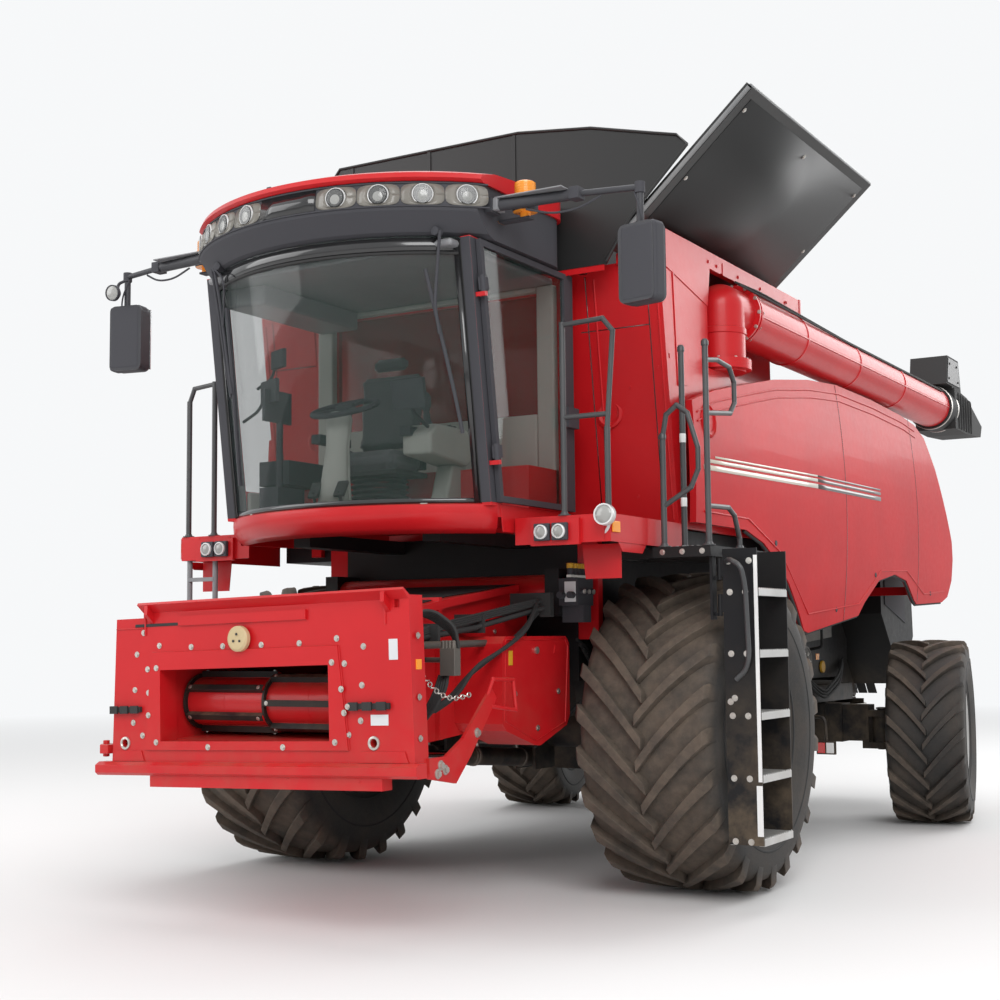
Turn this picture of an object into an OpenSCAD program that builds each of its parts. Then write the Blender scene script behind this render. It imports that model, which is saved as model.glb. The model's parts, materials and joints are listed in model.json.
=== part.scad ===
// Combine harvester, parked with no header, grain tank covers open and unloading auger folded back.
// The machine's nose points to -Y, its left side to +X, and Z is up from the ground.
// Inside the modules Y is counted from the front axle; at_row() moves it to the middle of the length.

/* [Wheels] */
// Distance from front axle to rear axle
wheelbase = 3850; // [3700:10:4000]
// Distance between the middles of the front tyres
front_track = 2900; // [2880:10:2960]
// Outer diameter of a front tyre over its lugs
front_tyre_d = 1900; // [1860:10:1940]
// Width of a front tyre
front_tyre_w = 860; // [780:10:880]
// Rim diameter at the front tyre's bead
front_rim_d = 840; // [800:10:900]
// Distance between the middles of the rear tyres
rear_track = 3560; // [3480:10:3600]
// Outer diameter of a rear tyre over its lugs
rear_tyre_d = 1470; // [1400:10:1500]
// Width of a rear tyre
rear_tyre_w = 620; // [560:10:640]
// Rim diameter at the rear tyre's bead
rear_rim_d = 690; // [650:10:740]
// Angle the rear wheels are turned by as the machine stands
rear_steer = 10; // [0:1:14]
// Distance from a kingpin to the middle of its rear tyre
kingpin_offset = 400; // [390:5:420]

/* [Body] */
// Half width of the tank and the side shields
body_half_w = 1500; // [1480:5:1510]
// Half width of the threshing body between the wheels
core_half_w = 860; // [820:10:880]
// Height of the underside of the threshing body
core_bottom = 640; // [600:10:700]
// Height of the deck that tank and engine stand on
deck_z = 2150; // [2120:5:2170]
// Rear end of the body, behind the front axle
body_rear = 5200; // [5100:10:5300]
// Top edge of the side shields
shield_top = 3330; // [3280:5:3340]
// Thickness of a side shield
shield_t = 40; // [30:1:50]

/* [Grain tank] */
// Front wall of the tank, ahead of the front axle
tank_front = 520; // [500:5:530]
// Rear wall of the tank, behind the front axle
tank_rear = 1800; // [1750:10:1850]
// Height of the tank's rim
tank_top = 3930; // [3900:5:3960]
// Thickness of the tank's walls
tank_wall = 30; // [20:1:40]
// Length of a side cover along the tank
cover_len = 2200; // [2100:10:2240]
// Height of a side cover from its hinge to its free edge
cover_h = 1225; // [1180:5:1230]
// Thickness of a cover
cover_t = 36; // [30:1:40]
// Lean of the open covers from upright
cover_lean = 48; // [40:1:52]

/* [Cab] */
// Half width of the cab
cab_half_w = 930; // [900:5:950]
// Height of the cab floor's underside
cab_bottom = 2170; // [2150:5:2190]
// Height where the cab roof starts
cab_eaves = 3680; // [3650:5:3700]
// Rear wall of the cab, ahead of the front axle
cab_rear = 600; // [590:5:620]
// How far the windscreen bows forward of the door post
screen_bow = 380; // [340:5:400]
// Lean of the windscreen
screen_lean = 8; // [6:0.5:9]
// Thickness of the cab's glass
glass_t = 12; // [8:1:14]

/* [Feeder] */
// Front face of the feeder, ahead of the front axle
feeder_front = 2500; // [2450:10:2550]
// Width of the header frame on the feeder
face_w = 1940; // [1900:10:1980]
// Underside of the header frame
face_bottom = 870; // [850:5:900]
// Upper edge of the header frame
face_top = 1700; // [1680:5:1720]
// Width of the feeder's mouth
mouth_w = 1130; // [1080:10:1160]
// Height of the feeder's mouth
mouth_h = 380; // [360:5:400]
// Sideways place of the feeder's middle
feeder_x = -70; // [-80:5:-50]
// Depth of the header frame
face_depth = 120; // [100:5:130]
// Bore radius of the lower latch ears
latch_r = 20; // [16:1:22]

/* [Unloading auger] */
// Radius of the auger tube
auger_r = 180; // [170:5:185]
// Length of the tube from its elbow to the spout
auger_len = 4840; // [4600:10:4900]
// Height of the tube's axis
auger_z = 3600; // [3590:5:3620]
// Distance of the elbow behind the front axle
elbow_y = 560; // [540:5:580]
// Distance of the tube's axis from the machine's middle
auger_x = 1520; // [1510:5:1530]
// Length of the rubber spout
spout_len = 1110; // [950:10:1150]

/* [Access] */
// Floor height of the platform beside the cab
platform_z = 2010; // [1990:5:2030]
// Outer edge of the platform from the machine's middle
platform_out = 1890; // [1880:1:1892]
// Thickness of a ladder side plate
plate_t = 10; // [6:1:12]
// Width of a ladder step
step_w = 440; // [420:5:460]
// Depth of a ladder step
step_d = 200; // [180:5:215]
// Number of ladder steps
step_n = 5; // [5:1:6]
// Diameter of the handrail tubes
rail_d = 34; // [28:1:40]

/* [Hidden] */
eps = 1;
seat = 0.3;
lip = 50;
row_shift = -(elbow_y + auger_len + spout_len - feeder_front - lip) / 2;
front_r = front_tyre_d / 2;
rear_r = rear_tyre_d / 2;
kingpin_x = rear_track / 2 - kingpin_offset;
arm_len = 420;
drum_y = -2180;
drum_z = 1180;
lift_y = -620;
lift_z = 1780;
cover_hinge_x = 1240;
cover_hinge_z = 3780;
cover_y0 = -tank_front - 250;
ledge_z = cover_hinge_z - cover_t / 2 - 26;
bay_z = 3180;
hinge_y = [200, cover_len / 2, cover_len - 200];
door_x = cab_half_w;
door_y0 = -1500;
door_y1 = -780;
hinge_x = cab_half_w + 45;
back_y = -cab_rear - 80;
floor_z = cab_bottom + 70;
bow_r = (cab_half_w * cab_half_w + screen_bow * screen_bow) / (2 * screen_bow);
roof_cy = -1800 - screen_bow + bow_r;
ladder_x0 = 1925;
deck_half_w = body_half_w - 120;
in_x = body_half_w - 55;
cross_y = wheelbase + 590;
hitch_y = wheelbase + 1370;
beam_z = 960;
ladder_hinge_x = ladder_x0 - 20;
shield_mid = 2450;
shield_bow = 70;
tilt_z = 1520;
frame_roll = 1.4;
mouth_z = 1180;
walk_z = cab_bottom;
walk_out = 1540;
door_foot = floor_z + 10;
visor_r = bow_r + 60;
lamp_angles = [-43, -33, -23, -13, 13, 23, 33, 43];
cap_z = cab_eaves + 285;
ladder_y = -800;
lug_n = 20;
lug_flat = sqrt(1 - 0.21 * 0.21);
lug_turn = asin(0.21);
bay_x = auger_x - auger_r - 80;
bay_y = elbow_y - 480;
swing_y = elbow_y - 230;
auger_cx = auger_x - 40;
barrel_foot = [330, -180, 760];
rod_eye = [330, -1560, 870];
barrel_len = 820;
rod_x = barrel_foot[0];
body_front = -500;
body_under = 1250;
rear_under = 1160;
hood_y = wheelbase + 550;
cyl_v = rod_eye - barrel_foot;
cyl_l = norm(cyl_v);
cyl_a = atan2(cyl_v[2], -cyl_v[1]);

red = [0.72, 0.03, 0.05];
black = [0.05, 0.05, 0.055];
rubber = [0.07, 0.065, 0.06];
steel = [0.62, 0.62, 0.6];
silver = [0.78, 0.78, 0.77];
grey = [0.42, 0.42, 0.42];
glass = [0.55, 0.68, 0.6, 0.4];
amber = [0.95, 0.45, 0.08];

// Box between two corners
module slab(x0, x1, y0, y1, z0, z1)
    translate([x0, y0, z0]) cube([x1 - x0, y1 - y0, z1 - z0]);

// Outline in Y and Z, swept along X
module side_prism(pts, x0, x1)
    translate([x0, 0, 0]) rotate([90, 0, 90]) linear_extrude(x1 - x0) polygon(pts);

// Outline in X and Z, swept along Y
module front_prism(pts, y0, y1)
    translate([0, y1, 0]) rotate([90, 0, 0]) linear_extrude(y1 - y0) polygon(pts);

// Round bar between two points
module rod(a, b, d)
    translate(a) rotate([0, acos((b - a)[2] / norm(b - a)), atan2((b - a)[1], (b - a)[0])])
        cylinder(d = d, h = norm(b - a));

// Cylinder lying along X
module pin_x(x0, x1, y, z, d)
    translate([x0, y, z]) rotate([0, 90, 0]) cylinder(d = d, h = x1 - x0);

// Cylinder lying along Y
module pin_y(x, y0, y1, z, d)
    translate([x, y0, z]) rotate([-90, 0, 0]) cylinder(d = d, h = y1 - y0);

// Bent tube with ball corners through a list of points
module tube(pts, d) {
    for (i = [0 : len(pts) - 2]) rod(pts[i], pts[i + 1], d);
    for (i = [1 : len(pts) - 2]) translate(pts[i]) sphere(d = d + 1.5);
}

// One piece on the left and its twin on the right
module both() {
    children();
    mirror([1, 0, 0]) children();
}

// Place of the machine with the middle of its length over the origin
module at_row() translate([0, row_shift, 0]) children();

// Tyre on the X axis: half profile turned round, with two rows of slanted lugs
module tyre(d, w, rim_d, n, side) {
    r = d / 2;
    lug_h = r * 0.055;
    c = r - lug_h;
    q = rim_d / 2;
    h = (c - q);
    rotate([0, 90, 0]) rotate_extrude()
        polygon([[q, -w * 0.36], [q + 25, -w * 0.41], [q + h * 0.45, -w * 0.49], [q + h * 0.75, -w * 0.49],
                 [c - 45, -w * 0.46], [c - 12, -w * 0.36], [c, -w * 0.15], [c, w * 0.15],
                 [c - 12, w * 0.36], [c - 45, w * 0.46], [q + h * 0.75, w * 0.49], [q + h * 0.45, w * 0.49],
                 [q + 25, w * 0.41], [q, w * 0.36]]);
    for (s = [-1, 1], i = [0 : n - 1])
        rotate([(i + (s > 0 ? 0.5 : 0)) * 360 / n + side * lug_turn, 0, 0])
            translate([0, 0, c - 60]) linear_extrude(r * lug_flat - c + 60)
                polygon([[s * -w * 0.02, side * r * -0.02], [s * w * 0.2, side * r * 0.06],
                         [s * w * 0.48, side * r * 0.13], [s * w * 0.48, side * r * 0.21],
                         [s * w * 0.18, side * r * 0.14], [s * -w * 0.03, side * r * 0.06]]);
}

// Rim on the X axis with a dished disc, hub and a ring of wheel bolts
module rim(rim_d, w, out, hub_d, bolt_pcd, bolt_n) {
    q = rim_d / 2;
    rotate([0, 90, 0]) rotate_extrude()
        polygon([[q - 26, -w * 0.4], [q + 4, -w * 0.4], [q - seat, -w * 0.36], [q - seat, w * 0.36],
                 [q + 4, w * 0.4], [q - 26, w * 0.4]]);
    rotate([0, 90, 0]) rotate_extrude()
        polygon([[0, out], [hub_d * 0.75, out], [q - 60, out + w * 0.12], [q - 20, out + w * 0.12],
                 [q - 20, out + w * 0.12 + 16], [q - 66, out + w * 0.12 + 16], [hub_d * 0.72, out + 16],
                 [hub_d * 0.5, out + 16], [hub_d * 0.45, out + 110], [0, out + 110]]);
    for (i = [0 : bolt_n - 1])
        rotate([i * 360 / bolt_n, 0, 0]) pin_x(out + 10, out + 42, 0, bolt_pcd / 2, 34);
}

module front_wheel_at() translate([front_track / 2, 0, front_r]) children();
module rear_wheel_at(s) translate([s * kingpin_x, wheelbase, rear_r]) rotate([0, 0, rear_steer])
    translate([s * kingpin_offset, 0, 0]) children();

module front_tyre_left() color(rubber) at_row() front_wheel_at()
    tyre(front_tyre_d, front_tyre_w, front_rim_d, lug_n, 1);
module front_tyre_right() color(rubber) at_row() mirror([1, 0, 0]) front_wheel_at()
    tyre(front_tyre_d, front_tyre_w, front_rim_d, lug_n, 1);
module front_rim_left() color(silver) at_row() front_wheel_at()
    rim(front_rim_d, front_tyre_w, -60, 330, 500, 12);
module front_rim_right() color(silver) at_row() mirror([1, 0, 0]) front_wheel_at()
    rim(front_rim_d, front_tyre_w, -60, 330, 500, 12);
module rear_tyre_left() color(rubber) at_row() rear_wheel_at(1)
    tyre(rear_tyre_d, rear_tyre_w, rear_rim_d, lug_n, 1);
module rear_tyre_right() color(rubber) at_row() rear_wheel_at(-1)
    tyre(rear_tyre_d, rear_tyre_w, rear_rim_d, lug_n, 1);
module rear_rim_left() color(silver) at_row() rear_wheel_at(1)
    rim(rear_rim_d, rear_tyre_w, -20, 220, 320, 10);
module rear_rim_right() color(silver) at_row() rear_wheel_at(-1) mirror([1, 0, 0])
    rim(rear_rim_d, rear_tyre_w, -20, 220, 320, 10);

// Front axle with its final drives, upright plates, long beams and the rear axle's saddle
module chassis_frame() color(black) at_row() {
    pin_x(-925 + seat, 925 - seat, 0, front_r, 260);
    difference() {
        slab(-core_half_w + 80 + seat, core_half_w - 80 - seat, -120, 120, beam_z + 60, body_under - seat);
        pin_x(-940, 940, 0, front_r, 260 + 2 * seat);
    }
    both() {
        pin_x(925, 1075, 0, front_r, 520);
        pin_x(1070, front_track / 2 - 60.5, 0, front_r, 300);
        difference() {
            side_prism([[-300, 760], [300, 760], [339, body_under - seat], [-420, body_under - seat]],
                       780, core_half_w + 60);
            pin_x(770, 940, 0, front_r, 260 + 2 * seat);
        }
        slab(core_half_w + seat, core_half_w + 60, 345, cross_y + 100, beam_z, beam_z + 140);
        slab(400, 520, -1500, body_front - seat, cab_bottom - 110, cab_bottom - 30 - seat);
        difference() {
            union() for (x = [-80, 60]) slab(rod_x + x, rod_x + x + 20, -250, 0, 690, 950);
            pin_x(rod_x - 81, rod_x + 81, barrel_foot[1], barrel_foot[2], 46);
            pin_x(rod_x - 90, rod_x + 90, 0, front_r, 260 + 2 * seat);
        }
        difference() {
            slab(765, 860, -740, body_front - seat, 1640, 1920);
            pin_x(700, 900, lift_y, lift_z, 222);
        }
    }
    slab(-core_half_w, core_half_w, cross_y, cross_y + 100, beam_z, beam_z + 120);
    for (y = [wheelbase - 170, wheelbase + 115])
        slab(-160, 160, y, y + 55, rear_r + 60, rear_under - seat);
    pin_y(0, wheelbase - 170, wheelbase + 170, rear_r + 150, 110);
    slab(-160, 160, wheelbase + 115, cross_y - seat, 1040, 1120);
}

// Threshing and separating body between the wheels
module separator_body() color(black) at_row() {
    side_prism([[body_front, body_under], [body_front, 2140], [hood_y, 2140], [hood_y, rear_under],
                [wheelbase - 350, rear_under], [wheelbase - 550, core_bottom + 60], [460, core_bottom],
                    [340, body_under]],
               -core_half_w, core_half_w);
    slab(-1440, 1440, -420, 4300, 2040, deck_z - seat);
}

// Grain tank: sloping front wall, hopper floor, and a bay under the left rim for the unloading auger
function tank_front_y(z) = -420 - (tank_front - 290) * (z - deck_z) / (tank_top - deck_z);

// Wall along the side with a thicker rim above the ledge, up to the front wall's slope
module tank_side(x0, x1, y1, z0, z1) side_prism([[tank_front_y(z0) + tank_wall + seat, z0],
    [tank_front_y(z1) + tank_wall + seat, z1], [y1, z1], [y1, z0]], x0, x1);

module grain_tank() color(red) at_row() {
    w = body_half_w;
    yr = tank_rear - tank_wall;
    side_prism([[tank_front_y(deck_z), deck_z], [tank_front_y(ledge_z), ledge_z],
                [tank_front_y(ledge_z) + tank_wall, ledge_z], [tank_front_y(deck_z) + tank_wall, deck_z]],
                    -w, w);
    slab(-w, bay_x - tank_wall - seat, yr, tank_rear, deck_z, ledge_z);
    slab(bay_x - tank_wall, w, yr, tank_rear, deck_z, bay_z - tank_wall - seat);
    tank_side(-w, -w + tank_wall, yr - seat, deck_z, ledge_z);
    tank_side(w - tank_wall, w, yr - seat, deck_z, bay_z - tank_wall - seat);
    for (x = [-w, in_x]) side_prism([[tank_front_y(ledge_z), ledge_z + seat],
        [tank_front_y(tank_top), tank_top],
        [x < 0 ? tank_rear : bay_y, tank_top], [x < 0 ? tank_rear : bay_y, ledge_z + seat]], x, x + 55);
    tank_side(in_x, w, bay_y, bay_z + seat, ledge_z);
    slab(bay_x - tank_wall, w, tank_front_y(bay_z) + 50, tank_rear, bay_z - tank_wall, bay_z);
    slab(bay_x - tank_wall, bay_x, bay_y, tank_rear, bay_z + seat, ledge_z);
    slab(bay_x - tank_wall, in_x - seat, bay_y - tank_wall, bay_y - seat, bay_z + seat, ledge_z);
    slab(in_x, w, bay_y + seat, tank_rear, tank_top - 100, tank_top);
    for (p = [[[tank_front_y(2650) + tank_wall + seat, 2650], [500, deck_z + 60]],
              [[900, deck_z + 60], [yr - seat, 2650]]])
        side_prism([p[0], p[1], p[1] - [0, tank_wall], p[0] - [0, tank_wall]], -w + tank_wall + seat,
            w - tank_wall - seat);
    slab(-w + tank_wall + seat, w - tank_wall - seat, 500 + seat, 900 - seat, deck_z + tank_wall,
        deck_z + 60);
    slab(-w + tank_wall + seat, -cover_hinge_x + 12, -570, 1440, ledge_z - 40, ledge_z);
    slab(cover_hinge_x - 12, in_x - seat, -570, bay_y - tank_wall - seat, ledge_z - 40, ledge_z);
    both() for (y = hinge_y, e = [-80, 60 + seat]) {
        slab(cover_hinge_x - 10, cover_hinge_x + 12, cover_y0 + y + e, cover_y0 + y + e + 20 - seat,
            ledge_z - 10,
             cover_hinge_z);
        pin_y(cover_hinge_x, cover_y0 + y + e, cover_y0 + y + e + 20 - seat, cover_hinge_z, 20);
    }
}

// Fixed black extension in front of the tank, with the corner towards the open left cover
module tank_front_shield() color(black) at_row() {
    y1 = cover_y0 - 12;
    front_prism([[-1236, 3695], [1236, 3695], [1400, 3960], [1770, 4330], [1700, 4400], [1540, 4440],
        [1150, 4540],
                 [650, 4600], [-700, 4600], [-1236, 3980]], y1 - 14, y1);
    for (x = [-1000, 0, 1000]) side_prism([[y1 + seat, 3695], [tank_front_y(3695) - seat, 3695],
        [tank_front_y(3730) - seat, 3730], [y1 + seat, 3730]], x - 20, x + 20);
}

// Fixed extension behind the covers
module tank_rear_shield() color(black) at_row() {
    y0 = cover_y0 + cover_len + 20;
    front_prism([[-1220, 3700], [1220, 3700], [1236, 3790], [1700, 4240], [1560, 4380], [650, 4600],
        [-650, 4600],
                 [-1236, 4000]], y0, y0 + 14);
    for (x = [-1000, 0, 1000]) slab(x - 20, x + 20, y0 + 14 + seat, tank_rear - tank_wall - seat, 3700,
        3730);
}

// Side shield over the drives: straight lower edge, wheel arches and a rounded tail
module shield_outline() polygon([[-418, 2178], [-418, 2905], [-60, 3010], [510, 3130], [1060, 3240],
    [1760, 3340],
    [2430, shield_top + 65], [3290, shield_top + 65], [4100, shield_top + 40], [4500, shield_top],
        [4760, 3240],
    [5000, 2980], [5250, 2600], [5400, 2360], [5430, 2200], [5400, 2000], [5280, 1850], [5100, 1800],
        [4300, 1770],
    [4220, 1800], [3960, 1960], [3620, 2000], [3200, 1940], [2860, 1760], [2730, 1660], [1640, 1530],
        [1550, 1545],
    [1380, 1700], [1180, 1860], [970, 1990], [680, 2110], [370, 2178]]);

// Cross-section of a side shield, bowed outwards between its upper and lower edges
function shield_x(z) = body_half_w + 4 + shield_bow * (1 - pow((z - shield_mid) / 960, 2));

module shield_section() polygon(concat(
    [for (k = [0 : 14]) let (z = shield_mid - 960 + 1920 * k / 14) [shield_x(z), z]],
    [for (k = [14 : -1 : 0]) let (z = shield_mid - 960 + 1920 * k / 14) [shield_x(z) + shield_t, z]]));

module side_shield() {
    intersection() {
        translate([0, 5600, 0]) rotate([90, 0, 0]) linear_extrude(6200) shield_section();
        translate([body_half_w, 0, 0]) rotate([90, 0, 90]) linear_extrude(200) shield_outline();
    }
    for (y = [1900, 4100]) slab(deck_half_w + seat, shield_x(2500) + 1, y, y + 60, deck_z + 60,
        deck_z + 400);
    for (y = [[2300, 1700], [4300, 1850]])
        slab(core_half_w + seat, shield_x(y[1]) + 5, y[0], y[0] + 60, y[1], y[1] + 70);
}
module side_shield_left() color(red) at_row() side_shield();
module side_shield_right() color(red) at_row() mirror([1, 0, 0]) side_shield();

// Belt drives and boxes that show behind the front wheels
module side_drives() color(black) at_row() both() {
    slab(core_half_w + 60 + seat, 1330, 1250, 1700, 700, 1180);
    slab(core_half_w + seat, core_half_w + 90, 1000, 3300, 1280, 1400);
    for (p = [[1250, 1560, 300], [1850, 1330, 460], [2500, 1500, 340], [3050, 1300, 260]]) {
        pin_x(core_half_w + seat, core_half_w + 190, p[0], p[1], 70);
        pin_x(core_half_w + 95, core_half_w + 170, p[0], p[1], p[2]);
    }
}

// Engine as one plain block behind the tank
module engine_block() color(grey) at_row() slab(-480, 480, 2150, 3450, deck_z, 3080);

// Hood behind the tank over the engine, with the exhaust and the air filter on top
module engine_deck() color(red) at_row() {
    difference() {
        side_prism([[tank_rear + 10, deck_z], [tank_rear + 10, 3330], [4450, 3330], [5200, 2480],
                    [5200, deck_z + seat], [4300, deck_z + seat]], -deck_half_w, deck_half_w);
        slab(-deck_half_w + 40, deck_half_w - 40, tank_rear + 60, 4300, deck_z - eps, 3260);
    }
    slab(-1100, 1000, tank_rear + 10, 4300, 3330 + seat, 3410);
    translate([700, 3000, 3410 + seat]) cylinder(d = 180, h = 250);
    translate([-500, 2500, 3410 + seat]) cylinder(d = 420, h = 290);
    slab(deck_half_w - 60, deck_half_w, 4150, 4230, 3329, auger_z - auger_r - 3);
}

// Rear hood over the straw walkers' end, with the chopper under it
module straw_hood() color(black) at_row() {
    side_prism([[hood_y + seat, 1700], [hood_y + seat, deck_z], [5190, deck_z], [body_rear + 130, 2050],
                [body_rear + 160, 1500], [4960, 1080]], -core_half_w - 380, core_half_w + 380);
    side_prism([[hood_y + 170, 1120], [hood_y + 170, 1810], [4980, 1810], [body_rear + 40, 1200],
        [4980, 960]],
               -core_half_w + 60, core_half_w - 60);
    slab(-core_half_w, core_half_w, hood_y + seat, 4600, 1300, 1800);
}

// Spreading rotor hanging below the chopper
module spreader(s) color(black) at_row() translate([s * 480, 5150, 880]) {
    cylinder(d = 700, h = 12);
    cylinder(d = 120, h = 165);
    for (a = [0 : 60 : 300]) rotate([0, 0, a]) slab(50, 345, -6, 6, 11, 60);
    cylinder(d = 50, h = 960 + 240 * 145 / 260 - 880 - seat);
}
module spreader_left() spreader(1);
module spreader_right() spreader(-1);

// Plan of the cab with its bowed front
module cab_plan(grow) intersection() {
    translate([0, -1560 - screen_bow + bow_r]) circle(r = bow_r + grow, $fn = 240);
    translate([-cab_half_w - grow, -2300]) square([2 * (cab_half_w + grow), 2300 + back_y]);
}

// Rear edge of a leaning front post at a given height
function post_y(z) = -1500 - (z - cab_bottom - 60) * tan(screen_lean);

// Cab: floor, sill, leaning front posts, rear wall with its window, right side frame
module cab_shell() color(red) at_row() {
    translate([0, 0, cab_bottom]) linear_extrude(floor_z - cab_bottom) cab_plan(0);
    difference() {
        slab(-cab_half_w, cab_half_w, back_y - 60, back_y, cab_bottom + 60, cab_eaves);
        slab(-cab_half_w + 160, cab_half_w - 160, back_y - 70, back_y + 10, 2850, 3580);
    }
    both() side_prism([[post_y(cab_bottom + 60), cab_bottom + 60],
        [post_y(cab_bottom + 60) - 120, cab_bottom + 60],
                       [post_y(cab_eaves) - 120, cab_eaves], [post_y(cab_eaves), cab_eaves]],
                      cab_half_w - 60, cab_half_w);
    slab(-cab_half_w, -cab_half_w + 40, -1550, back_y, cab_bottom + 60, 2420);
    slab(-cab_half_w, cab_half_w - 50, back_y - 440, back_y - 50, cab_bottom + 60, 2500);
    both() slab(400, 520, -1500, back_y, cab_bottom - 30, cab_bottom + eps);
    for (z = [cab_bottom + 2 * hinge_drop, cab_eaves - 2 * hinge_drop])
        translate([hinge_x, hinge_line(z), z])
        rotate([screen_lean, 0, 0]) slab(-hinge_x + cab_half_w - 20, 15, -15, 15, -24, -seat);
}

// Red roof cap, gently domed about the middle of its bowed front
module cab_roof() color(red) at_row() intersection() {
    translate([0, roof_cy, 0]) rotate_extrude($fn = 240)
        polygon([[0, cap_z], [bow_r + 40, cap_z], [bow_r + 62, cap_z + 15], [bow_r + 48, cap_z + 45],
                 [bow_r - 40, cap_z + 78], [bow_r - 250, cap_z + 108], [bow_r - 600, cap_z + 122],
                     [0, cap_z + 126]]);
    translate([0, 0, cab_eaves]) linear_extrude(500) roof_plan(1000, -800);
}

// Roof outline seen from above, with rounded rear corners
module roof_plan(w, back) {
    translate([-w, -2700]) square([2 * w, 2700 + back - 150]);
    translate([-w + 150, -2700]) square([2 * w - 300, 2700 + back]);
    for (x = [-w + 150, w - 150]) translate([x, back - 150]) circle(r = 150, $fn = 64);
}

// Black visor under the roof cap: hollow below, flared forwards to the band that holds the lamps
module roof_visor() color(black) at_row() difference() {
    visor_form();
    lamp_places() cylinder(d = 100 + 2 * seat, h = 90);
}
module visor_form() intersection() {
    translate([0, roof_cy, 0]) rotate_extrude($fn = 240)
        polygon([[0, cab_eaves + seat], [bow_r - 60, cab_eaves + seat], [bow_r - 20, cab_eaves + 20],
                 [visor_r - 4, cab_eaves + 120], [visor_r, cab_eaves + 132], [visor_r - 25, cap_z - seat],
                     [0, cap_z - seat]]);
    translate([0, 0, cab_eaves - 10]) linear_extrude(500) roof_plan(985, -820);
}
// Bowed and leaning windscreen
module windscreen() color(glass) at_row() intersection() {
    translate([0, -1560 - screen_bow, floor_z]) rotate([screen_lean, 0, 0]) translate([0, bow_r, -60])
        difference() {
            cylinder(r = bow_r - 4, h = 1700, $fn = 240);
            translate([0, 0, -eps]) cylinder(r = bow_r - 4 - glass_t, h = 1702, $fn = 240);
        }
    slab(-cab_half_w + 60 + seat, cab_half_w - 60 - seat, -2400, -1560, floor_z + seat, cab_eaves - seat);
}

// Right-hand and rear glass of the cab
module cab_windows() color(glass) at_row() {
    side_prism([[post_y(2420 + seat) + seat, 2420 + seat], [post_y(cab_eaves) + seat, cab_eaves - seat],
                [back_y - 60 - seat, cab_eaves - seat], [back_y - 60 - seat, 2500 + seat],
                    [back_y - 440 - seat, 2500 + seat],
                [back_y - 440 - seat, 2420 + seat]], -cab_half_w + 10, -cab_half_w + 10 + glass_t);
    slab(-cab_half_w + 160 + seat, cab_half_w - 160 - seat, back_y - 36, back_y - 24, 2850 + seat,
        3580 - seat);
}

// Line of the door's hinges along the leaning front post, and the door's edges at a given height
function hinge_line(z) = post_y(z) - 92;
function door_front(z) = post_y(z) - 70;
door_rear = back_y - 30;
hinge_drop = (cab_eaves - cab_bottom) * 0.1;

module door_plate(x0, x1, d) side_prism([[door_front(door_foot + d) + d, door_foot + d],
    [door_front(cab_eaves - 12 - d) + d, cab_eaves - 12 - d], [door_rear - d, cab_eaves - 12 - d],
    [door_rear - d, door_foot + d]], x0, x1);

// Door frame, wide at the rear where the lock sits, on two hinges at the front post
module cab_door() color(black) at_row() {
    difference() {
        door_plate(cab_half_w + 6, cab_half_w + 34, 0);
        intersection() {
            door_plate(cab_half_w, cab_half_w + 40, 34);
            slab(cab_half_w, cab_half_w + 40, -2000, door_rear - 105, 2000, 4000);
        }
    }
    slab(cab_half_w + 33, cab_half_w + 78, door_rear - 150, door_rear - 20, 2740, 2860);
    for (z = [cab_bottom + 2 * hinge_drop, cab_eaves - 2 * hinge_drop])
        translate([hinge_x, hinge_line(z), z])
        rotate([screen_lean, 0, 0]) {
            cylinder(d = 30, h = 90);
            slab(-hinge_x + cab_half_w + 20, 0, -8, 60, 10, 80);
        }
}

// Pane of the door
module door_glass() color(glass) at_row() intersection() {
    door_plate(cab_half_w + 14, cab_half_w + 14 + glass_t / 2, 34 + seat);
    slab(cab_half_w, cab_half_w + 40, -2000, door_rear - 105 - seat, 2000, 4000);
}
// Driver's seat on its pedestal, with backrest and armrest
module driver_seat() color(grey) at_row() {
    slab(-180, 180, -1450, -1250, floor_z + seat, 2480);
    slab(-260, 260, -1560, -1190, 2480, 2600);
    slab(-250, 250, -1260, -1190, 2600, 3220);
    slab(-370, -290, -1560, -1200, 2660, 2730);
    slab(-370, -200, -1300, -1240, 2560, 2665);
}

// Steering column, wheel and the arm with the screen
module steering_console() color(black) at_row() {
    rod([0, -1780, floor_z + 12], [0, -1700, 2800], 90);
    slab(-110, 110, -1850, -1710, floor_z + seat, floor_z + 40);
    translate([0, -1690, 2830]) rotate([20, 0, 0]) {
        rotate_extrude() translate([190, 0]) circle(r = 15);
        for (a = [90, 210, 330]) rotate([0, 0, a]) slab(0, 190, -14, 14, -8, 8);
        translate([0, 0, -40]) cylinder(d = 90, h = 50);
    }
    slab(-560, -540, -1750, -1500, 2800, 2990);
    rod([-550, -1600, 2400], [-550, -1600, 2810], 40);
    slab(-620, -480, -1700, -1450, floor_z + seat, 2410);
}

// Mirror heads on their arms
module mirrors() color(black) at_row() both() {
    slab(985 + seat, 1030, -1760, -1660, 3810, 3890);
    rod([1028, -1710, 3850], [1500, -1640, 3862], 62);
    rod([1490, -1642, 3862], [1828, -1570, 3862], 34);
    translate([1828, -1570, 3300]) cylinder(d = 40, h = 580);
    translate([1828, -1525, 3458]) rotate([0, 0, -12]) translate([0, 30, 0]) rotate([90, 0, 0])
        linear_extrude(110) {
        square([150, 420], center = true);
        square([230, 340], center = true);
        for (u = [-75, 75], v = [-170, 170]) translate([u, v]) circle(r = 40);
    }
}
// Lamps let into the visor's front band, four on each side
module lamp_places() for (a = lamp_angles) translate([0, roof_cy, cab_eaves + 208]) rotate([0, 0, a])
    rotate([90, 0, 0]) translate([0, 0, visor_r - 40]) children();

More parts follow.
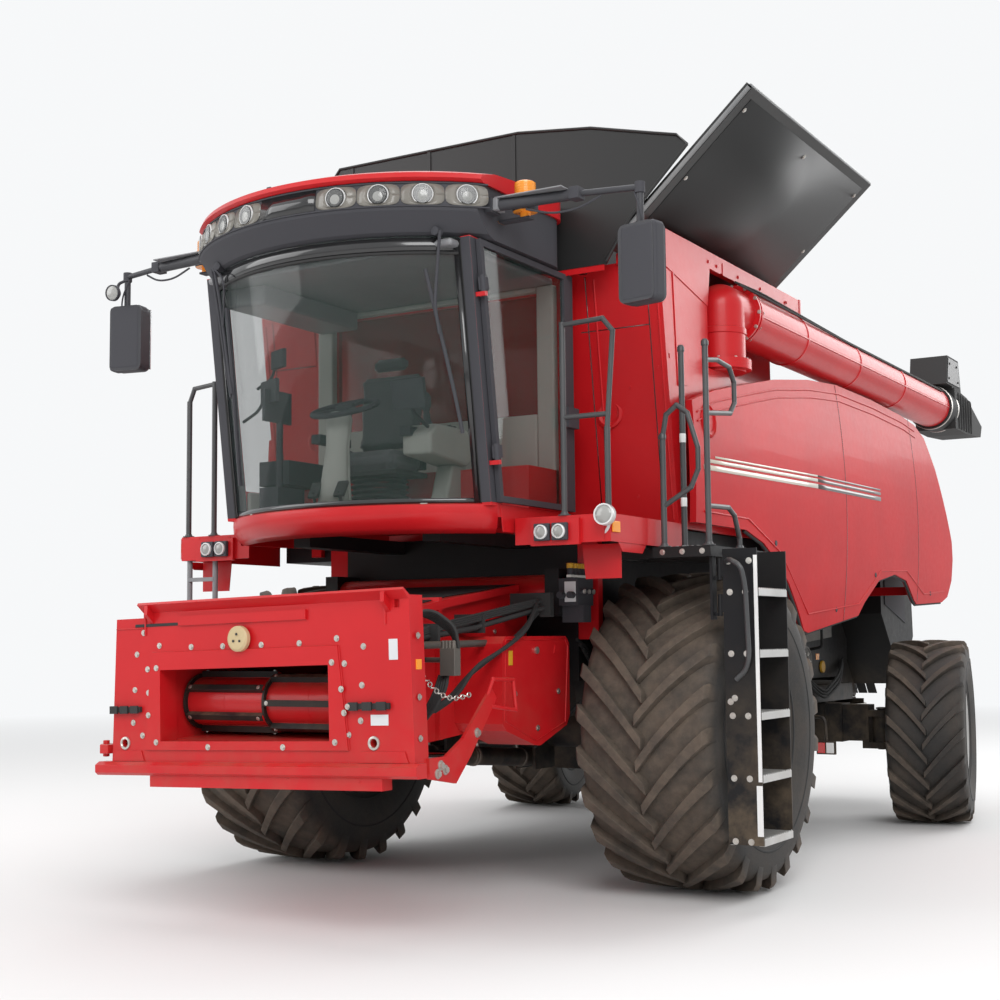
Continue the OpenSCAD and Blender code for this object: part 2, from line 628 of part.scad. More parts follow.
module roof_lamps() color(silver) at_row() lamp_places() translate([0, 0, seat]) cylinder(d = 100, h = 42);

// Orange beacons on brackets beside the roof
module beacons() color(amber) at_row() both() {
    translate([1144, -1585, 3925]) cylinder(d = 116, h = 65);
    translate([1144, -1585, 3829]) cylinder(d = 136, h = 97);
    translate([1144, -1585, 3799 - seat]) cylinder(d = 60, h = 31 + seat);
    slab(985 + seat, 1180, -1610, -1550, 3788, 3799 - seat);
}

// Walkways on both sides of the cab: folded trays with deep red edges
module walkways() color(red) at_row() {
    difference() {
        slab(cab_half_w + 20, walk_out, -1400, -424, walk_z - 150, walk_z);
        slab(cab_half_w + 10, walk_out - 8, -1392, -410, walk_z - 151, walk_z - 6);
    }
    for (y = [-1150, -930]) slab(cab_half_w + 20, walk_out - 7, y, y + 40, walk_z - 90, walk_z - 5);
    slab(1060, 1360, -1424, -1399, walk_z - 160, walk_z - 20);
    difference() {
        slab(-1500, -cab_half_w - 20, -1400, -424, walk_z - 150, walk_z);
        slab(-1492, -cab_half_w - 10, -1392, -410, walk_z - 151, walk_z - 6);
    }
    slab(-1360, -1060, -1424, -1399, walk_z - 160, walk_z - 20);
    for (s = [-1, 1]) {
        slab(s * 1150 - 40, s * 1150 + 40, -460, -420 - seat, walk_z - 100, deck_z - 8);
        slab(s * 1150 - 40, s * 1150 + 40, -460, -425, walk_z - 90, walk_z - 5);
    }
    for (s = [-1, 1]) slab(s * 930 - 68, s * 930 + 68, -499, -440, 1500, walk_z - 5);
}

// Landing at the head of the ladder, on two arms under the walkway
module platform_left() color(black) at_row() {
    slab(walk_out + seat, platform_out, -880, -60, platform_z - 60, platform_z);
    for (y = [-820, -400]) slab(1250, walk_out + 40, y, y + 50, platform_z - 59, platform_z - 1);
    slab(1250, 1300, -830, -440, platform_z - 58, walk_z - 6 - seat);
    slab(platform_out - 30, platform_out - 15, -830, -770, 1600, platform_z - 59);
    for (z = [1640, 1840]) {
        slab(platform_out - 16, ladder_hinge_x, ladder_y - 3, ladder_y + 13, z - 20, z - seat);
        translate([ladder_hinge_x, ladder_y + 5, z - 20]) cylinder(d = 26, h = 20 - seat);
    }
}

// Handrails of the landing and of the walkway's front
module handrails() color(black) at_row() {
    z0 = platform_z + seat;
    zf = walk_z + seat;
    bar_d = rail_d - 5;
    rod([1640, -660, z0], [1640, -660, 3170], rail_d);
    rod([1870, -850, z0], [1870, -850, 3150], rail_d);
    tube([[1870, -850, 3050], [1870, -680, 3075], [1870, -500, 3060], [1870, -430, 2980],
        [1870, -430, 2860],
          [1870, -500, 2790], [1870, -850, 2750]], bar_d);
    rod([1600, -850, z0], [1600, -850, 2640], rail_d);
    tube([[1600, -850, 2630], [1625, -850, 2760], [1690, -850, 2810], [1755, -850, 2760],
        [1815, -850, 2560],
          [1815, -850, 2440], [1770, -850, 2340], [1600, -850, 2240]], bar_d);
    tube([[1870, -850, 2230], [1870, -560, 2240], [1870, -470, 2200], [1870, -400, z0 + 60],
        [1870, -400, z0]], bar_d);
    rod([1250, -1380, zf], [1250, -1380, 3240], rail_d);
    rod([1518, -1380, zf], [1518, -1380, 2640], rail_d);
    tube([[1250, -1380, 3225], [1500, -1380, 3235], [1560, -1380, 3160], [1518, -1380, 2630]], bar_d);
    rod([1250, -1380, 2710], [1535, -1380, 2710], bar_d);
    rod([-1250, -1380, zf], [-1250, -1380, 3150], rail_d);
    rod([-1460, -1380, zf], [-1460, -1380, 3040], rail_d);
    tube([[-1250, -1380, 3135], [-1420, -1380, 3120], [-1460, -1380, 3030]], bar_d);
}

// Small hoop step under the right walkway
module right_steps() color(grey) at_row() {
    tube([[-1250, -1366, walk_z - 6 - seat], [-1250, -1366, 1740], [-1460, -1366, 1740],
          [-1460, -1366, walk_z - 6 - seat]], rail_d);
    slab(-1459, -1251, -1386, -1346, 1888, 1912);
}
// Steered rear axle beam on its centre pin
module rear_axle() color(black) at_row() {
    difference() {
        union() {
            slab(-kingpin_x + 300, kingpin_x - 300, wheelbase - 110, wheelbase + 110, rear_r - 100,
                rear_r + 215);
            slab(-kingpin_x + 85, kingpin_x - 85, wheelbase - 90, wheelbase + 90, rear_r - 90,
                rear_r + 205);
        }
        pin_y(0, wheelbase - 160, wheelbase + 160, rear_r + 150, 112);
        slab(-170, 170, wheelbase - 180, wheelbase - 114, rear_r + 50, rear_r + 300);
    }
    for (s = [-1, 1]) {
        slab(s * (kingpin_x - 112) - 27, s * (kingpin_x - 112) + 27, wheelbase - 90, wheelbase + 90,
             rear_r - 150, rear_r + 160);
        for (z = [rear_r - 150, rear_r + 110]) translate([s * kingpin_x, wheelbase, z]) difference() {
            union() {
                cylinder(d = 180, h = 50);
                slab(s > 0 ? -120 : 0, s > 0 ? 0 : 120, -90, 90, 0, 50);
            }
            translate([0, 0, -eps]) cylinder(d = 72, h = 52);
        }
    }
}

// Stub axle with its kingpin, hub and steering arm
module knuckle(s) at_row() translate([s * kingpin_x, wheelbase, rear_r]) rotate([0, 0, rear_steer]) {
    translate([0, 0, -160]) cylinder(d = 70, h = 330);
    translate([0, 0, -99]) cylinder(d = 150, h = 208);
    pin_x(min(0, s * (kingpin_offset - 20.5)), max(0, s * (kingpin_offset - 20.5)), 0, 0, 138);
    slab(-20, 20, 0, arm_len, -60, -20);
    translate([0, arm_len, -61]) cylinder(d = 90, h = 42);
}
module knuckle_left() color(black) knuckle(1);
module knuckle_right() color(black) knuckle(-1);

// Rod that keeps both knuckles parallel
module tie_rod() color(grey) at_row() {
    dx = -arm_len * sin(rear_steer);
    dy = arm_len * cos(rear_steer);
    pin_x(-kingpin_x + dx, kingpin_x + dx, wheelbase + dy, rear_r - 90, 46);
    for (s = [-1, 1]) translate([s * kingpin_x + dx, wheelbase + dy, rear_r - 119])
        cylinder(d = 80, h = 58 - seat);
}

// Fixed riser of the unloading auger, up to its turning flange
module auger_elbow() color(red) at_row() {
    translate([auger_cx, swing_y, bay_z + seat]) cylinder(r = auger_r - 20, h = 30);
    translate([auger_cx, swing_y, 3195]) cylinder(r = auger_r + 15, h = 33);
}

// Auger tube with its turning elbow and bolted flange
module auger_tube() color(red) at_row() {
    translate([auger_cx, swing_y, 3228 + seat]) cylinder(r = auger_r + 15, h = 30);
    translate([auger_cx, swing_y, 3250]) cylinder(r = auger_r - 20, h = auger_z - 3250);
    translate([auger_cx, swing_y, auger_z]) sphere(r = auger_r - 20);
    pin_y(auger_cx, swing_y, elbow_y, auger_z, 2 * auger_r - 40);
    for (y = [elbow_y - 20, elbow_y + 22]) pin_y(auger_cx, y, y + 20, auger_z, 2 * auger_r + 30);
    pin_y(auger_cx, elbow_y, elbow_y + auger_len, auger_z, 2 * auger_r);
}

// Rubber spout at the tube's end
module auger_spout() color(black) at_row() {
    y = elbow_y + auger_len;
    difference() {
        union() {
            pin_y(auger_cx, y - 80, y + 200, auger_z, 2 * auger_r + 40);
            side_prism([[y + 100, auger_z - 190], [y + 100, auger_z + 190], [y + 560, auger_z + 150],
                        [y + spout_len, auger_z - 60], [y + spout_len - 60, auger_z - 170],
                            [y + 500, auger_z - 200]],
                       auger_cx - 185, auger_cx + 185);
        }
        pin_y(auger_cx, y - 81, y + seat, auger_z, 2 * auger_r + 2 * seat);
    }
    side_prism([[y - 120, auger_z + 202], [y - 60, auger_z + 470], [y + 330, auger_z + 470],
        [y + 400, auger_z + 170],
                [y + 100, auger_z + 170], [y + 60, auger_z + 202]], auger_cx - 170, auger_cx + 170);
}

// One folding cover drawn upright about its hinge
module cover_leaf() {
    slab(-cover_t / 2, cover_t / 2, 0, cover_len, 14, cover_h);
    for (y = hinge_y) slab(-6, 6, y - 60, y + 60, 0, 20);
    slab(-cover_t / 2 - 14, cover_t / 2, 0, 60, 14, cover_h);
    slab(-cover_t / 2 - 14, cover_t / 2, cover_len - 60, cover_len, 14, cover_h);
    for (y = hinge_y) translate([0, y - 60, 0]) rotate([-90, 0, 0])
        cylinder(d = 30, h = 120);
}
module tank_cover_left() color(black) at_row() translate([cover_hinge_x, cover_y0, cover_hinge_z])
    rotate([0, cover_lean, 0]) cover_leaf();
module tank_cover_right() color(black) at_row() translate([-cover_hinge_x, cover_y0, cover_hinge_z])
    rotate([0, 90, 0]) mirror([1, 0, 0]) cover_leaf();

// Feeder house: a box with an open mouth, hinged under the cab, with ribs, a side cover and the rocking pivot
module feeder_house() color(red) at_row() {
    y_face = -feeder_front + face_depth + 5;
    side0 = feeder_x - 640;
    side1 = feeder_x + 640;
    difference() {
        union() {
            side_prism([[lift_y + 20, lift_z + 60], [-640, 1330], [-1300, 980], [y_face, 900],
                [y_face, 1600],
                        [-1500, 1740]], side0, side1);
            pin_x(-800, 800, lift_y, lift_z, 220);
            side_prism([[y_face, 880], [y_face, 1610], [y_face + 40, 1610], [y_face + 40, 880]],
                side0 - 60, side1 + 60);
            for (y = [-2000, -1640]) side_prism([[y, 925 + (y + 2000) * 0.1],
                [y + 30, 925 + (y + 2000) * 0.1],
                [y + 30, 1620 + (y + 2375) * 0.16], [y, 1620 + (y + 2375) * 0.16]], side0 - 30, side1 + 30);
            for (x = [side0 - 30, side1 - 1]) side_prism([[y_face + 20, 1560], [-1500, 1690], [-760, 1790],
                [-760, 1830], [-1500, 1738], [y_face + 20, 1600]], x, x + 31);
        }
        side_prism([[-760, lift_z - 10], [-740, 1430], [-1330, 1070], [y_face - eps, 980],
                    [y_face - eps, 1400], [-1500, 1650]], feeder_x - mouth_w / 2, feeder_x + mouth_w / 2);
        pin_x(feeder_x - 700, feeder_x + 700, drum_y, drum_z, 62);
    }
    pin_y(feeder_x, -feeder_front - 24, y_face + 10, tilt_z, 110);
    pin_y(feeder_x, -feeder_front - 36, -feeder_front - 14, tilt_z, 130);
    both() for (x = [-65, 40]) difference() {
        side_prism([[rod_eye[1] - 70, 990], [rod_eye[1] - 50, rod_eye[2] - 45],
            [rod_eye[1] + 50, rod_eye[2] - 45],
                    [rod_eye[1] + 120, 1000]], rod_x + x, rod_x + x + 25);
        pin_x(rod_x - 80, rod_x + 80, rod_eye[1], rod_eye[2], 52);
    }
    side_prism([[-1440, 1040], [-1400, 1000], [-1080, 905], [-1020, 900], [-700, 1000], [-660, 1060],
        [-660, 1480],
                [-700, 1520], [-1400, 1520], [-1440, 1480]], side1 - 1, 880);
}
// Frame that carries a header: face plate, side and cross beams, hook rail and lower lip.
// It rocks sideways on a round pivot above the mouth and stands a little aslant.
module rocked() translate([feeder_x, 0, tilt_z]) rotate([0, -frame_roll, 0])
    translate([-feeder_x, 0, -tilt_z])
    children();

module header_frame() color(red) at_row() rocked() {
    yf = -feeder_front;
    y1 = yf + face_depth;
    w = face_w / 2;
    m0 = feeder_x - mouth_w / 2;
    m1 = feeder_x + mouth_w / 2;
    lo = mouth_z - mouth_h / 2;
    hi = mouth_z + mouth_h / 2;
    difference() {
        union() {
            front_prism([[-w - 30, face_bottom], [w + 30, face_bottom], [w + 15, face_top],
                [-w + 210, face_top],
                         [-w + 210, face_top - 45], [-w + 10, face_top - 45]], yf, yf + 14);
            slab(m0 - 60, m1 + 60, yf, y1, lo - 50, hi + 50);
            slab(-w - 26, w + 26, yf, y1, face_bottom, face_bottom + 70);
            slab(-w + 210, w + 15, yf, y1, face_top - 80, face_top - 14);
            front_prism([[-w - 30, face_bottom], [-w - 14, face_bottom], [-w + 26, face_top - 45],
                         [-w + 10, face_top - 45]], yf, y1);
            front_prism([[w + 14, face_bottom], [w + 30, face_bottom], [w + 15, face_top],
                [w - 1, face_top]], yf, y1);
            for (x = [m0 - 180, m1 + 160]) slab(x, x + 20, yf, y1, face_bottom + 60, face_top - 70);
            pin_y(feeder_x, yf, y1, tilt_z, 210);
            front_prism([[m0 - 115, lo - 45], [m1 + 115, lo - 45], [m1 + 60, hi + 95],
                [m0 - 60, hi + 95]], yf - 12, yf + 1);
            slab(feeder_x - 430, feeder_x + 430, yf - 14, yf + 1, face_top - 95, face_top - 45);
            for (s = [-1, 1]) pin_y(feeder_x + s * 830, yf, y1, face_bottom + 110, 110);
        }
        slab(m0, m1, yf - 20, y1 + eps, lo, hi);
        for (s = [-1, 1]) pin_y(feeder_x + s * 830, yf - eps, y1 + eps, face_bottom + 110, latch_r * 2);
        pin_y(feeder_x, yf - 20, y1 + eps, tilt_z, 110 + 2 * seat);
        slab(w - 70, w - 40, yf - eps, yf + 20, face_top - 60, face_top - 10);
    }
    side_prism([[yf + 1, face_top - 20], [yf - 52, face_top + 24], [yf - 44, face_top + 36],
        [yf + 14, face_top - 2]],
               -w + 210, w + 15);
    for (x = [-w + 260, w - 120]) side_prism([[yf + 1, face_top - 20], [yf - 48, face_top + 22],
        [yf - 52, face_top - 30],
        [yf + 1, face_top - 80]], x, x + 24);
    side_prism([[yf - lip, face_bottom - 45], [yf - lip, face_bottom - 5], [yf - 20, face_bottom + 12],
                [yf + 40, face_bottom + 12], [yf + 40, face_bottom - 60], [yf - 30, face_bottom - 60]],
                    -1080, 1040);
    slab(-700, 820, yf - 25, yf + 60, 750, face_bottom - 59);
    side_prism([[-2400, 800], [-2160, 760], [-2010, 890], [-1740, 1170], [-1790, 1225], [-2080, 980],
        [-2250, 900],
                [-2400, 900]], w + 28, w + 46);
    tube([[w + 37, -1820, 1190], [w + 60, -1800, 1270], [w + 60, -1590, 1260], [w + 60, -1570, 1100],
          [w + 37, -1800, 1130]], 22);
}

// Feed drum in two halves whose slats are set half a step apart
module feeder_drum() color(red) at_row() {
    m0 = feeder_x - mouth_w / 2;
    m1 = feeder_x + mouth_w / 2;
    pin_x(m0 + 10, m1 - 10, drum_y, drum_z, 260);
    for (x = [m0 + 10, feeder_x - 6, m1 - 22]) pin_x(x, x + 12, drum_y, drum_z, 300);
    for (h = [0, 1], i = [0 : 5]) translate([0, drum_y, drum_z]) rotate([i * 60 + h * 30, 0, 0])
        slab(h == 0 ? m0 + 21 : feeder_x + 5, h == 0 ? feeder_x - 5 : m1 - 21, -14, 14, 120, 163);
    pin_x(m0 - 30, m1 + 30, drum_y, drum_z, 60);
}
// Lift cylinders: barrels on the axle, rods to the feeder
module lift_barrels() color(black) at_row() both() translate(barrel_foot) rotate([-cyl_a, 0, 0])
    difference() {
    union() {
        pin_x(-58, 58, 0, 0, 100);
        pin_y(0, -barrel_len, -30, 0, 110);
        pin_x(-79, 79, 0, 0, 45.4);
    }
    pin_y(0, -barrel_len - eps, -90, 0, 72);
}
module lift_rods() color(silver) at_row() both() translate(rod_eye) rotate([-cyl_a, 0, 0]) {
    pin_x(-38, 38, 0, 0, 90);
    pin_y(0, 30, cyl_l - 360, 0, 60);
    pin_y(0, cyl_l - 430, cyl_l - 360, 0, 71);
    pin_x(-68, 68, 0, 0, 36);
}

// Access ladder beside the left front wheel
module ladder() color(black) at_row() {
    y1 = ladder_y + plate_t;
    slab(ladder_x0, ladder_x0 + step_d, ladder_y, y1, 380, 1990);
    slab(ladder_x0, ladder_x0 + step_d, y1 + step_w, y1 + step_w + plate_t, 380, 1990);
    for (i = [0 : step_n - 1])
        slab(ladder_x0, ladder_x0 + step_d, y1 - eps, y1 + step_w + eps, 410 + i * 338 - 30, 410 + i * 338);
    for (z = [1640, 1840]) {
        translate([ladder_hinge_x, ladder_y + 5, z]) cylinder(d = 26, h = 100);
        slab(ladder_hinge_x, ladder_x0 + eps, ladder_y, y1, z, z + 100);
    }
}

// Hydraulic valve block outside the feeder's left hinge bracket, with valve spools and fittings
module hydraulics() color(black) at_row() {
    slab(860 + seat, 985, -740, -540, 1700, 1860);
    for (y = [-715, -665, -615, -565]) translate([925, y, 1859]) cylinder(d = 38, h = 90);
    for (y = [-700, -640, -580]) pin_x(984, 1006, y, 1780, 34);
    for (x = [890, 955]) pin_y(x, -790, -739, 1760, 40);
    slab(860 + seat, 1000, -700, -600, 1600, 1701);
}

// Hose bundle clamped along the feeder's left side, from the header coupler to the hinge
module feeder_hoses() color(black) at_row() {
    for (k = [[0, 0, 34], [40, 6, 30], [18, 46, 28]]) {
        a = [640 + k[0], -2270, 1419];
        b = [650 + k[0], -2040, 1500 + k[1]];
        c = [690 + k[0], -1480, 1562 + k[1]];
        d = [850 + k[0], -956, 1680 + k[1]];
        rod([a[0], a[1], 1400], a, k[2]);
        rod(a, b, k[2] - 2);
        rod(b, c, k[2]);
        rod(c, d, k[2] - 2);
        for (q = [a, b, c]) translate(q) sphere(d = k[2] + 4);
    }
    slab(630 + seat, 730, -2330, -2210, 1250, 1405);
    for (p = [[-1900, 1485], [-1440, 1540]])
        slab(570 + seat, 760, p[0], p[0] + 24, p[1], p[1] + 105);
    slab(660, 930, -972, -940, 1640, 1770);
    slab(570 + seat, 661, -972, -940, 1640, 1680);
}

// Towing jaw under the rear axle saddle
module rear_hitch() color(black) at_row() difference() {
    slab(-60, 60, cross_y, hitch_y + 80, beam_z - 160, beam_z - seat);
    slab(-70, 70, hitch_y - 120, hitch_y + 110, beam_z - 115, beam_z - 45);
    translate([0, hitch_y, 740]) cylinder(d = 40, h = 280);
}

chassis_frame();
separator_body();
grain_tank();
tank_front_shield();
tank_rear_shield();
side_shield_left();
side_shield_right();
side_drives();
engine_block();
engine_deck();
straw_hood();
cab_shell();
cab_roof();
roof_visor();
windscreen();
cab_windows();
driver_seat();
steering_console();
mirrors();
roof_lamps();
beacons();
walkways();
platform_left();
handrails();
right_steps();
rear_axle();
auger_elbow();
hydraulics();
rear_hitch();
cab_door();
door_glass();
ladder();
tank_cover_left();
tank_cover_right();
auger_tube();
auger_spout();
feeder_house();
header_frame();
feeder_drum();
feeder_hoses();
lift_barrels();
lift_rods();
knuckle_left();
knuckle_right();
tie_rod();
front_tyre_left();
front_tyre_right();
front_rim_left();
front_rim_right();
rear_tyre_left();
rear_tyre_right();
rear_rim_left();
rear_rim_right();
spreader_left();
spreader_right();
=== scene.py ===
"""Looks of a large combine harvester, parked without its header.

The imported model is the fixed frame. Each sub-assembly of the machine is a class that builds the
detail which the solids leave out, and dresses the carried solids in procedural finishes.
Lengths are metres. Machine places count Y from the front axle, with the nose towards -Y.
"""

import json
import logging
import math
from dataclasses import dataclass, field
from enum import Enum
from typing import Iterable, Iterator, Sequence

import bmesh
import bpy
from mathutils import Matrix, Vector

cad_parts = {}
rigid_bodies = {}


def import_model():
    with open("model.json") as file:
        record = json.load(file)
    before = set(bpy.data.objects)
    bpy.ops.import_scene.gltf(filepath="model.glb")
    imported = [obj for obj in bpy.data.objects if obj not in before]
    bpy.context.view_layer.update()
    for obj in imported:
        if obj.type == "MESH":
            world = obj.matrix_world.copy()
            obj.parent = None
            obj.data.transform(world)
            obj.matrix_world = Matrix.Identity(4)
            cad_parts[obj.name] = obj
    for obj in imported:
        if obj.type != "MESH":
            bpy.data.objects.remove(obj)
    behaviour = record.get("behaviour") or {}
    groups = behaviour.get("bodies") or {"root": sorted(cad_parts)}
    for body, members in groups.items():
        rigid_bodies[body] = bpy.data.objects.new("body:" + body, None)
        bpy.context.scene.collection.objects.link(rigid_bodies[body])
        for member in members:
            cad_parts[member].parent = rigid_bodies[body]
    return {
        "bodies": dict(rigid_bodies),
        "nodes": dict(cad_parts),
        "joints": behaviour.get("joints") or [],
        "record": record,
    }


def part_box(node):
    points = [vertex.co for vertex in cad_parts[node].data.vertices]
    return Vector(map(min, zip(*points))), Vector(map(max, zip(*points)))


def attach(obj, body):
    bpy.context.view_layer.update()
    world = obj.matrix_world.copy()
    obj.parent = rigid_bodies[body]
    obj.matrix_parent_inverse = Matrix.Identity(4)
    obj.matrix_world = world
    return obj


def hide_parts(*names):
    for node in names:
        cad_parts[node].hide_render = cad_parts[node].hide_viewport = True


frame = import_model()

LOG = logging.getLogger("harvester")
Point = tuple[float, float, float]
Colour = tuple[float, float, float]

# Measures that several assemblies share, in metres and degrees; a tyre has radius, width and bead radius.
WHEELBASE = 3.85
FRONT_TYRE = (0.95, 0.86, 0.42)
REAR_TYRE = (0.735, 0.62, 0.345)
FRONT_TRACK_X = 1.45
KINGPIN_X = 1.38
REAR_HUB = 0.4
REAR_TOE = 10.0
FRONT_BARS, REAR_BARS = 23, 20
CROWN_SHARE = 0.945
AXLE_Z = FRONT_TYRE[0]
FEEDER_PIVOT: Point = (-0.07, -2.5, 1.52)
DRUM_CENTRE: Point = (0.0, -2.18, 1.18)
COVER_LONG = 2.2
SPREADER: Point = (0.48, 5.15, 0.88)
BEACON: Point = (1.144, -1.585, 3.8285)
COAT_ROUGHNESS = 0.08
GRAIN_DEPTH = 0.002
SHARP_ANGLE = 34.0
BEVEL_ANGLE = 40.0
UP: Point = (0, 0, 1)
AHEAD: Point = (0, -1, 0)
BACK: Point = (0, 1, 0)
LEFT: Point = (1, 0, 0)


def front_axle_y() -> float:
    """Return the row Y of the front axle, taken from the two front tyres."""
    low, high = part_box("front_tyre_left")
    return (low[1] + high[1]) / 2


SHIFT = front_axle_y()


def row(point: Sequence[float]) -> Vector:
    """Turn a machine place into a row place.

    Args:
        point: X, Y and Z in metres, with Y counted from the front axle.

    Returns:
        The same place in the row's frame.
    """
    return Vector((point[0], point[1] + SHIFT, point[2]))


class Body(Enum):
    """Moving body of the machine that carries a piece."""

    CHASSIS = "chassis"
    FEEDER = "feeder"
    HEADER = "header"
    DRUM = "drum"
    BARRELS = "barrels"
    DOOR = "door"
    LADDER = "ladder"
    COVER_LEFT = "cover_left"
    COVER_RIGHT = "cover_right"
    AUGER = "auger"
    KNUCKLE_LEFT = "knuckle_left"
    KNUCKLE_RIGHT = "knuckle_right"
    WHEEL_FRONT_LEFT = "wheel_front_left"
    WHEEL_FRONT_RIGHT = "wheel_front_right"
    WHEEL_REAR_LEFT = "wheel_rear_left"
    WHEEL_REAR_RIGHT = "wheel_rear_right"
    SPREADER_LEFT = "spreader_left"
    SPREADER_RIGHT = "spreader_right"


class Graph:
    """Small helper that adds and links shader nodes."""

    def __init__(self, name: str) -> None:
        """Start an empty material with an output node.

        Args:
            name: Name of the material.
        """
        self.material = bpy.data.materials.new(name)
        self.material.use_nodes = True
        self.tree = self.material.node_tree
        self.tree.nodes.clear()
        self.out = self.tree.nodes.new("ShaderNodeOutputMaterial")

    def node(self, kind: str, **settings: object) -> bpy.types.Node:
        """Add a node and set its plain properties or input values.

        Args:
            kind: Type name of the node without its ShaderNode prefix.
            settings: Properties by name; a name starting with in_ sets an input socket.

        Returns:
            The new node.
        """
        made = self.tree.nodes.new("ShaderNode" + kind)
        for key, value in settings.items():
            if key.startswith("in_"):
                made.inputs[key[3:].replace("_", " ")].default_value = value
            else:
                setattr(made, key, value)
        return made

    def link(self, source: bpy.types.NodeSocket, target: bpy.types.NodeSocket) -> None:
        """Join two sockets.

        Args:
            source: Output socket.
            target: Input socket.
        """
        self.tree.links.new(source, target)

    def coords(self) -> bpy.types.NodeSocket:
        """Return object coordinates, which lie in the row's frame."""
        return self.node("TexCoord").outputs["Object"]

    def noise(self, scale: float, detail: float = 3.0, rough: float = 0.55) -> bpy.types.NodeSocket:
        """Add a noise texture over the object.

        Args:
            scale: Scale of the noise, in cells per metre.
            detail: Number of octaves.
            rough: Roughness of the octaves.

        Returns:
            The noise's value socket.
        """
        noise = self.node("TexNoise", in_Scale=scale, in_Detail=detail, in_Roughness=rough)
        self.link(self.coords(), noise.inputs["Vector"])
        return noise.outputs["Fac"]

    def ramp(self, source: bpy.types.NodeSocket, low: float, high: float) -> bpy.types.NodeSocket:
        """Stretch a value so that low becomes 0 and high becomes 1.

        Args:
            source: Socket to stretch.
            low: Value that becomes 0.
            high: Value that becomes 1.

        Returns:
            The stretched value.
        """
        made = self.node("MapRange", clamp=True)
        made.inputs["From Min"].default_value = low
        made.inputs["From Max"].default_value = high
        self.link(source, made.inputs["Value"])
        return made.outputs["Result"]

    def math(self, operation: str, first: object, second: object = 0.0) -> bpy.types.NodeSocket:
        """Combine two values.

        Args:
            operation: Name of the operation, such as MULTIPLY.
            first: Socket or number.
            second: Socket or number.

        Returns:
            The result's socket.
        """
        made = self.node("Math", operation=operation)
        for slot, value in zip(made.inputs, (first, second)):
            if isinstance(value, (int, float)):
                slot.default_value = value
            else:
                self.link(value, slot)
        return made.outputs[0]

    def mix(self, factor: object, first: object, second: object) -> bpy.types.NodeSocket:
        """Blend two colours.

        Args:
            factor: Socket or number from 0 to 1.
            first: Colour or socket at 0.
            second: Colour or socket at 1.

        Returns:
            The blended colour's socket.
        """
        made = self.node("Mix", data_type="RGBA")
        for slot, value in zip((made.inputs[0], made.inputs[6], made.inputs[7]), (factor, first, second)):
            if isinstance(value, (int, float)):
                slot.default_value = value
            elif isinstance(value, tuple):
                slot.default_value = (*value[:3], 1.0)
            else:
                self.link(value, slot)
        return made.outputs[2]

    def up_facing(self) -> bpy.types.NodeSocket:
        """Return how far the surface faces up, from -1 to 1."""
        return self.upright(self.node("NewGeometry").outputs["Normal"])

    def height(self) -> bpy.types.NodeSocket:
        """Return the height of the point above the ground."""
        return self.upright(self.coords())

    def upright(self, source: bpy.types.NodeSocket) -> bpy.types.NodeSocket:
        """Take the upward part of a vector.

        Args:
            source: Vector socket.

        Returns:
            The Z socket.
        """
        split = self.node("SeparateXYZ")
        self.link(source, split.inputs[0])
        return split.outputs["Z"]

    def bump(self, value: bpy.types.NodeSocket, strength: float, distance: float) -> bpy.types.NodeSocket:
        """Turn a value into a surface normal.

        Args:
            value: Height socket.
            strength: Strength of the bump.
            distance: Depth of the bump in metres.

        Returns:
            The normal socket.
        """
        made = self.node("Bump", in_Strength=strength, in_Distance=distance)
        self.link(value, made.inputs["Height"])
        return made.outputs["Normal"]


@dataclass(frozen=True)
class Surface:
    """Procedural surface, made at its first use and shared by every piece that has it."""

    name: str
    slot: str

    def build(self) -> bpy.types.Material:
        """Return the surface's material.

        Returns:
            The procedural material.
        """
        found = bpy.data.materials.get(self.name)
        if found is not None:
            return found
        graph = Graph(self.name)
        shader = graph.node("BsdfPrincipled")
        self.paint(graph, shader)
        graph.link(shader.outputs["BSDF"], graph.out.inputs["Surface"])
        return graph.material

    def paint(self, graph: Graph, shader: bpy.types.Node) -> None:
        """Set the shader's inputs.

        Args:
            graph: Graph of the material.
            shader: Its principled shader.
        """
        raise NotImplementedError


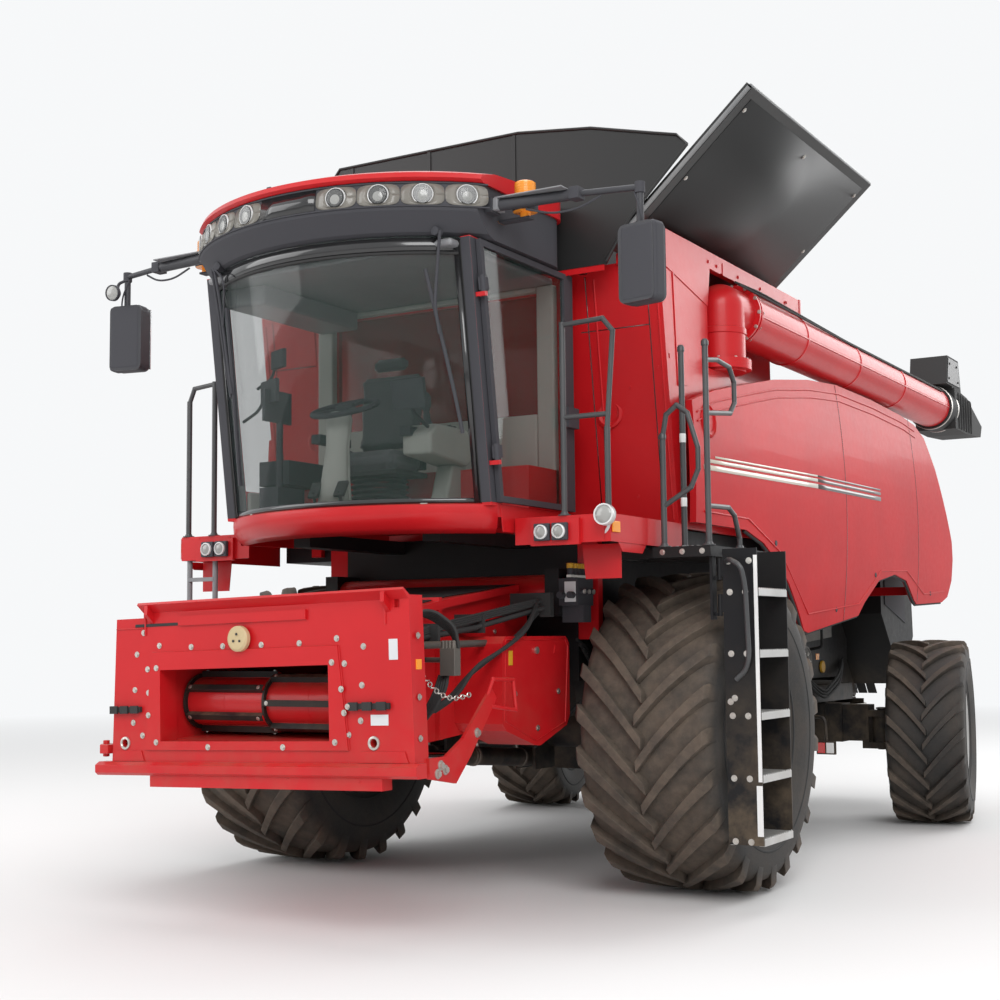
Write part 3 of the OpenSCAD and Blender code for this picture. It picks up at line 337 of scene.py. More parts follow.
@dataclass(frozen=True)
class Finish(Surface):
    """Surface of the machine, with its own colour, gloss, grain and dust."""

    colour: Colour
    shade: Colour
    roughness: float = 0.4
    spread: float = 0.1
    metallic: float = 0.0
    coat: float = 0.0
    grain: float = 0.0
    grain_scale: float = 120.0
    dust: float = 0.0
    dust_colour: Colour = (0.23, 0.17, 0.11)
    dust_reach: float = 1.4
    alpha: float = 1.0
    specular: float = 0.5

    def paint(self, graph: Graph, shader: bpy.types.Node) -> None:
        """Blend two shades, vary the gloss, and settle dust low down and on upper faces.

        Args:
            graph: Graph of the material.
            shader: Its principled shader.
        """
        shader.inputs["Metallic"].default_value = self.metallic
        shader.inputs["Coat Weight"].default_value = self.coat
        shader.inputs["Coat Roughness"].default_value = COAT_ROUGHNESS
        shader.inputs["Alpha"].default_value = self.alpha
        shader.inputs["Specular IOR Level"].default_value = self.specular
        cloud = graph.noise(1.7, 4.0)
        fine = graph.noise(23.0, 3.0)
        colour = graph.mix(graph.ramp(cloud, 0.3, 0.7), self.colour, self.shade)
        rough = graph.math("ADD", self.roughness - self.spread / 2, graph.math("MULTIPLY", fine, self.spread))
        if self.dust:
            low = graph.ramp(graph.height(), self.dust_reach, 0.0)
            top = graph.ramp(graph.up_facing(), 0.35, 0.95)
            patchy = graph.ramp(graph.noise(5.0, 6.0, 0.65), 0.38, 0.68)
            cover = graph.math("MULTIPLY", graph.math("MAXIMUM", low, top), patchy)
            cover = graph.math("MINIMUM", graph.math("MULTIPLY", cover, self.dust), 0.92)
            colour = graph.mix(cover, colour, self.dust_colour)
            rough = graph.math("MAXIMUM", rough, graph.math("MULTIPLY", cover, 0.9))
        graph.link(colour, shader.inputs["Base Color"])
        graph.link(rough, shader.inputs["Roughness"])
        if self.grain:
            graph.link(graph.bump(graph.noise(self.grain_scale, 2.0), self.grain, GRAIN_DEPTH),
                       shader.inputs["Normal"])


RED = Finish("harvester_red", "red_panel", (0.58, 0.012, 0.016), (0.5, 0.009, 0.013), 0.34, 0.14, coat=0.12, dust=0.4,
             specular=0.3)
SHIELD = Finish("shield_red", "red_panel", (0.56, 0.01, 0.014), (0.47, 0.008, 0.012), 0.36, 0.14, coat=0.07, dust=0.4,
                specular=0.07)
BLACK = Finish("frame_black", "black_steel", (0.01, 0.01, 0.012), (0.02, 0.019, 0.018), 0.45, 0.2, grain=0.15,
               dust=0.7, specular=0.2)
COVER = Finish("cover_black", "cover_black", (0.008, 0.005, 0.006), (0.017, 0.012, 0.012), 0.55, 0.25, dust=0.3,
               dust_reach=0.1, specular=0.07)
EDGE = Finish("cover_edge_grey", "cover_black", (0.16, 0.165, 0.17), (0.24, 0.24, 0.24), 0.45, 0.15)
PLASTIC = Finish("dark_plastic", "dark_plastic", (0.01, 0.01, 0.012), (0.02, 0.02, 0.022), 0.46, 0.1, grain=0.05,
                 grain_scale=400, specular=0.15)
MIRROR_GREY = Finish("mirror_grey", "dark_plastic", (0.035, 0.036, 0.042), (0.05, 0.05, 0.056), 0.5, 0.1, grain=0.08,
                     grain_scale=400, specular=0.35)
GLOSS = Finish("gloss_black", "dark_plastic", (0.012, 0.012, 0.013), (0.02, 0.02, 0.021), 0.14, 0.06, coat=0.5)
RAIL = Finish("rail_black", "black_steel", (0.045, 0.047, 0.05), (0.07, 0.07, 0.072), 0.38, 0.15, dust=0.25)
GREY = Finish("bracket_grey", "grey_metal", (0.17, 0.175, 0.185), (0.24, 0.24, 0.25), 0.4, 0.15, dust=0.3)
STEP = Finish("step_alloy", "bright_steel", (0.62, 0.62, 0.61), (0.48, 0.48, 0.47), 0.42, 0.2, 0.7,
              grain=0.2, dust=0.3)
STEEL = Finish("zinc_steel", "bright_steel", (0.62, 0.6, 0.56), (0.46, 0.43, 0.4), 0.34, 0.2, 0.85, dust=0.3)
RIM = Finish("rim_silver", "silver_paint", (0.5, 0.5, 0.49), (0.4, 0.4, 0.39), 0.4, 0.15, 0.5, dust=0.5)
CHROME = Finish("rod_chrome", "chrome", (0.85, 0.85, 0.85), (0.8, 0.8, 0.8), 0.08, 0.06, 1.0)
SILVER = Finish("lamp_silver", "lamp_silver", (0.72, 0.73, 0.74), (0.6, 0.61, 0.62), 0.2, 0.1, 0.7)
LENS = Finish("lamp_lens", "lamp_silver", (0.5, 0.51, 0.5), (0.42, 0.43, 0.42), 0.06, 0.04, coat=0.6, alpha=0.2)
BULB = Finish("lamp_bulb", "lamp_silver", (0.42, 0.42, 0.4), (0.26, 0.26, 0.25), 0.16, 0.08, coat=0.5)
PANEL = Finish("lamp_panel", "lamp_silver", (0.17, 0.16, 0.14), (0.24, 0.225, 0.2), 0.24, 0.1, coat=0.3, specular=0.3)
AMBER = Finish("amber_lens", "amber_lens", (0.95, 0.28, 0.015), (0.85, 0.22, 0.01), 0.16, 0.08, coat=0.8)
RED_LENS = Finish("red_lens", "red_panel", (0.6, 0.01, 0.008), (0.5, 0.008, 0.008), 0.14, 0.06, coat=0.8)
RUBBER = Finish("soft_black", "soft_black", (0.02, 0.02, 0.02), (0.035, 0.033, 0.03), 0.7, 0.15,
                grain=0.25, dust=0.35)
CREAM = Finish("pivot_cream", "grey_metal", (0.62, 0.5, 0.3), (0.5, 0.38, 0.2), 0.45, 0.2, grain=0.15, dust=0.2)
PLATE = Finish("blank_plate", "bright_steel", (0.72, 0.73, 0.74), (0.64, 0.65, 0.67), 0.4, 0.1)
BAND = Finish("reflective_white", "silver_paint", (0.85, 0.85, 0.84), (0.75, 0.75, 0.74), 0.3, 0.1, grain=0.3,
              grain_scale=260)
STRIPE = Finish("stripe_cream", "silver_paint", (0.72, 0.66, 0.56), (0.62, 0.56, 0.47), 0.3, 0.1, coat=0.4)
STRIPE_DARK = Finish("stripe_dark", "black_steel", (0.06, 0.045, 0.045), (0.09, 0.07, 0.065), 0.3, 0.1, coat=0.4)
YELLOW = Finish("fitting_yellow", "amber_lens", (0.75, 0.42, 0.02), (0.6, 0.32, 0.02), 0.4, 0.15)
TRIM = Finish("cab_trim_grey", "dark_plastic", (0.42, 0.43, 0.39), (0.35, 0.36, 0.33), 0.7, 0.15, grain=0.3,
              grain_scale=300)
BELT = Finish("belt_rubber", "soft_black", (0.03, 0.03, 0.03), (0.06, 0.055, 0.05), 0.6, 0.2, grain=0.3, dust=0.5)
CAST = Finish("cast_iron", "grey_metal", (0.09, 0.088, 0.085), (0.16, 0.14, 0.12), 0.55, 0.25, 0.5,
              grain=0.3, dust=0.6)


class Workpiece:
    """Mesh under construction, in machine places, that becomes one piece of the machine."""

    def __init__(self) -> None:
        """Start an empty mesh."""
        self.mesh = bmesh.new()

    def _face(self, corners: Sequence[bmesh.types.BMVert]) -> None:
        """Add a face unless it is there already.

        Args:
            corners: Vertices round the face.
        """
        try:
            self.mesh.faces.new(corners)
        except ValueError:
            LOG.debug("face left out")

    def prism(self, outline: Sequence[Point], along: Point) -> "Workpiece":
        """Extrude a flat outline.

        Args:
            outline: Places round the outline.
            along: Direction and length of the extrusion.

        Returns:
            This workpiece.
        """
        low = [self.mesh.verts.new(p) for p in outline]
        high = [self.mesh.verts.new(Vector(p) + Vector(along)) for p in outline]
        self._face(low[::-1])
        self._face(high)
        for i in range(len(low)):
            j = (i + 1) % len(low)
            self._face((low[i], low[j], high[j], high[i]))
        return self

    def plate(self, faces: str, level: float, thick: float, outline: Sequence[tuple[float, float]]) -> "Workpiece":
        """Extrude an outline that lies flat against one axis.

        Args:
            faces: Axis that the plate faces.
            level: Place along that axis.
            thick: Thickness, below zero to go against the axis.
            outline: The other two coordinates of each place, in the order X, Y, Z.

        Returns:
            This workpiece.
        """
        axis = "XYZ".index(faces)
        along = tuple(thick if k == axis else 0 for k in range(3))
        return self.prism([(*pair[:axis], level, *pair[axis:]) for pair in outline], along)

    def block(self, low: Point, high: Point, turn: float = 0.0, axis: str = "Z") -> "Workpiece":
        """Add a box between two corners, turned about its middle.

        Args:
            low: Lowest corner.
            high: Highest corner.
            turn: Turn in degrees.
            axis: Axis of the turn.

        Returns:
            This workpiece.
        """
        a, b = Vector(low), Vector(high)
        centre, size = (a + b) / 2, b - a
        spin = Matrix.Rotation(math.radians(turn), 4, axis)
        place = Matrix.Translation(centre) @ spin @ Matrix.Diagonal((*size, 1.0))
        bmesh.ops.create_cube(self.mesh, size=1.0, matrix=place)
        return self

    def lathe(self, profile: Sequence[tuple[float, float]], base: Point, axis: Point, sides: int = 32) -> "Workpiece":
        """Turn a profile of radius and height about an axis, as a closed ring where neither end is on it.

        Args:
            profile: Pairs of radius and distance along the axis.
            base: Place where the distance is zero.
            axis: Direction of the axis.
            sides: Number of sides.

        Returns:
            This workpiece.
        """
        turn = Vector((0, 0, 1)).rotation_difference(Vector(axis).normalized()).to_matrix()
        rings = []
        for radius, height in profile:
            if radius < 1e-6:
                rings.append([self.mesh.verts.new(Vector(base) + turn @ Vector((0, 0, height)))])
                continue
            ring = []
            for k in range(sides):
                angle = 2 * math.pi * k / sides
                local = Vector((radius * math.cos(angle), radius * math.sin(angle), height))
                ring.append(self.mesh.verts.new(Vector(base) + turn @ local))
            rings.append(ring)
        for first, second in zip(rings, rings[1:]):
            for k in range(sides):
                j = (k + 1) % sides
                corners = [first[k % len(first)], first[j % len(first)], second[j % len(second)],
                           second[k % len(second)]]
                unique = list(dict.fromkeys(corners))
                if len(unique) > 2:
                    self._face(unique)
        if len(rings) > 2 and len(rings[0]) == len(rings[-1]) > 2:
            for k in range(sides):
                j = (k + 1) % sides
                self._face([rings[-1][k], rings[-1][j], rings[0][j], rings[0][k]])
            return self
        for ring, flip in ((rings[0], True), (rings[-1], False)):
            if len(ring) > 2:
                self._face(ring[::-1] if flip else ring)
        return self

    def tube(self, path: Sequence[Point], radius: float, sides: int = 12, bend: float = 0.0) -> "Workpiece":
        """Sweep a round section along a path.

        Args:
            path: Places on the centre line.
            radius: Radius of the section.
            sides: Number of sides.
            bend: Radius of the rounded corners, or 0 for sharp ones.

        Returns:
            This workpiece.
        """
        points = round_corners([Vector(p) for p in path], bend) if bend else [Vector(p) for p in path]
        side = None
        rings = []
        for i, point in enumerate(points):
            before = points[max(i - 1, 0)]
            after = points[min(i + 1, len(points) - 1)]
            tangent = (after - before).normalized()
            if side is None:
                side = tangent.orthogonal().normalized()
            side = (side - tangent * side.dot(tangent)).normalized()
            other = tangent.cross(side)
            ring = []
            for k in range(sides):
                angle = 2 * math.pi * k / sides
                spoke = math.cos(angle) * side + math.sin(angle) * other
                ring.append(self.mesh.verts.new(point + radius * spoke))
            rings.append(ring)
        for first, second in zip(rings, rings[1:]):
            for k in range(sides):
                j = (k + 1) % sides
                self._face((first[k], first[j], second[j], second[k]))
        self._face(rings[0][::-1])
        self._face(rings[-1])
        return self

    def skin(self, rows: Sequence[Sequence[Point]]) -> "Workpiece":
        """Join rows of places into one open sheet.

        Args:
            rows: Rows of places, each row as long as the others.

        Returns:
            This workpiece.
        """
        grid = [[self.mesh.verts.new(p) for p in line] for line in rows]
        for first, second in zip(grid, grid[1:]):
            for k in range(len(first) - 1):
                self._face((first[k], first[k + 1], second[k + 1], second[k]))
        return self

    def hoop(self, path: Sequence[Point], radius: float, sides: int = 8) -> "Workpiece":
        """Sweep a round section along a closed loop.

        Args:
            path: Places round the loop.
            radius: Radius of the section.
            sides: Number of sides.

        Returns:
            This workpiece.
        """
        points = [Vector(p) for p in path]
        middle = sum(points, Vector()) / len(points)
        rings = []
        for i, point in enumerate(points):
            tangent = (points[(i + 1) % len(points)] - points[i - 1]).normalized()
            out = point - middle
            out = (out - tangent * out.dot(tangent)).normalized()
            other = tangent.cross(out)
            rings.append([self.mesh.verts.new(point + radius * (math.cos(t) * out + math.sin(t) * other))
                          for t in (2 * math.pi * k / sides for k in range(sides))])
        for first, second in zip(rings, rings[1:] + rings[:1]):
            for k in range(sides):
                self._face((first[k], first[(k + 1) % sides], second[(k + 1) % sides], second[k]))
        return self

    def mirrored(self) -> "Workpiece":
        """Add a copy on the machine's other side.

        Returns:
            This workpiece.
        """
        copied = bmesh.ops.duplicate(self.mesh, geom=self.mesh.verts[:] + self.mesh.edges[:] + self.mesh.faces[:])
        fresh = [e for e in copied["geom"] if isinstance(e, bmesh.types.BMVert)]
        bmesh.ops.scale(self.mesh, verts=fresh, vec=(-1.0, 1.0, 1.0))
        bmesh.ops.reverse_faces(self.mesh, faces=[e for e in copied["geom"] if isinstance(e, bmesh.types.BMFace)])
        return self

    def turned(self, pivot: Point, axis: str, degrees: float) -> "Workpiece":
        """Turn the whole workpiece about a line.

        Args:
            pivot: Place on the line.
            axis: Axis the line runs along.
            degrees: Angle of the turn.

        Returns:
            This workpiece.
        """
        bmesh.ops.rotate(self.mesh, verts=self.mesh.verts, cent=pivot,
                         matrix=Matrix.Rotation(math.radians(degrees), 3, axis))
        return self

    def bolts(self, places: Iterable[Point], axis: Point, radius: float = 0.012, height: float = 0.01) -> "Workpiece":
        """Add hexagon heads on washers.

        Args:
            places: Places of the heads on the surface.
            axis: Direction in which the heads stand out.
            radius: Radius of a head.
            height: Height of a head.

        Returns:
            This workpiece.
        """
        for place in places:
            self.lathe([(radius * 1.5, 0.0), (radius * 1.5, height * 0.25)], place, axis, 12)
            self.lathe([(radius, height * 0.2), (radius, height)], place, axis, 6)
        return self

    def done(self, name: str, finish: Surface, bevel: float = 0.0, shell: float = 0.0,
             body: Body = Body.CHASSIS) -> bpy.types.Object:
        """Close the mesh and set the piece on its body.

        Args:
            name: Name of the piece.
            finish: Finish of its surface.
            bevel: Width of the rounded edges, in metres.
            shell: Thickness given to an open sheet, in metres.
            body: Body that carries it.

        Returns:
            The finished object.
        """
        bmesh.ops.translate(self.mesh, verts=self.mesh.verts, vec=(0.0, SHIFT, 0.0))
        bmesh.ops.recalc_face_normals(self.mesh, faces=self.mesh.faces)
        data = bpy.data.meshes.new(name)
        self.mesh.to_mesh(data)
        self.mesh.free()
        piece = bpy.data.objects.new(name, data)
        bpy.context.scene.collection.objects.link(piece)
        data.materials.append(finish.build())
        for polygon in data.polygons:
            polygon.use_smooth = True
        data.set_sharp_from_angle(angle=math.radians(SHARP_ANGLE))
        if shell:
            thick = piece.modifiers.new("shell", "SOLIDIFY")
            thick.thickness = shell
            thick.offset = 0.0
        if bevel:
            rounded = piece.modifiers.new("edges", "BEVEL")
            rounded.width = bevel
            rounded.segments = 2
            rounded.limit_method = "ANGLE"
            rounded.angle_limit = math.radians(BEVEL_ANGLE)
            rounded.harden_normals = True
        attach(piece, body.value)
        LOG.info("%s on %s", name, body.value)
        return piece


def round_corners(points: list[Vector], radius: float, steps: int = 6) -> list[Vector]:
    """Round the inner corners of a path.

    Args:
        points: Places on the path.
        radius: Radius of the corners.
        steps: Number of places on each corner.

    Returns:
        The rounded path.
    """
    path = [points[0]]
    for before, corner, after in zip(points, points[1:], points[2:]):
        first, second = before - corner, after - corner
        reach = min(radius, first.length * 0.45, second.length * 0.45)
        start, end = corner + first.normalized() * reach, corner + second.normalized() * reach
        for k in range(steps + 1):
            t = k / steps
            path.append(start * (1 - t) ** 2 + corner * 2 * t * (1 - t) + end * t ** 2)
    path.append(points[-1])
    return path


@dataclass(frozen=True)
class TyreFinish(Surface):
    """Tyre rubber: dark flanks, dusty tread and earth between the lugs."""

    axle_y: float
    radius: float

    def paint(self, graph: Graph, shader: bpy.types.Node) -> None:
        """Shade the rubber by its distance from the axle.

        Args:
            graph: Graph of the material.
            shader: Its principled shader.
        """
        split = graph.node("SeparateXYZ")
        graph.link(graph.coords(), split.inputs[0])
        along = graph.math("SUBTRACT", split.outputs["Y"], SHIFT + self.axle_y)
        up = graph.math("SUBTRACT", split.outputs["Z"], self.radius)
        reach = graph.math("SQRT", graph.math("ADD", graph.math("MULTIPLY", along, along),
                                              graph.math("MULTIPLY", up, up)))
        tread = graph.ramp(reach, self.radius * 0.86, self.radius * 0.95)
        patchy = graph.ramp(graph.noise(7.0, 6.0, 0.7), 0.32, 0.62)
        speck = graph.ramp(graph.noise(60.0, 4.0, 0.7), 0.3, 0.7)
        dust = graph.math("MULTIPLY", tread, graph.math("ADD", graph.math("MULTIPLY", patchy, 0.7), 0.25))
        flank = graph.math("MULTIPLY", graph.ramp(graph.noise(3.0, 5.0, 0.6), 0.4, 0.8), 0.4)
        cover = graph.math("MINIMUM", graph.math("ADD", dust, flank), 0.95)
        base = graph.mix(speck, (0.011, 0.0105, 0.01), (0.024, 0.022, 0.02))
        earth = graph.mix(graph.noise(18.0, 4.0), (0.075, 0.056, 0.042), (0.165, 0.128, 0.098))
        graph.link(graph.mix(cover, base, earth), shader.inputs["Base Color"])
        graph.link(graph.math("ADD", 0.62, graph.math("MULTIPLY", cover, 0.3)), shader.inputs["Roughness"])
        graph.link(graph.bump(graph.noise(90.0, 4.0, 0.7), 0.35, 0.003), shader.inputs["Normal"])


@dataclass(frozen=True)
class GlassFinish(Surface):
    """Tinted safety glass, seen through without bending the view."""

    tint: Colour = (0.012, 0.034, 0.026)
    haze: Colour = (0.035, 0.065, 0.055)
    cover: float = 0.22
    ior: float = 1.75

    def paint(self, graph: Graph, shader: bpy.types.Node) -> None:
        """Tint the glass and leave a faint smear on it.

        Args:
            graph: Graph of the material.
            shader: Its principled shader.
        """
        shader.inputs["Alpha"].default_value = self.cover
        shader.inputs["IOR"].default_value = self.ior
        smear = graph.ramp(graph.noise(2.2, 4.0, 0.6), 0.3, 0.8)
        graph.link(graph.mix(smear, self.tint, self.haze), shader.inputs["Base Color"])
        graph.link(graph.math("ADD", 0.015, graph.math("MULTIPLY", smear, 0.04)), shader.inputs["Roughness"])


@dataclass(frozen=True)
class WovenFinish(Surface):
    """Woven seat cloth with a faint cross weave."""

    threads: float = 60.0
    sheen: float = 0.3

    def paint(self, graph: Graph, shader: bpy.types.Node) -> None:
        """Cross two sets of threads, as colour and as relief.

        Args:
            graph: Graph of the material.
            shader: Its principled shader.
        """
        shader.inputs["Roughness"].default_value = 0.85
        shader.inputs["Sheen Weight"].default_value = self.sheen
        first = graph.node("TexWave", wave_type="BANDS", bands_direction="X", in_Scale=self.threads)
        second = graph.node("TexWave", wave_type="BANDS", bands_direction="Z", in_Scale=self.threads)
        for wave in (first, second):
            graph.link(graph.coords(), wave.inputs["Vector"])
        weave = graph.math("MULTIPLY", first.outputs["Fac"], second.outputs["Fac"])
        graph.link(graph.mix(weave, (0.05, 0.05, 0.055), (0.13, 0.13, 0.14)), shader.inputs["Base Color"])
        graph.link(graph.bump(weave, 0.4, GRAIN_DEPTH), shader.inputs["Normal"])


GLASS = GlassFinish("cab_tinted_glass", "cab_glass")
WEAVE = WovenFinish("seat_weave", "seat_fabric")
FRONT_RUBBER = TyreFinish("front_tyre_rubber", "tyre_rubber", 0.0, FRONT_TYRE[0])
REAR_RUBBER = TyreFinish("rear_tyre_rubber", "tyre_rubber", WHEELBASE, REAR_TYRE[0])


@dataclass
class Studio:
    """Camera, floor, backdrop light and lamps."""

    camera_place: Point = (5.187, -8.701, 1.493)
    yaw: float = 30.69
    pitch: float = 5.28
    roll: float = -0.59
    lens: float = 55.03
    white: tuple[float, float, float, float] = (0.93, 0.94, 0.95, 1.0)
    lamps: tuple[tuple[str, Point, float, float], ...] = (
        ("key", (9.0, -12.0, 11.0), 9.0, 1500.0), ("fill", (-11.0, -9.0, 8.0), 10.0, 700.0),
        ("top", (0.0, 3.0, 14.0), 12.0, 900.0), ("back", (6.0, 14.0, 9.0), 9.0, 700.0))

    def aim_camera(self) -> None:
        """Put the camera where the photograph was taken."""
        data = bpy.data.cameras.new("photo_camera")
        data.lens = self.lens
        data.sensor_width = 36.0
        data.clip_end = 200.0
        camera = bpy.data.objects.new("photo_camera", data)
        bpy.context.scene.collection.objects.link(camera)
        turn = (Matrix.Rotation(math.radians(self.yaw), 4, "Z")
                @ Matrix.Rotation(math.radians(90 + self.pitch), 4, "X")
                @ Matrix.Rotation(math.radians(self.roll), 4, "Z"))
        camera.matrix_world = Matrix.Translation(row(self.camera_place)) @ turn
        bpy.context.scene.camera = camera

    def lay_floor(self) -> None:
        """Lay a plain pale floor that shows as white past the shadow."""
        graph = Graph("studio_floor")
        shader = graph.node("BsdfPrincipled", in_Roughness=0.9)
        shader.inputs["Base Color"].default_value = (0.82, 0.82, 0.82, 1.0)
        glow = graph.node("Emission")
        glow.inputs["Color"].default_value = self.white
        rays, split, blend = graph.node("LightPath"), graph.node("SeparateXYZ"), graph.node("MixShader")
        graph.link(graph.coords(), split.inputs[0])
        flat = graph.math("ADD", graph.math("MULTIPLY", split.outputs["X"], split.outputs["X"]),
                          graph.math("MULTIPLY", split.outputs["Y"], split.outputs["Y"]))
        far = graph.ramp(graph.math("SQRT", flat), 6.0, 24.0)
        graph.link(graph.math("MULTIPLY", far, rays.outputs["Is Camera Ray"]), blend.inputs[0])
        graph.link(shader.outputs["BSDF"], blend.inputs[1])
        graph.link(glow.outputs[0], blend.inputs[2])
        graph.link(blend.outputs[0], graph.out.inputs["Surface"])
        work = bmesh.new()
        bmesh.ops.create_grid(work, x_segments=1, y_segments=1, size=60.0)
        data = bpy.data.meshes.new("studio_floor")
        work.to_mesh(data)
        work.free()
        data.materials.append(graph.material)
        floor = bpy.data.objects.new("studio_floor", data)
        floor.location.z = -0.001
        bpy.context.scene.collection.objects.link(floor)

    def light(self) -> None:
        """Set the pale surroundings and the soft lamps."""
        scene = bpy.context.scene
        scene.view_settings.view_transform = "Standard"
        world = bpy.data.worlds.new("studio")
        world.use_nodes = True
        scene.world = world
        tree = world.node_tree
        tree.nodes.clear()
        out = tree.nodes.new("ShaderNodeOutputWorld")
        soft, white = tree.nodes.new("ShaderNodeBackground"), tree.nodes.new("ShaderNodeBackground")
        soft.inputs["Color"].default_value = (1.0, 1.0, 1.0, 1.0)
        soft.inputs["Strength"].default_value = 0.55
        white.inputs["Color"].default_value = self.white
        white.inputs["Strength"].default_value = 1.0
        rays = tree.nodes.new("ShaderNodeLightPath")
        blend = tree.nodes.new("ShaderNodeMixShader")
        source = rays.outputs["Is Camera Ray"]
        for kind in ("Is Transmission Ray", "Is Glossy Ray"):
            seen = tree.nodes.new("ShaderNodeMath")
            seen.operation = "MAXIMUM"
            tree.links.new(source, seen.inputs[0])
            tree.links.new(rays.outputs[kind], seen.inputs[1])
            source = seen.outputs[0]
        tree.links.new(source, blend.inputs[0])
        tree.links.new(soft.outputs[0], blend.inputs[1])
        tree.links.new(white.outputs[0], blend.inputs[2])
        tree.links.new(blend.outputs[0], out.inputs["Surface"])
        for name, place, size, power in self.lamps:
            data = bpy.data.lights.new(name, "AREA")
            data.size = size
            data.energy = power
            lamp = bpy.data.objects.new(name, data)
            lamp.location = row(place)
            lamp.rotation_euler = (row((0, 1.5, 1.5)) - lamp.location).to_track_quat("-Z", "Y").to_euler()
            scene.collection.objects.link(lamp)


def circle(centre: Point, radius: float, count: int, faces: str = "X", start: float = 0.0) -> list[Point]:
    """Return evenly spaced places round a circle.

    Args:
        centre: Middle of the circle.
        radius: Radius of the circle.
        count: Number of places.
        faces: Axis that the circle faces.
        start: Angle of the first place, in degrees.

    Returns:
        The places.
    """
    places = []
    for k in range(count):
        a = math.radians(start + 360 / count * k)
        c, s = radius * math.cos(a), radius * math.sin(a)
        x, y, z = centre
        places.append({"X": (x, y + c, z + s), "Y": (x + c, y, z + s), "Z": (x + c, y + s, z)}[faces])
    return places


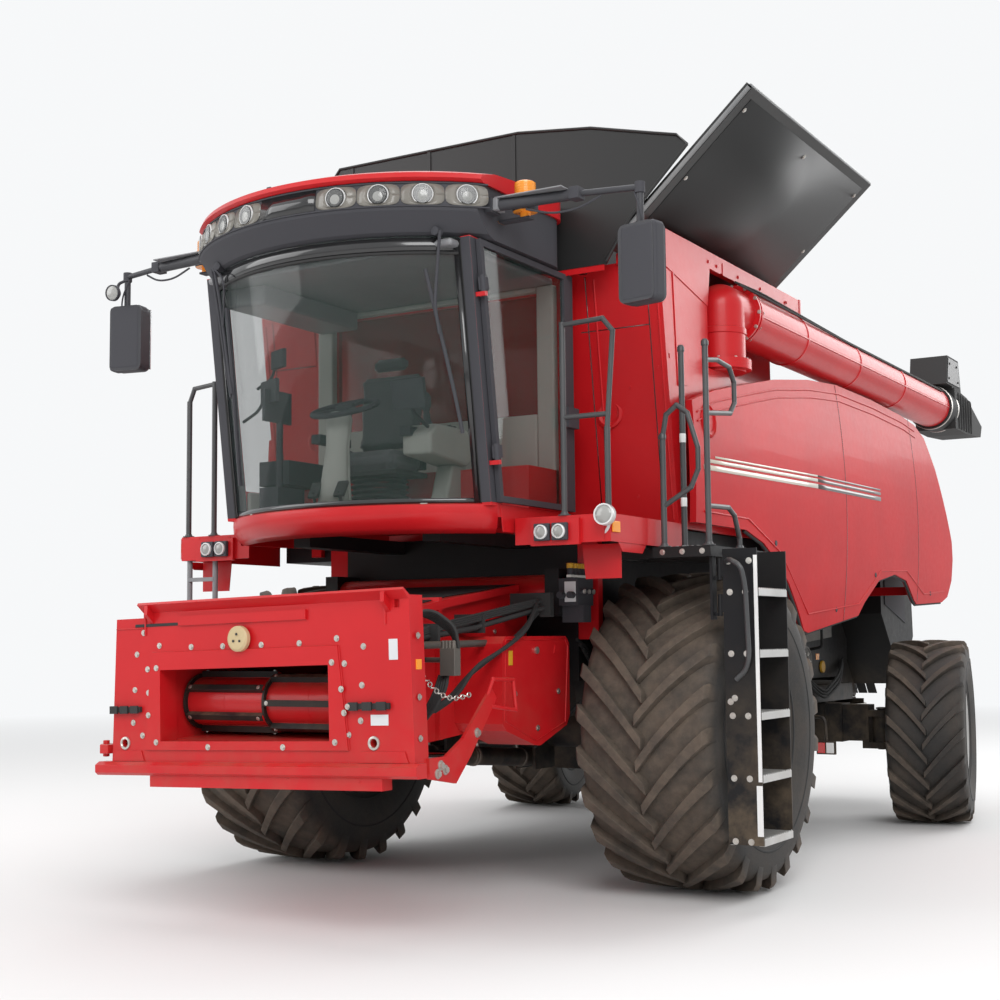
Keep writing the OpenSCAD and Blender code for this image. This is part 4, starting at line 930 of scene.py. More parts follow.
@dataclass
class HeaderFace:
    """Bolts, strips and bare plates on the frame that the header hangs on."""

    face_y: float = -2.5
    pivot: Point = FEEDER_PIVOT
    roll: float = -1.4
    bolt_places: tuple[tuple[float, float], ...] = (
        (-0.646, 1.502), (-0.419, 1.488), (-0.81, 1.459), (-0.76, 1.575), (-0.2, 1.485), (0.06, 1.484),
        (0.308, 1.484), (0.545, 1.501), (0.709, 1.456), (-0.734, 1.377), (-0.66, 1.382), (0.52, 1.382),
        (0.59, 1.374), (0.695, 1.265), (0.575, 1.248), (-0.827, 1.267), (-0.728, 1.25), (0.683, 1.09),
        (0.608, 1.021), (0.53, 0.985), (-0.841, 1.09), (-0.774, 1.021), (-0.665, 0.985), (-0.3, 0.96),
        (0.2, 0.96), (-0.72, 1.13), (0.59, 1.13))

    def on_doubler(self, x: float, z: float) -> bool:
        """Tell whether a place lies on the raised plate round the mouth.

        Args:
            x: Place across the machine.
            z: Height.

        Returns:
            True on the raised plate.
        """
        share = (z - 0.945) / 0.52
        return 0 < share < 1 and -0.75 + 0.055 * share < x < 0.61 - 0.055 * share

    def build(self) -> None:
        """Build the pieces of the header frame."""
        work = Workpiece()
        for x, z in self.bolt_places:
            y = self.face_y - (0.012 if self.on_doubler(x, z) else 0.0)
            work.bolts([(x, y, z)], AHEAD, 0.011, 0.009)
        work.turned(self.pivot, "Y", self.roll).done("face_bolts", STEEL, body=Body.HEADER)
        work = Workpiece()
        for low, high in ((-1.0, -0.775), (0.61, 0.866)):
            work.block((low, self.face_y - 0.02, 1.146), (high, self.face_y - 0.0005, 1.176))
            for k in range(3):
                x = low + (high - low) * (k + 0.5) / 3
                work.block((x - 0.028, self.face_y - 0.03, 1.14), (x + 0.028, self.face_y - 0.018, 1.182))
        work.block((-0.82, self.face_y - 0.004, 1.606), (-0.5, self.face_y - 0.0005, 1.622))
        work.turned(self.pivot, "Y", self.roll).done("rubber_stops", RUBBER, 0.003, body=Body.HEADER)
        work = Workpiece().block((0.862, self.face_y - 0.002, 1.385), (0.915, self.face_y - 0.0002, 1.487))
        work.block((0.744, self.face_y - 0.002, 1.066), (0.85, self.face_y - 0.0002, 1.119))
        work.turned(self.pivot, "Y", self.roll).done("bare_plates", PLATE, 0.0006, body=Body.HEADER)
        work = Workpiece()
        for x in (-0.9, 0.76):
            work.lathe([(0.021, 0.0), (0.036, 0.0), (0.034, 0.006), (0.024, 0.008), (0.021, 0.004)],
                       (x, self.face_y, 0.98), AHEAD, 28)
        work.bolts([(0.625, self.face_y - 0.03, 1.161)], AHEAD, 0.01, 0.008)
        work.turned(self.pivot, "Y", self.roll).done("latch_collars", STEEL, body=Body.HEADER)
        self.welds()
        self.latches()

    def welds(self) -> None:
        """Lay the weld beads and folded edges of the frame."""
        y = self.face_y
        work = Workpiece()
        for x0, z0, x1, z1 in ((-0.75, 0.945, 0.61, 0.945), (-0.75, 0.945, -0.695, 1.465),
                               (0.61, 0.945, 0.555, 1.465), (-0.695, 1.465, 0.555, 1.465), (-0.5, 1.605, 0.36, 1.605),
                               (-0.96, 1.6, -0.76, 1.6)):
            work.tube([(x0, y - 0.001, z0), (x1, y - 0.001, z1)], 0.0045, 6)
        for x in (-0.745, 0.845):
            work.tube([(x, y - 0.002, 1.56), (x, y - 0.002, 1.66)], 0.006, 6)
        for low, high in ((-0.985, -0.76), (0.66, 0.965)):
            work.plate("Y", y - 0.0005, -0.006, ((low, 0.884), (high, 0.884), (high - 0.02, 0.94),
                                                 (low + 0.02, 0.94)))
        work.turned(self.pivot, "Y", self.roll).done("weld_beads", RED, body=Body.HEADER)

    def latches(self) -> None:
        """Build the latch hooks, their pins, and the side marker."""
        work = Workpiece()
        work.bolts([(1.016, -2.3, 0.86), (1.016, -2.26, 0.835), (1.016, -2.33, 0.82), (1.016, -1.95, 1.0)],
                   LEFT, 0.017, 0.016)
        work.bolts([(1.001, -2.45, 1.2), (1.001, -2.45, 1.0), (1.001, -2.45, 1.5)], LEFT, 0.011, 0.009)
        work.turned(self.pivot, "Y", self.roll).done("latch_pins", STEEL, body=Body.HEADER)
        work = Workpiece().block((0.993, -2.46, 1.36), (1.001, -2.415, 1.41))
        work.done("side_marker", AMBER, 0.002, body=Body.HEADER)
        work = Workpiece().plate("Z", 0.9, 0.05, ((-1.06, -2.52), (-1.1, -2.47), (-1.1, -2.4), (-1.0, -2.4),
                                                  (-1.0, -2.52)))
        work.lathe([(0.0, 0.0), (0.018, 0.0), (0.018, 0.09), (0.0, 0.09)], (-1.07, -2.46, 0.88), UP, 14)
        work.done("right_latch", RED, 0.004, body=Body.HEADER)
        work = Workpiece()
        for x in (-0.62, -0.2, 0.25, 0.7):
            work.plate("X", x, 0.012, ((-2.53, 0.812), (-2.45, 0.77), (-2.45, 0.85)))
        work.done("lip_gussets", RED, 0.001, body=Body.HEADER)


@dataclass
class FeederFittings:
    """Pivot cap, hose couplers and guards on the feeder house, and a black sheet of painted shade over its top."""

    pivot: Point = FEEDER_PIVOT
    drum: Point = DRUM_CENTRE

    def build(self) -> None:
        """Build the pieces of the feeder."""
        cap = self.pivot
        work = Workpiece().lathe([(0.0, 0.038), (0.03, 0.044), (0.056, 0.044), (0.067, 0.036), (0.068, 0.014),
                                  (0.067, 0.013)], cap, AHEAD, 40)
        work.done("pivot_cap", CREAM, body=Body.FEEDER)
        work = Workpiece()
        for place in circle((cap[0], cap[1] - 0.0435, cap[2]), 0.024, 3, "Y", 90.0):
            work.lathe([(0.0, 0.0), (0.007, 0.0), (0.007, 0.003), (0.0, 0.003)], place, AHEAD, 12)
        work.done("pivot_cap_holes", GLOSS, body=Body.FEEDER)
        self.couplers()
        self.side_cover()
        self.drives()
        work = Workpiece()
        for side in (-1, 1):
            x = -0.07 + side * 0.7
            work.bolts([(x - side * 0.02, -2.376, z) for z in (0.95, 1.1, 1.25, 1.4, 1.55)], AHEAD, 0.01, 0.008)
            work.bolts([(-0.07 + side * 0.6405, y, z) for y, z in
                        ((-2.25, 1.0), (-2.1, 1.45), (-1.8, 1.05), (-1.5, 1.6), (-1.2, 1.2), (-1.0, 1.55))],
                       (side, 0, 0), 0.01, 0.008)
        work.done("feeder_bolts", STEEL, body=Body.FEEDER)
        # Painted shade: a black sheet laid over the red top of the feeder house, where that top lies in shade.
        rows = [[(x, y, z) for x in (-0.69, -0.07, 0.55)] for y, z in
                ((-2.36, 1.606), (-1.9, 1.68), (-1.5, 1.745), (-1.1, 1.79), (-0.72, 1.832))]
        Workpiece().skin(rows).done("feeder_top_painted_shade", RUBBER, shell=0.006, body=Body.FEEDER)

    def couplers(self) -> None:
        """Build the hose couplers, their dust caps and the loops of hose."""
        work = Workpiece()
        for y, z in ((-2.3, 1.37), (-2.24, 1.37), (-2.3, 1.31), (-2.24, 1.31), (-2.3, 1.27), (-2.24, 1.265)):
            work.lathe([(0.0, 0.0), (0.02, 0.0), (0.02, 0.02), (0.015, 0.024), (0.015, 0.05), (0.0, 0.052)],
                       (0.729, y, z), LEFT, 16)
        work.lathe([(0.0, 0.0), (0.032, 0.0), (0.032, 0.12), (0.0, 0.12)], (0.7, -2.335, 1.24), UP, 20)
        work.done("couplers", STEEL, 0.001, body=Body.FEEDER)
        work = Workpiece()
        for y, z in ((-2.3, 1.31), (-2.24, 1.37)):
            work.lathe([(0.017, 0.0), (0.019, 0.004), (0.019, 0.018), (0.0, 0.022)], (0.778, y, z), LEFT, 14)
        work.block((0.879, -1.37, 1.36), (0.884, -1.33, 1.44))
        work.done("dust_caps", YELLOW, 0.001, body=Body.FEEDER)
        work = Workpiece()
        loops = (
            ((0.66, -2.25, 1.4), (0.68, -2.3, 1.52), (0.72, -2.34, 1.58), (0.8, -2.32, 1.5), (0.82, -2.28, 1.34),
             (0.78, -2.26, 1.27)),
            ((0.69, -2.23, 1.4), (0.72, -2.27, 1.55), (0.77, -2.31, 1.63), (0.86, -2.3, 1.53), (0.87, -2.26, 1.36),
             (0.779, -2.24, 1.31)),
            ((0.71, -2.22, 1.4), (0.73, -2.24, 1.47), (0.78, -2.27, 1.5), (0.83, -2.27, 1.43), (0.83, -2.25, 1.37),
             (0.779, -2.24, 1.37)),
            ((0.67, -2.31, 1.25), (0.69, -2.29, 1.14), (0.74, -2.2, 1.08), (0.72, -2.05, 1.12), (0.62, -1.95, 1.2)),
            ((0.7, -2.29, 1.25), (0.72, -2.27, 1.18), (0.77, -2.2, 1.15), (0.76, -2.1, 1.2), (0.62, -2.02, 1.3)))
        for k, path in enumerate(loops):
            work.tube(path, 0.012 if k < 3 else 0.009, 10, 0.09)
        for k in range(6):
            t = 0.02 * k
            work.tube([(0.655, -2.25 + t, 1.5 - t), (0.74, -2.24 + t, 1.6 + t / 2),
                       (0.87 - t / 3, -2.14 + t / 2, 1.67 - t / 2), (0.985 - t / 2, -2.08 + t / 2, 1.57 - t / 3),
                       (0.99 - t / 2, -2.06 + t / 2, 1.46)], 0.0095, 8, 0.12)
        for k in range(5):
            t = 0.018 * k
            work.tube([(0.93 - t, -2.07 + t / 2, 1.32), (0.93 - t, -2.09, 1.25 - t / 3),
                       (0.86 - t, -2.12, 1.13 - t / 2), (0.74 - t / 2, -2.08 + t, 1.04 + t),
                       (0.655, -1.98 + t, 1.12 + t)], 0.0095, 8, 0.1)
        for k in range(4):
            t = 0.022 * k
            work.tube([(0.86, -1.0, 1.72 - t), (0.91 - t, -1.2, 1.56 - t / 2), (0.9 - t, -1.42, 1.46 - t / 2),
                       (0.83 - t, -1.64, 1.36 - t), (0.76 - t / 2, -1.72, 1.2), (0.655, -1.78 - t, 1.12)],
                      0.012, 8, 0.14)
        work.done("hose_loops", RUBBER, body=Body.FEEDER)
        work = Workpiece().tube([(0.76, -2.12, 1.475), (0.76, -1.15, 1.487)], 0.02, 12)
        work.plate("Y", -2.1, 0.06, ((0.9, 1.32), (0.99, 1.32), (0.99, 1.46), (0.9, 1.46)))
        for k in range(8):
            work.lathe([(0.0, 0.0), (0.013, 0.0), (0.013, 0.04), (0.009, 0.045), (0.0, 0.045)],
                       (0.915 + 0.02 * (k % 4), -2.085 + 0.03 * (k // 4), 1.455), UP, 12)
        work.tube([(0.645, -1.95, 1.4), (0.9, -2.05, 1.4)], 0.014, 8)
        work.done("coupler_block", CAST, 0.003, body=Body.FEEDER)
        work = Workpiece()
        for k in range(17):
            a, b = Vector((0.97, -2.42, 1.37)), Vector((1.0, -1.98, 1.22))
            spot = a.lerp(b, k / 16) - Vector((0, 0, 0.07 * math.sin(math.pi * k / 16)))
            ring = [(spot.x + (0.012 * math.sin(t) if k % 2 else 0.0), spot.y + 0.018 * math.cos(t),
                     spot.z + (0.0 if k % 2 else 0.012 * math.sin(t)))
                    for t in (math.radians(45 * j) for j in range(8))]
            work.hoop(ring, 0.0035, 5)
        work.done("stay_chain", STEEL, body=Body.HEADER)
        work = Workpiece().plate("X", 0.6, 0.012, ((-2.33, 1.23), (-2.33, 1.62), (-2.18, 1.66), (-2.15, 1.24)))
        work.done("coupler_bracket", GREY, 0.003, body=Body.FEEDER)
        work = Workpiece()
        for k in range(4):
            path = [(0.62 + 0.02 * k, -2.2, 1.43), (0.7, -1.99 + 0.01 * k, 1.53 + 0.012 * k),
                    (0.73, -1.5, 1.6 + 0.012 * k), (0.86, -1.02, 1.7 + 0.01 * k)]
            work.tube(path, 0.007, 8, 0.1)
        work.block((0.86, -0.975, 1.63), (0.93, -0.935, 1.77))
        work.done("hose_wraps", RUBBER, body=Body.FEEDER)

    def side_cover(self) -> None:
        """Dress the guard over the feeder's upper drive."""
        outline = [(0.8805, -1.42, 1.06), (0.8805, -1.07, 0.93), (0.8805, -0.72, 1.02), (0.8805, -0.68, 1.46),
                   (0.8805, -0.71, 1.5), (0.8805, -1.4, 1.5)]
        work = Workpiece().hoop(outline, 0.004, 6)
        work.block((0.88, -1.405, 1.47), (0.886, -1.25, 1.49))
        for y in (-1.33, -0.85):
            work.plate("X", 0.88, 0.004, ((y, 1.42), (y + 0.09, 1.42), (y + 0.07, 1.47), (y + 0.02, 1.47)))
        work.done("guard_edge", RED, body=Body.FEEDER)
        work = Workpiece().bolts([(0.8805, -1.3, 1.2), (0.8805, -0.8, 1.2), (0.8805, -1.05, 1.0)], LEFT, 0.012, 0.008)
        work.lathe([(0.0, 0.0), (0.02, 0.0), (0.02, 0.012), (0.0, 0.014)], (0.8805, -1.06, 1.44), LEFT, 20)
        work.done("guard_latch", STEEL, body=Body.FEEDER)

    def drives(self) -> None:
        """Build the drum bearings and the chain guard on the right side."""
        work = Workpiece()
        for side in (-1, 1):
            x = -0.07 + side * 0.67
            work.lathe([(0.0, 0.0), (0.075, 0.0), (0.075, 0.012), (0.045, 0.016), (0.042, 0.035), (0.0, 0.037)],
                       (x, self.drum[1], self.drum[2]), (side, 0, 0), 28)
            work.bolts(circle((x + side * 0.012, *self.drum[1:]), 0.058, 4, start=45.0), (side, 0, 0), 0.008, 0.008)
        work.done("drum_bearings", CAST, body=Body.FEEDER)
        work = Workpiece()
        work.plate("X", -0.745, -0.075, ((-2.3, 1.1), (-2.2, 1.02), (-1.1, 1.12), (-0.78, 1.5), (-0.85, 1.72),
                                         (-1.3, 1.66), (-2.25, 1.33), (-2.31, 1.25)))
        work.done("chain_guard", RED, 0.012, body=Body.FEEDER)
        work = Workpiece().bolts([(-0.82, y, z) for y, z in ((-2.2, 1.18), (-1.6, 1.3), (-1.05, 1.45))], (-1, 0, 0),
                                 0.012, 0.01)
        work.done("chain_guard_bolts", STEEL, body=Body.FEEDER)


@dataclass
class FeederDrum:
    """Black slats, chain rings and bolts of the front drum."""

    centre: Point = DRUM_CENTRE
    left: float = -0.635
    right: float = 0.495
    middle: float = -0.07

    def build(self) -> None:
        """Build the pieces of the drum."""
        slats, bolts, rings = Workpiece(), Workpiece(), Workpiece()
        for half in (0, 1):
            low = self.left + 0.022 if half == 0 else self.middle + 0.006
            high = self.middle - 0.006 if half == 0 else self.right - 0.022
            for k in range(6):
                a = math.radians(k * 60 + half * 30)
                y, z = self.centre[1], self.centre[2]
                slats.block((low, y + 0.1485 * -math.sin(a) - 0.0165, z + 0.1485 * math.cos(a) - 0.017),
                            (high, y + 0.1485 * -math.sin(a) + 0.0165, z + 0.1485 * math.cos(a) + 0.017),
                            k * 60 + half * 30, "X")
                out = (0.0, -math.sin(a), math.cos(a))
                bolts.bolts([(x, y + 0.165 * out[1], z + 0.165 * out[2]) for x in (low + 0.03, high - 0.03)], out,
                            0.008, 0.006)
        for x in (self.left + 0.01, self.middle - 0.007, self.right - 0.024):
            rings.lathe([(0.118, 0.0), (0.153, 0.0), (0.153, 0.014), (0.118, 0.014)], (x, *self.centre[1:]), LEFT, 40)
        slats.done("drum_slats", BLACK, 0.002, body=Body.DRUM)
        bolts.done("drum_slat_bolts", STEEL, body=Body.DRUM)
        rings.done("drum_rings", BLACK, body=Body.DRUM)
        seams = Workpiece()
        for x in (-0.36, 0.21):
            seams.lathe([(0.128, 0.0), (0.1315, 0.001), (0.1315, 0.007), (0.128, 0.008)],
                        (x, *self.centre[1:]), LEFT, 40)
        seams.done("drum_seams", RED, body=Body.DRUM)


@dataclass
class CabGlass:
    """Black edges, wipers, pillars and seals round the bowed windscreen."""

    bow: float = 1.328
    foot: float = 2.24
    lean: float = 8.0

    def place(self, angle: float, z: float, out: float = 0.0) -> Point:
        """Return a place on the windscreen's outer face.

        Args:
            angle: Angle from the middle, in degrees, towards the left side.
            z: Height.
            out: Distance in front of the glass.

        Returns:
            The place.
        """
        a, lean = math.radians(angle), math.radians(self.lean)
        deep = self.bow - (self.bow - 0.004 + out) * math.cos(a)
        rise = (z - self.foot - deep * math.sin(lean)) / math.cos(lean)
        y = -1.94 + deep * math.cos(lean) - rise * math.sin(lean)
        return ((self.bow - 0.004 + out) * math.sin(a), y, z)

    def strip(self, a0: float, a1: float, z0: float, z1: float, out: float = 0.003) -> list[list[Point]]:
        """Return rows of places of a strip on the glass.

        Args:
            a0: First angle.
            a1: Last angle.
            z0: Lower edge.
            z1: Upper edge.
            out: Distance in front of the glass.

        Returns:
            Two rows of places.
        """
        count = max(2, int(abs(a1 - a0) / 4) + 1)
        angles = [a0 + (a1 - a0) * k / (count - 1) for k in range(count)]
        return [[self.place(a, z, out) for a in angles] for z in (z0, z1)]

    def post_y(self, z: float) -> float:
        """Return the front face of a pillar at a height."""
        return -1.5 - (z - 2.23) * math.tan(math.radians(self.lean))

    def build(self) -> None:
        """Build the pieces round the cab's glass."""
        work = Workpiece()
        for rows in (self.strip(-40.5, 40.5, 2.243, 2.272), self.strip(-40.5, 40.5, 3.585, 3.672),
                     self.strip(-40.8, -39.0, 2.243, 3.67), self.strip(39.0, 40.8, 2.243, 3.67)):
            work.skin(rows)
        work.done("glass_border", GLOSS, shell=0.003)
        work = Workpiece().tube([self.place(a, 3.59, 0.006) for a in range(-40, 41, 4)], 0.009, 8)
        work.tube([self.place(-40.8, z, 0.004) for z in (2.25, 2.9, 3.66)], 0.008, 8)
        work.tube([self.place(40.8, z, 0.004) for z in (2.25, 2.9, 3.66)], 0.008, 8)
        work.done("glass_seal", RUBBER)
        work = Workpiece()
        z0, z1 = 2.245, 3.678
        work.plate("X", 0.868, 0.0635, ((self.post_y(z0) - 0.002, z0), (self.post_y(z0) - 0.122, z0),
                                        (self.post_y(z1) - 0.122, z1), (self.post_y(z1) - 0.002, z1)))
        work.mirrored().done("pillar_covers", PLASTIC, 0.006)
        self.skirt()
        self.wipers()
        self.linings()

    def skirt(self) -> None:
        """Build the red lip that runs round the front of the floor."""
        rows = []
        for z, back in ((2.246, 0.012), (2.235, -0.006), (2.2, -0.008), (2.16, 0.0), (2.115, 0.03), (2.085, 0.07)):
            row_places = []
            for k in range(-11, 12):
                a = math.radians(k * 4.05)
                reach = self.bow - back
                x = reach * math.sin(a)
                row_places.append((max(-0.932, min(0.932, x * 1.005)), -1.94 + self.bow - reach * math.cos(a), z))
            rows.append(row_places)
        Workpiece().skin(rows).done("cab_lip", RED, shell=0.006)
        work = Workpiece()
        for side in (-1, 1):
            work.plate("X", side * 0.934, side * -0.008, ((-1.53, 2.24), (-1.5, 2.09), (-0.9, 2.1), (-0.75, 2.24)))
        work.done("cab_lip_sides", RED, 0.002)

    def wipers(self) -> None:
        """Build the two wipers that hang from the top of the glass."""
        work = Workpiece()
        arms = (((-33, 3.7), (-32.5, 3.5), (-30.5, 3.1), (-29.5, 2.95)),
                ((-35, 3.7), (-34.5, 3.45), (-32, 3.1), (-30.3, 2.93)),
                ((36, 3.7), (35, 3.55), (33.5, 3.3), (34, 3.15)))
        for path in arms:
            work.tube([self.place(a, z, 0.05 if z > 3.6 else 0.035) for a, z in path], 0.009, 8, 0.05)
        for path in (((-30, 3.45), (-29.6, 3.1), (-30.5, 2.7), (-31, 2.42)),
                     ((32, 3.5), (34, 3.2), (36.3, 2.85), (37.5, 2.62))):
            blade = [self.place(a, z, 0.022) for a, z in path]
            work.tube(blade, 0.011, 6, 0.1)
            work.tube([self.place(a, z, 0.01) for a, z in path], 0.005, 6, 0.1)
        for a, z in ((-33, 3.7), (-35, 3.7), (36, 3.7)):
            work.lathe([(0.0, 0.0), (0.024, 0.0), (0.024, 0.05), (0.0, 0.055)], self.place(a, z, 0.0), AHEAD, 16)
        work.tube([self.place(-33, 3.69, 0.05), self.place(-27, 3.6, 0.045), self.place(-31, 3.35, 0.04)],
                  0.005, 6, 0.08)
        work.done("wipers", PLASTIC)

    def linings(self) -> None:
        """Line the cab: roof, rear wall, right wall and floor mat."""
        work = Workpiece().block((-0.86, -1.9, 3.62), (0.86, -0.75, 3.665))
        work.block((-0.85, -1.75, 3.5), (-0.55, -0.8, 3.62))
        work.done("headliner", GREY, 0.02)
        work = Workpiece()
        for x0, x1, z0, z1 in ((-0.88, -0.76, 2.5, 3.62), (0.76, 0.88, 2.26, 3.62), (-0.76, 0.76, 2.5, 2.845),
                               (-0.76, 0.76, 3.585, 3.62)):
            work.block((x0, -0.8, z0), (x1, -0.742, z1))
        work.block((-0.888, -1.5, 2.25), (-0.86, -0.85, 2.415))
        work.done("rear_trim", TRIM, 0.015)
        rows = [[(x, y, 2.243) for x in (-0.84, 0.0, 0.86)] for y in (-0.8, -1.2, -1.45, -1.62)]
        rows.append([(-0.6, -1.8, 2.243), (0.0, -1.9, 2.243), (0.6, -1.8, 2.243)])
        Workpiece().skin(rows).done("floor_mat", TRIM, shell=0.006)


@dataclass
class CabControls:
    """Console, screens and column cowl around the driver."""

    def build(self) -> None:
        """Build the pieces inside the cab."""
        work = Workpiece()
        work.plate("X", 0.26, 0.2, ((-1.5, 2.56), (-1.5, 2.68), (-1.42, 2.74), (-1.1, 2.74), (-1.0, 2.6),
                                    (-1.1, 2.52)))
        work.plate("X", 0.3, 0.12, ((-1.3, 2.25), (-1.2, 2.53), (-1.05, 2.53), (-0.95, 2.25)))
        work.done("arm_console", TRIM, 0.02)
        work = Workpiece()
        work.lathe([(0.0, 0.0), (0.035, 0.0), (0.022, 0.03), (0.016, 0.08), (0.03, 0.11), (0.034, 0.16), (0.02, 0.19),
                    (0.0, 0.195)], (0.36, -1.38, 2.74), (0, -0.15, 1), 20)
        work.block((0.3, -1.66, 2.8), (0.52, -1.63, 2.97), 12, "X")
        work.tube([(0.41, -1.45, 2.72), (0.41, -1.6, 2.78), (0.41, -1.64, 2.86)], 0.012, 8, 0.05)
        for k in range(8):
            work.block((0.29 + 0.04 * (k % 4), -1.25 + 0.05 * (k // 4), 2.74),
                       (0.31 + 0.04 * (k % 4), -1.225 + 0.05 * (k // 4), 2.752))
        work.done("hand_controls", PLASTIC, 0.004)
        Workpiece().block((0.31, -1.634, 2.815), (0.51, -1.628, 2.955), 12, "X").done("console_screen", GLOSS, 0.002)
        work = Workpiece()
        sections = ((2.25, 0.115, -1.78), (2.4, 0.095, -1.77), (2.6, 0.075, -1.75), (2.76, 0.085, -1.735),
                    (2.8, 0.06, -1.73))
        rows = []
        for z, half, y in sections:
            rows.append([(half * math.cos(t) * 0.9, y - 0.01 + half * 0.75 * math.sin(t), z)
                         for t in (2 * math.pi * k / 20 for k in range(21))])
        work.skin(rows).done("column_cowl", TRIM, shell=0.006)
        work = Workpiece()
        ring = [(0.19 * math.cos(t), -1.69 + 0.19 * math.sin(t) * 0.94, 2.83 + 0.19 * math.sin(t) * 0.342)
                for t in (2 * math.pi * k / 48 for k in range(48))]
        work.hoop(ring, 0.0165, 10)
        work.lathe([(0.0, 0.02), (0.05, 0.018), (0.06, 0.0), (0.06, -0.02), (0.0, -0.02)], (0.0, -1.69, 2.84),
                   (0, -0.342, 0.94), 24)
        work.tube([(0.06, -1.7, 2.8), (0.2, -1.71, 2.82), (0.23, -1.71, 2.83)], 0.008, 8)
        work.done("wheel_rim", PLASTIC)
        work = Workpiece()
        for side in (-1, 1):
            work.block((side * 0.09 - 0.035, -1.86, 2.3), (side * 0.09 + 0.035, -1.84, 2.4), -30, "X")
            work.tube([(side * 0.09, -1.85, 2.27), (side * 0.09, -1.87, 2.34)], 0.01, 8)
        work.done("pedals", RUBBER, 0.004)
        work = Workpiece()
        for x, y, z, wide in ((-0.56, -1.68, 2.98, 0.2), (-0.6, -1.55, 3.2, 0.16)):
            work.block((x - wide / 2, y - 0.014, z - wide * 0.35),
                       (x + wide / 2, y + 0.014, z + wide * 0.35), -25, "Z")
            work.tube([(x - 0.02, y + 0.01, z), (-0.7, y + 0.06, z - 0.1), (-0.83, y + 0.08, z - 0.15)],
                      0.01, 8, 0.04)
        work.block((-0.83, -1.45, 2.45), (-0.6, -1.05, 2.6))
        work.done("right_screens", PLASTIC, 0.006)


@dataclass
class DriverSeat:
    """Sprung driver's seat with a padded cushion, back and arm rests."""

    def pad(self, name: str, low: Point, high: Point, turn: float, limit: float) -> bpy.types.Object:
        """Make a crowned pad by letting cloth swell.

        Args:
            name: Name of the pad.
            low: Lowest corner before it swells.
            high: Highest corner before it swells.
            turn: Lean about X in degrees.
            limit: Furthest that a point may move, in metres.

        Returns:
            The pad.
        """
        shape = Workpiece().block(low, high, turn, "X")
        bmesh.ops.bevel(shape.mesh, geom=shape.mesh.edges[:], offset=0.028, segments=3, affect="EDGES")
        pad = shape.done(name, WEAVE)
        remesh = pad.modifiers.new("remesh", "REMESH")
        remesh.mode = "VOXEL"
        remesh.voxel_size = 0.012
        apply_modifiers(pad)
        swell(pad, limit)
        pad.data.materials.clear()
        pad.data.materials.append(WEAVE.build())
        for polygon in pad.data.polygons:
            polygon.use_smooth = True
        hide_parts("driver_seat")
        return pad

    def build(self) -> None:
        """Build the seat."""
        self.pad("seat_cushion", (-0.245, -1.54, 2.49), (0.245, -1.21, 2.59), 0, 0.016)
        self.pad("seat_back", (-0.235, -1.25, 2.62), (0.235, -1.2, 3.1), -3, 0.014)
        self.pad("head_rest", (-0.13, -1.25, 3.1), (0.13, -1.2, 3.2), -3, 0.01)
        work = Workpiece()
        for k in range(6):
            z = 2.26 + 0.032 * k
            work.lathe([(0.15, 0.0), (0.178, 0.016), (0.15, 0.032)], (0, -1.35, z), UP, 32)
        work.plate("X", -0.24, 0.48, ((-1.53, 2.455), (-1.2, 2.455), (-1.2, 2.485), (-1.53, 2.485)))
        bellows = work.done("seat_bellows", RUBBER, 0.004)
        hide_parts("driver_seat")
        work = Workpiece()
        for x in (-0.335, 0.3):
            work.tube([(x + (0.08 if x < 0 else -0.08), -1.24, 2.62), (x, -1.25, 2.66), (x, -1.3, 2.69)],
                      0.015, 8, 0.03)
            work.block((x - 0.035, -1.53, 2.67), (x + 0.035, -1.22, 2.725))
        rests = work.done("arm_rests", PLASTIC, 0.015)
        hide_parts("driver_seat")
        work = Workpiece().block((-0.19, -1.45, 2.2405), (0.19, -1.25, 2.262))
        work.block((-0.25, -1.27, 2.5), (0.25, -1.225, 2.56))
        base = work.done("seat_base", BLACK, 0.005)
        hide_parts("driver_seat")


def apply_modifiers(piece: bpy.types.Object) -> None:
    """Turn a piece's modifiers into plain mesh.

    Args:
        piece: Piece to change.
    """
    bpy.context.view_layer.update()
    seen = piece.evaluated_get(bpy.context.evaluated_depsgraph_get())
    fresh = bpy.data.meshes.new_from_object(seen)
    piece.modifiers.clear()
    piece.data = fresh


def swell(piece: bpy.types.Object, limit: float) -> None:
    """Let cloth pressure crown a pad, with a cap on how far it moves.

    Args:
        piece: Pad to swell.
        limit: Furthest that a point may move, in metres.
    """
    start = [v.co.copy() for v in piece.data.vertices]
    cloth = piece.modifiers.new("cloth", "CLOTH")
    cloth.settings.use_pressure = True
    cloth.settings.uniform_pressure_force = 4.0
    cloth.settings.effector_weights.gravity = 0.0
    for step in range(1, 13):
        bpy.context.scene.frame_set(step)
    apply_modifiers(piece)
    for vertex, first in zip(piece.data.vertices, start):
        move = vertex.co - first
        if move.length > limit:
            vertex.co = first + move * (limit / move.length)
    bpy.context.scene.frame_set(1)


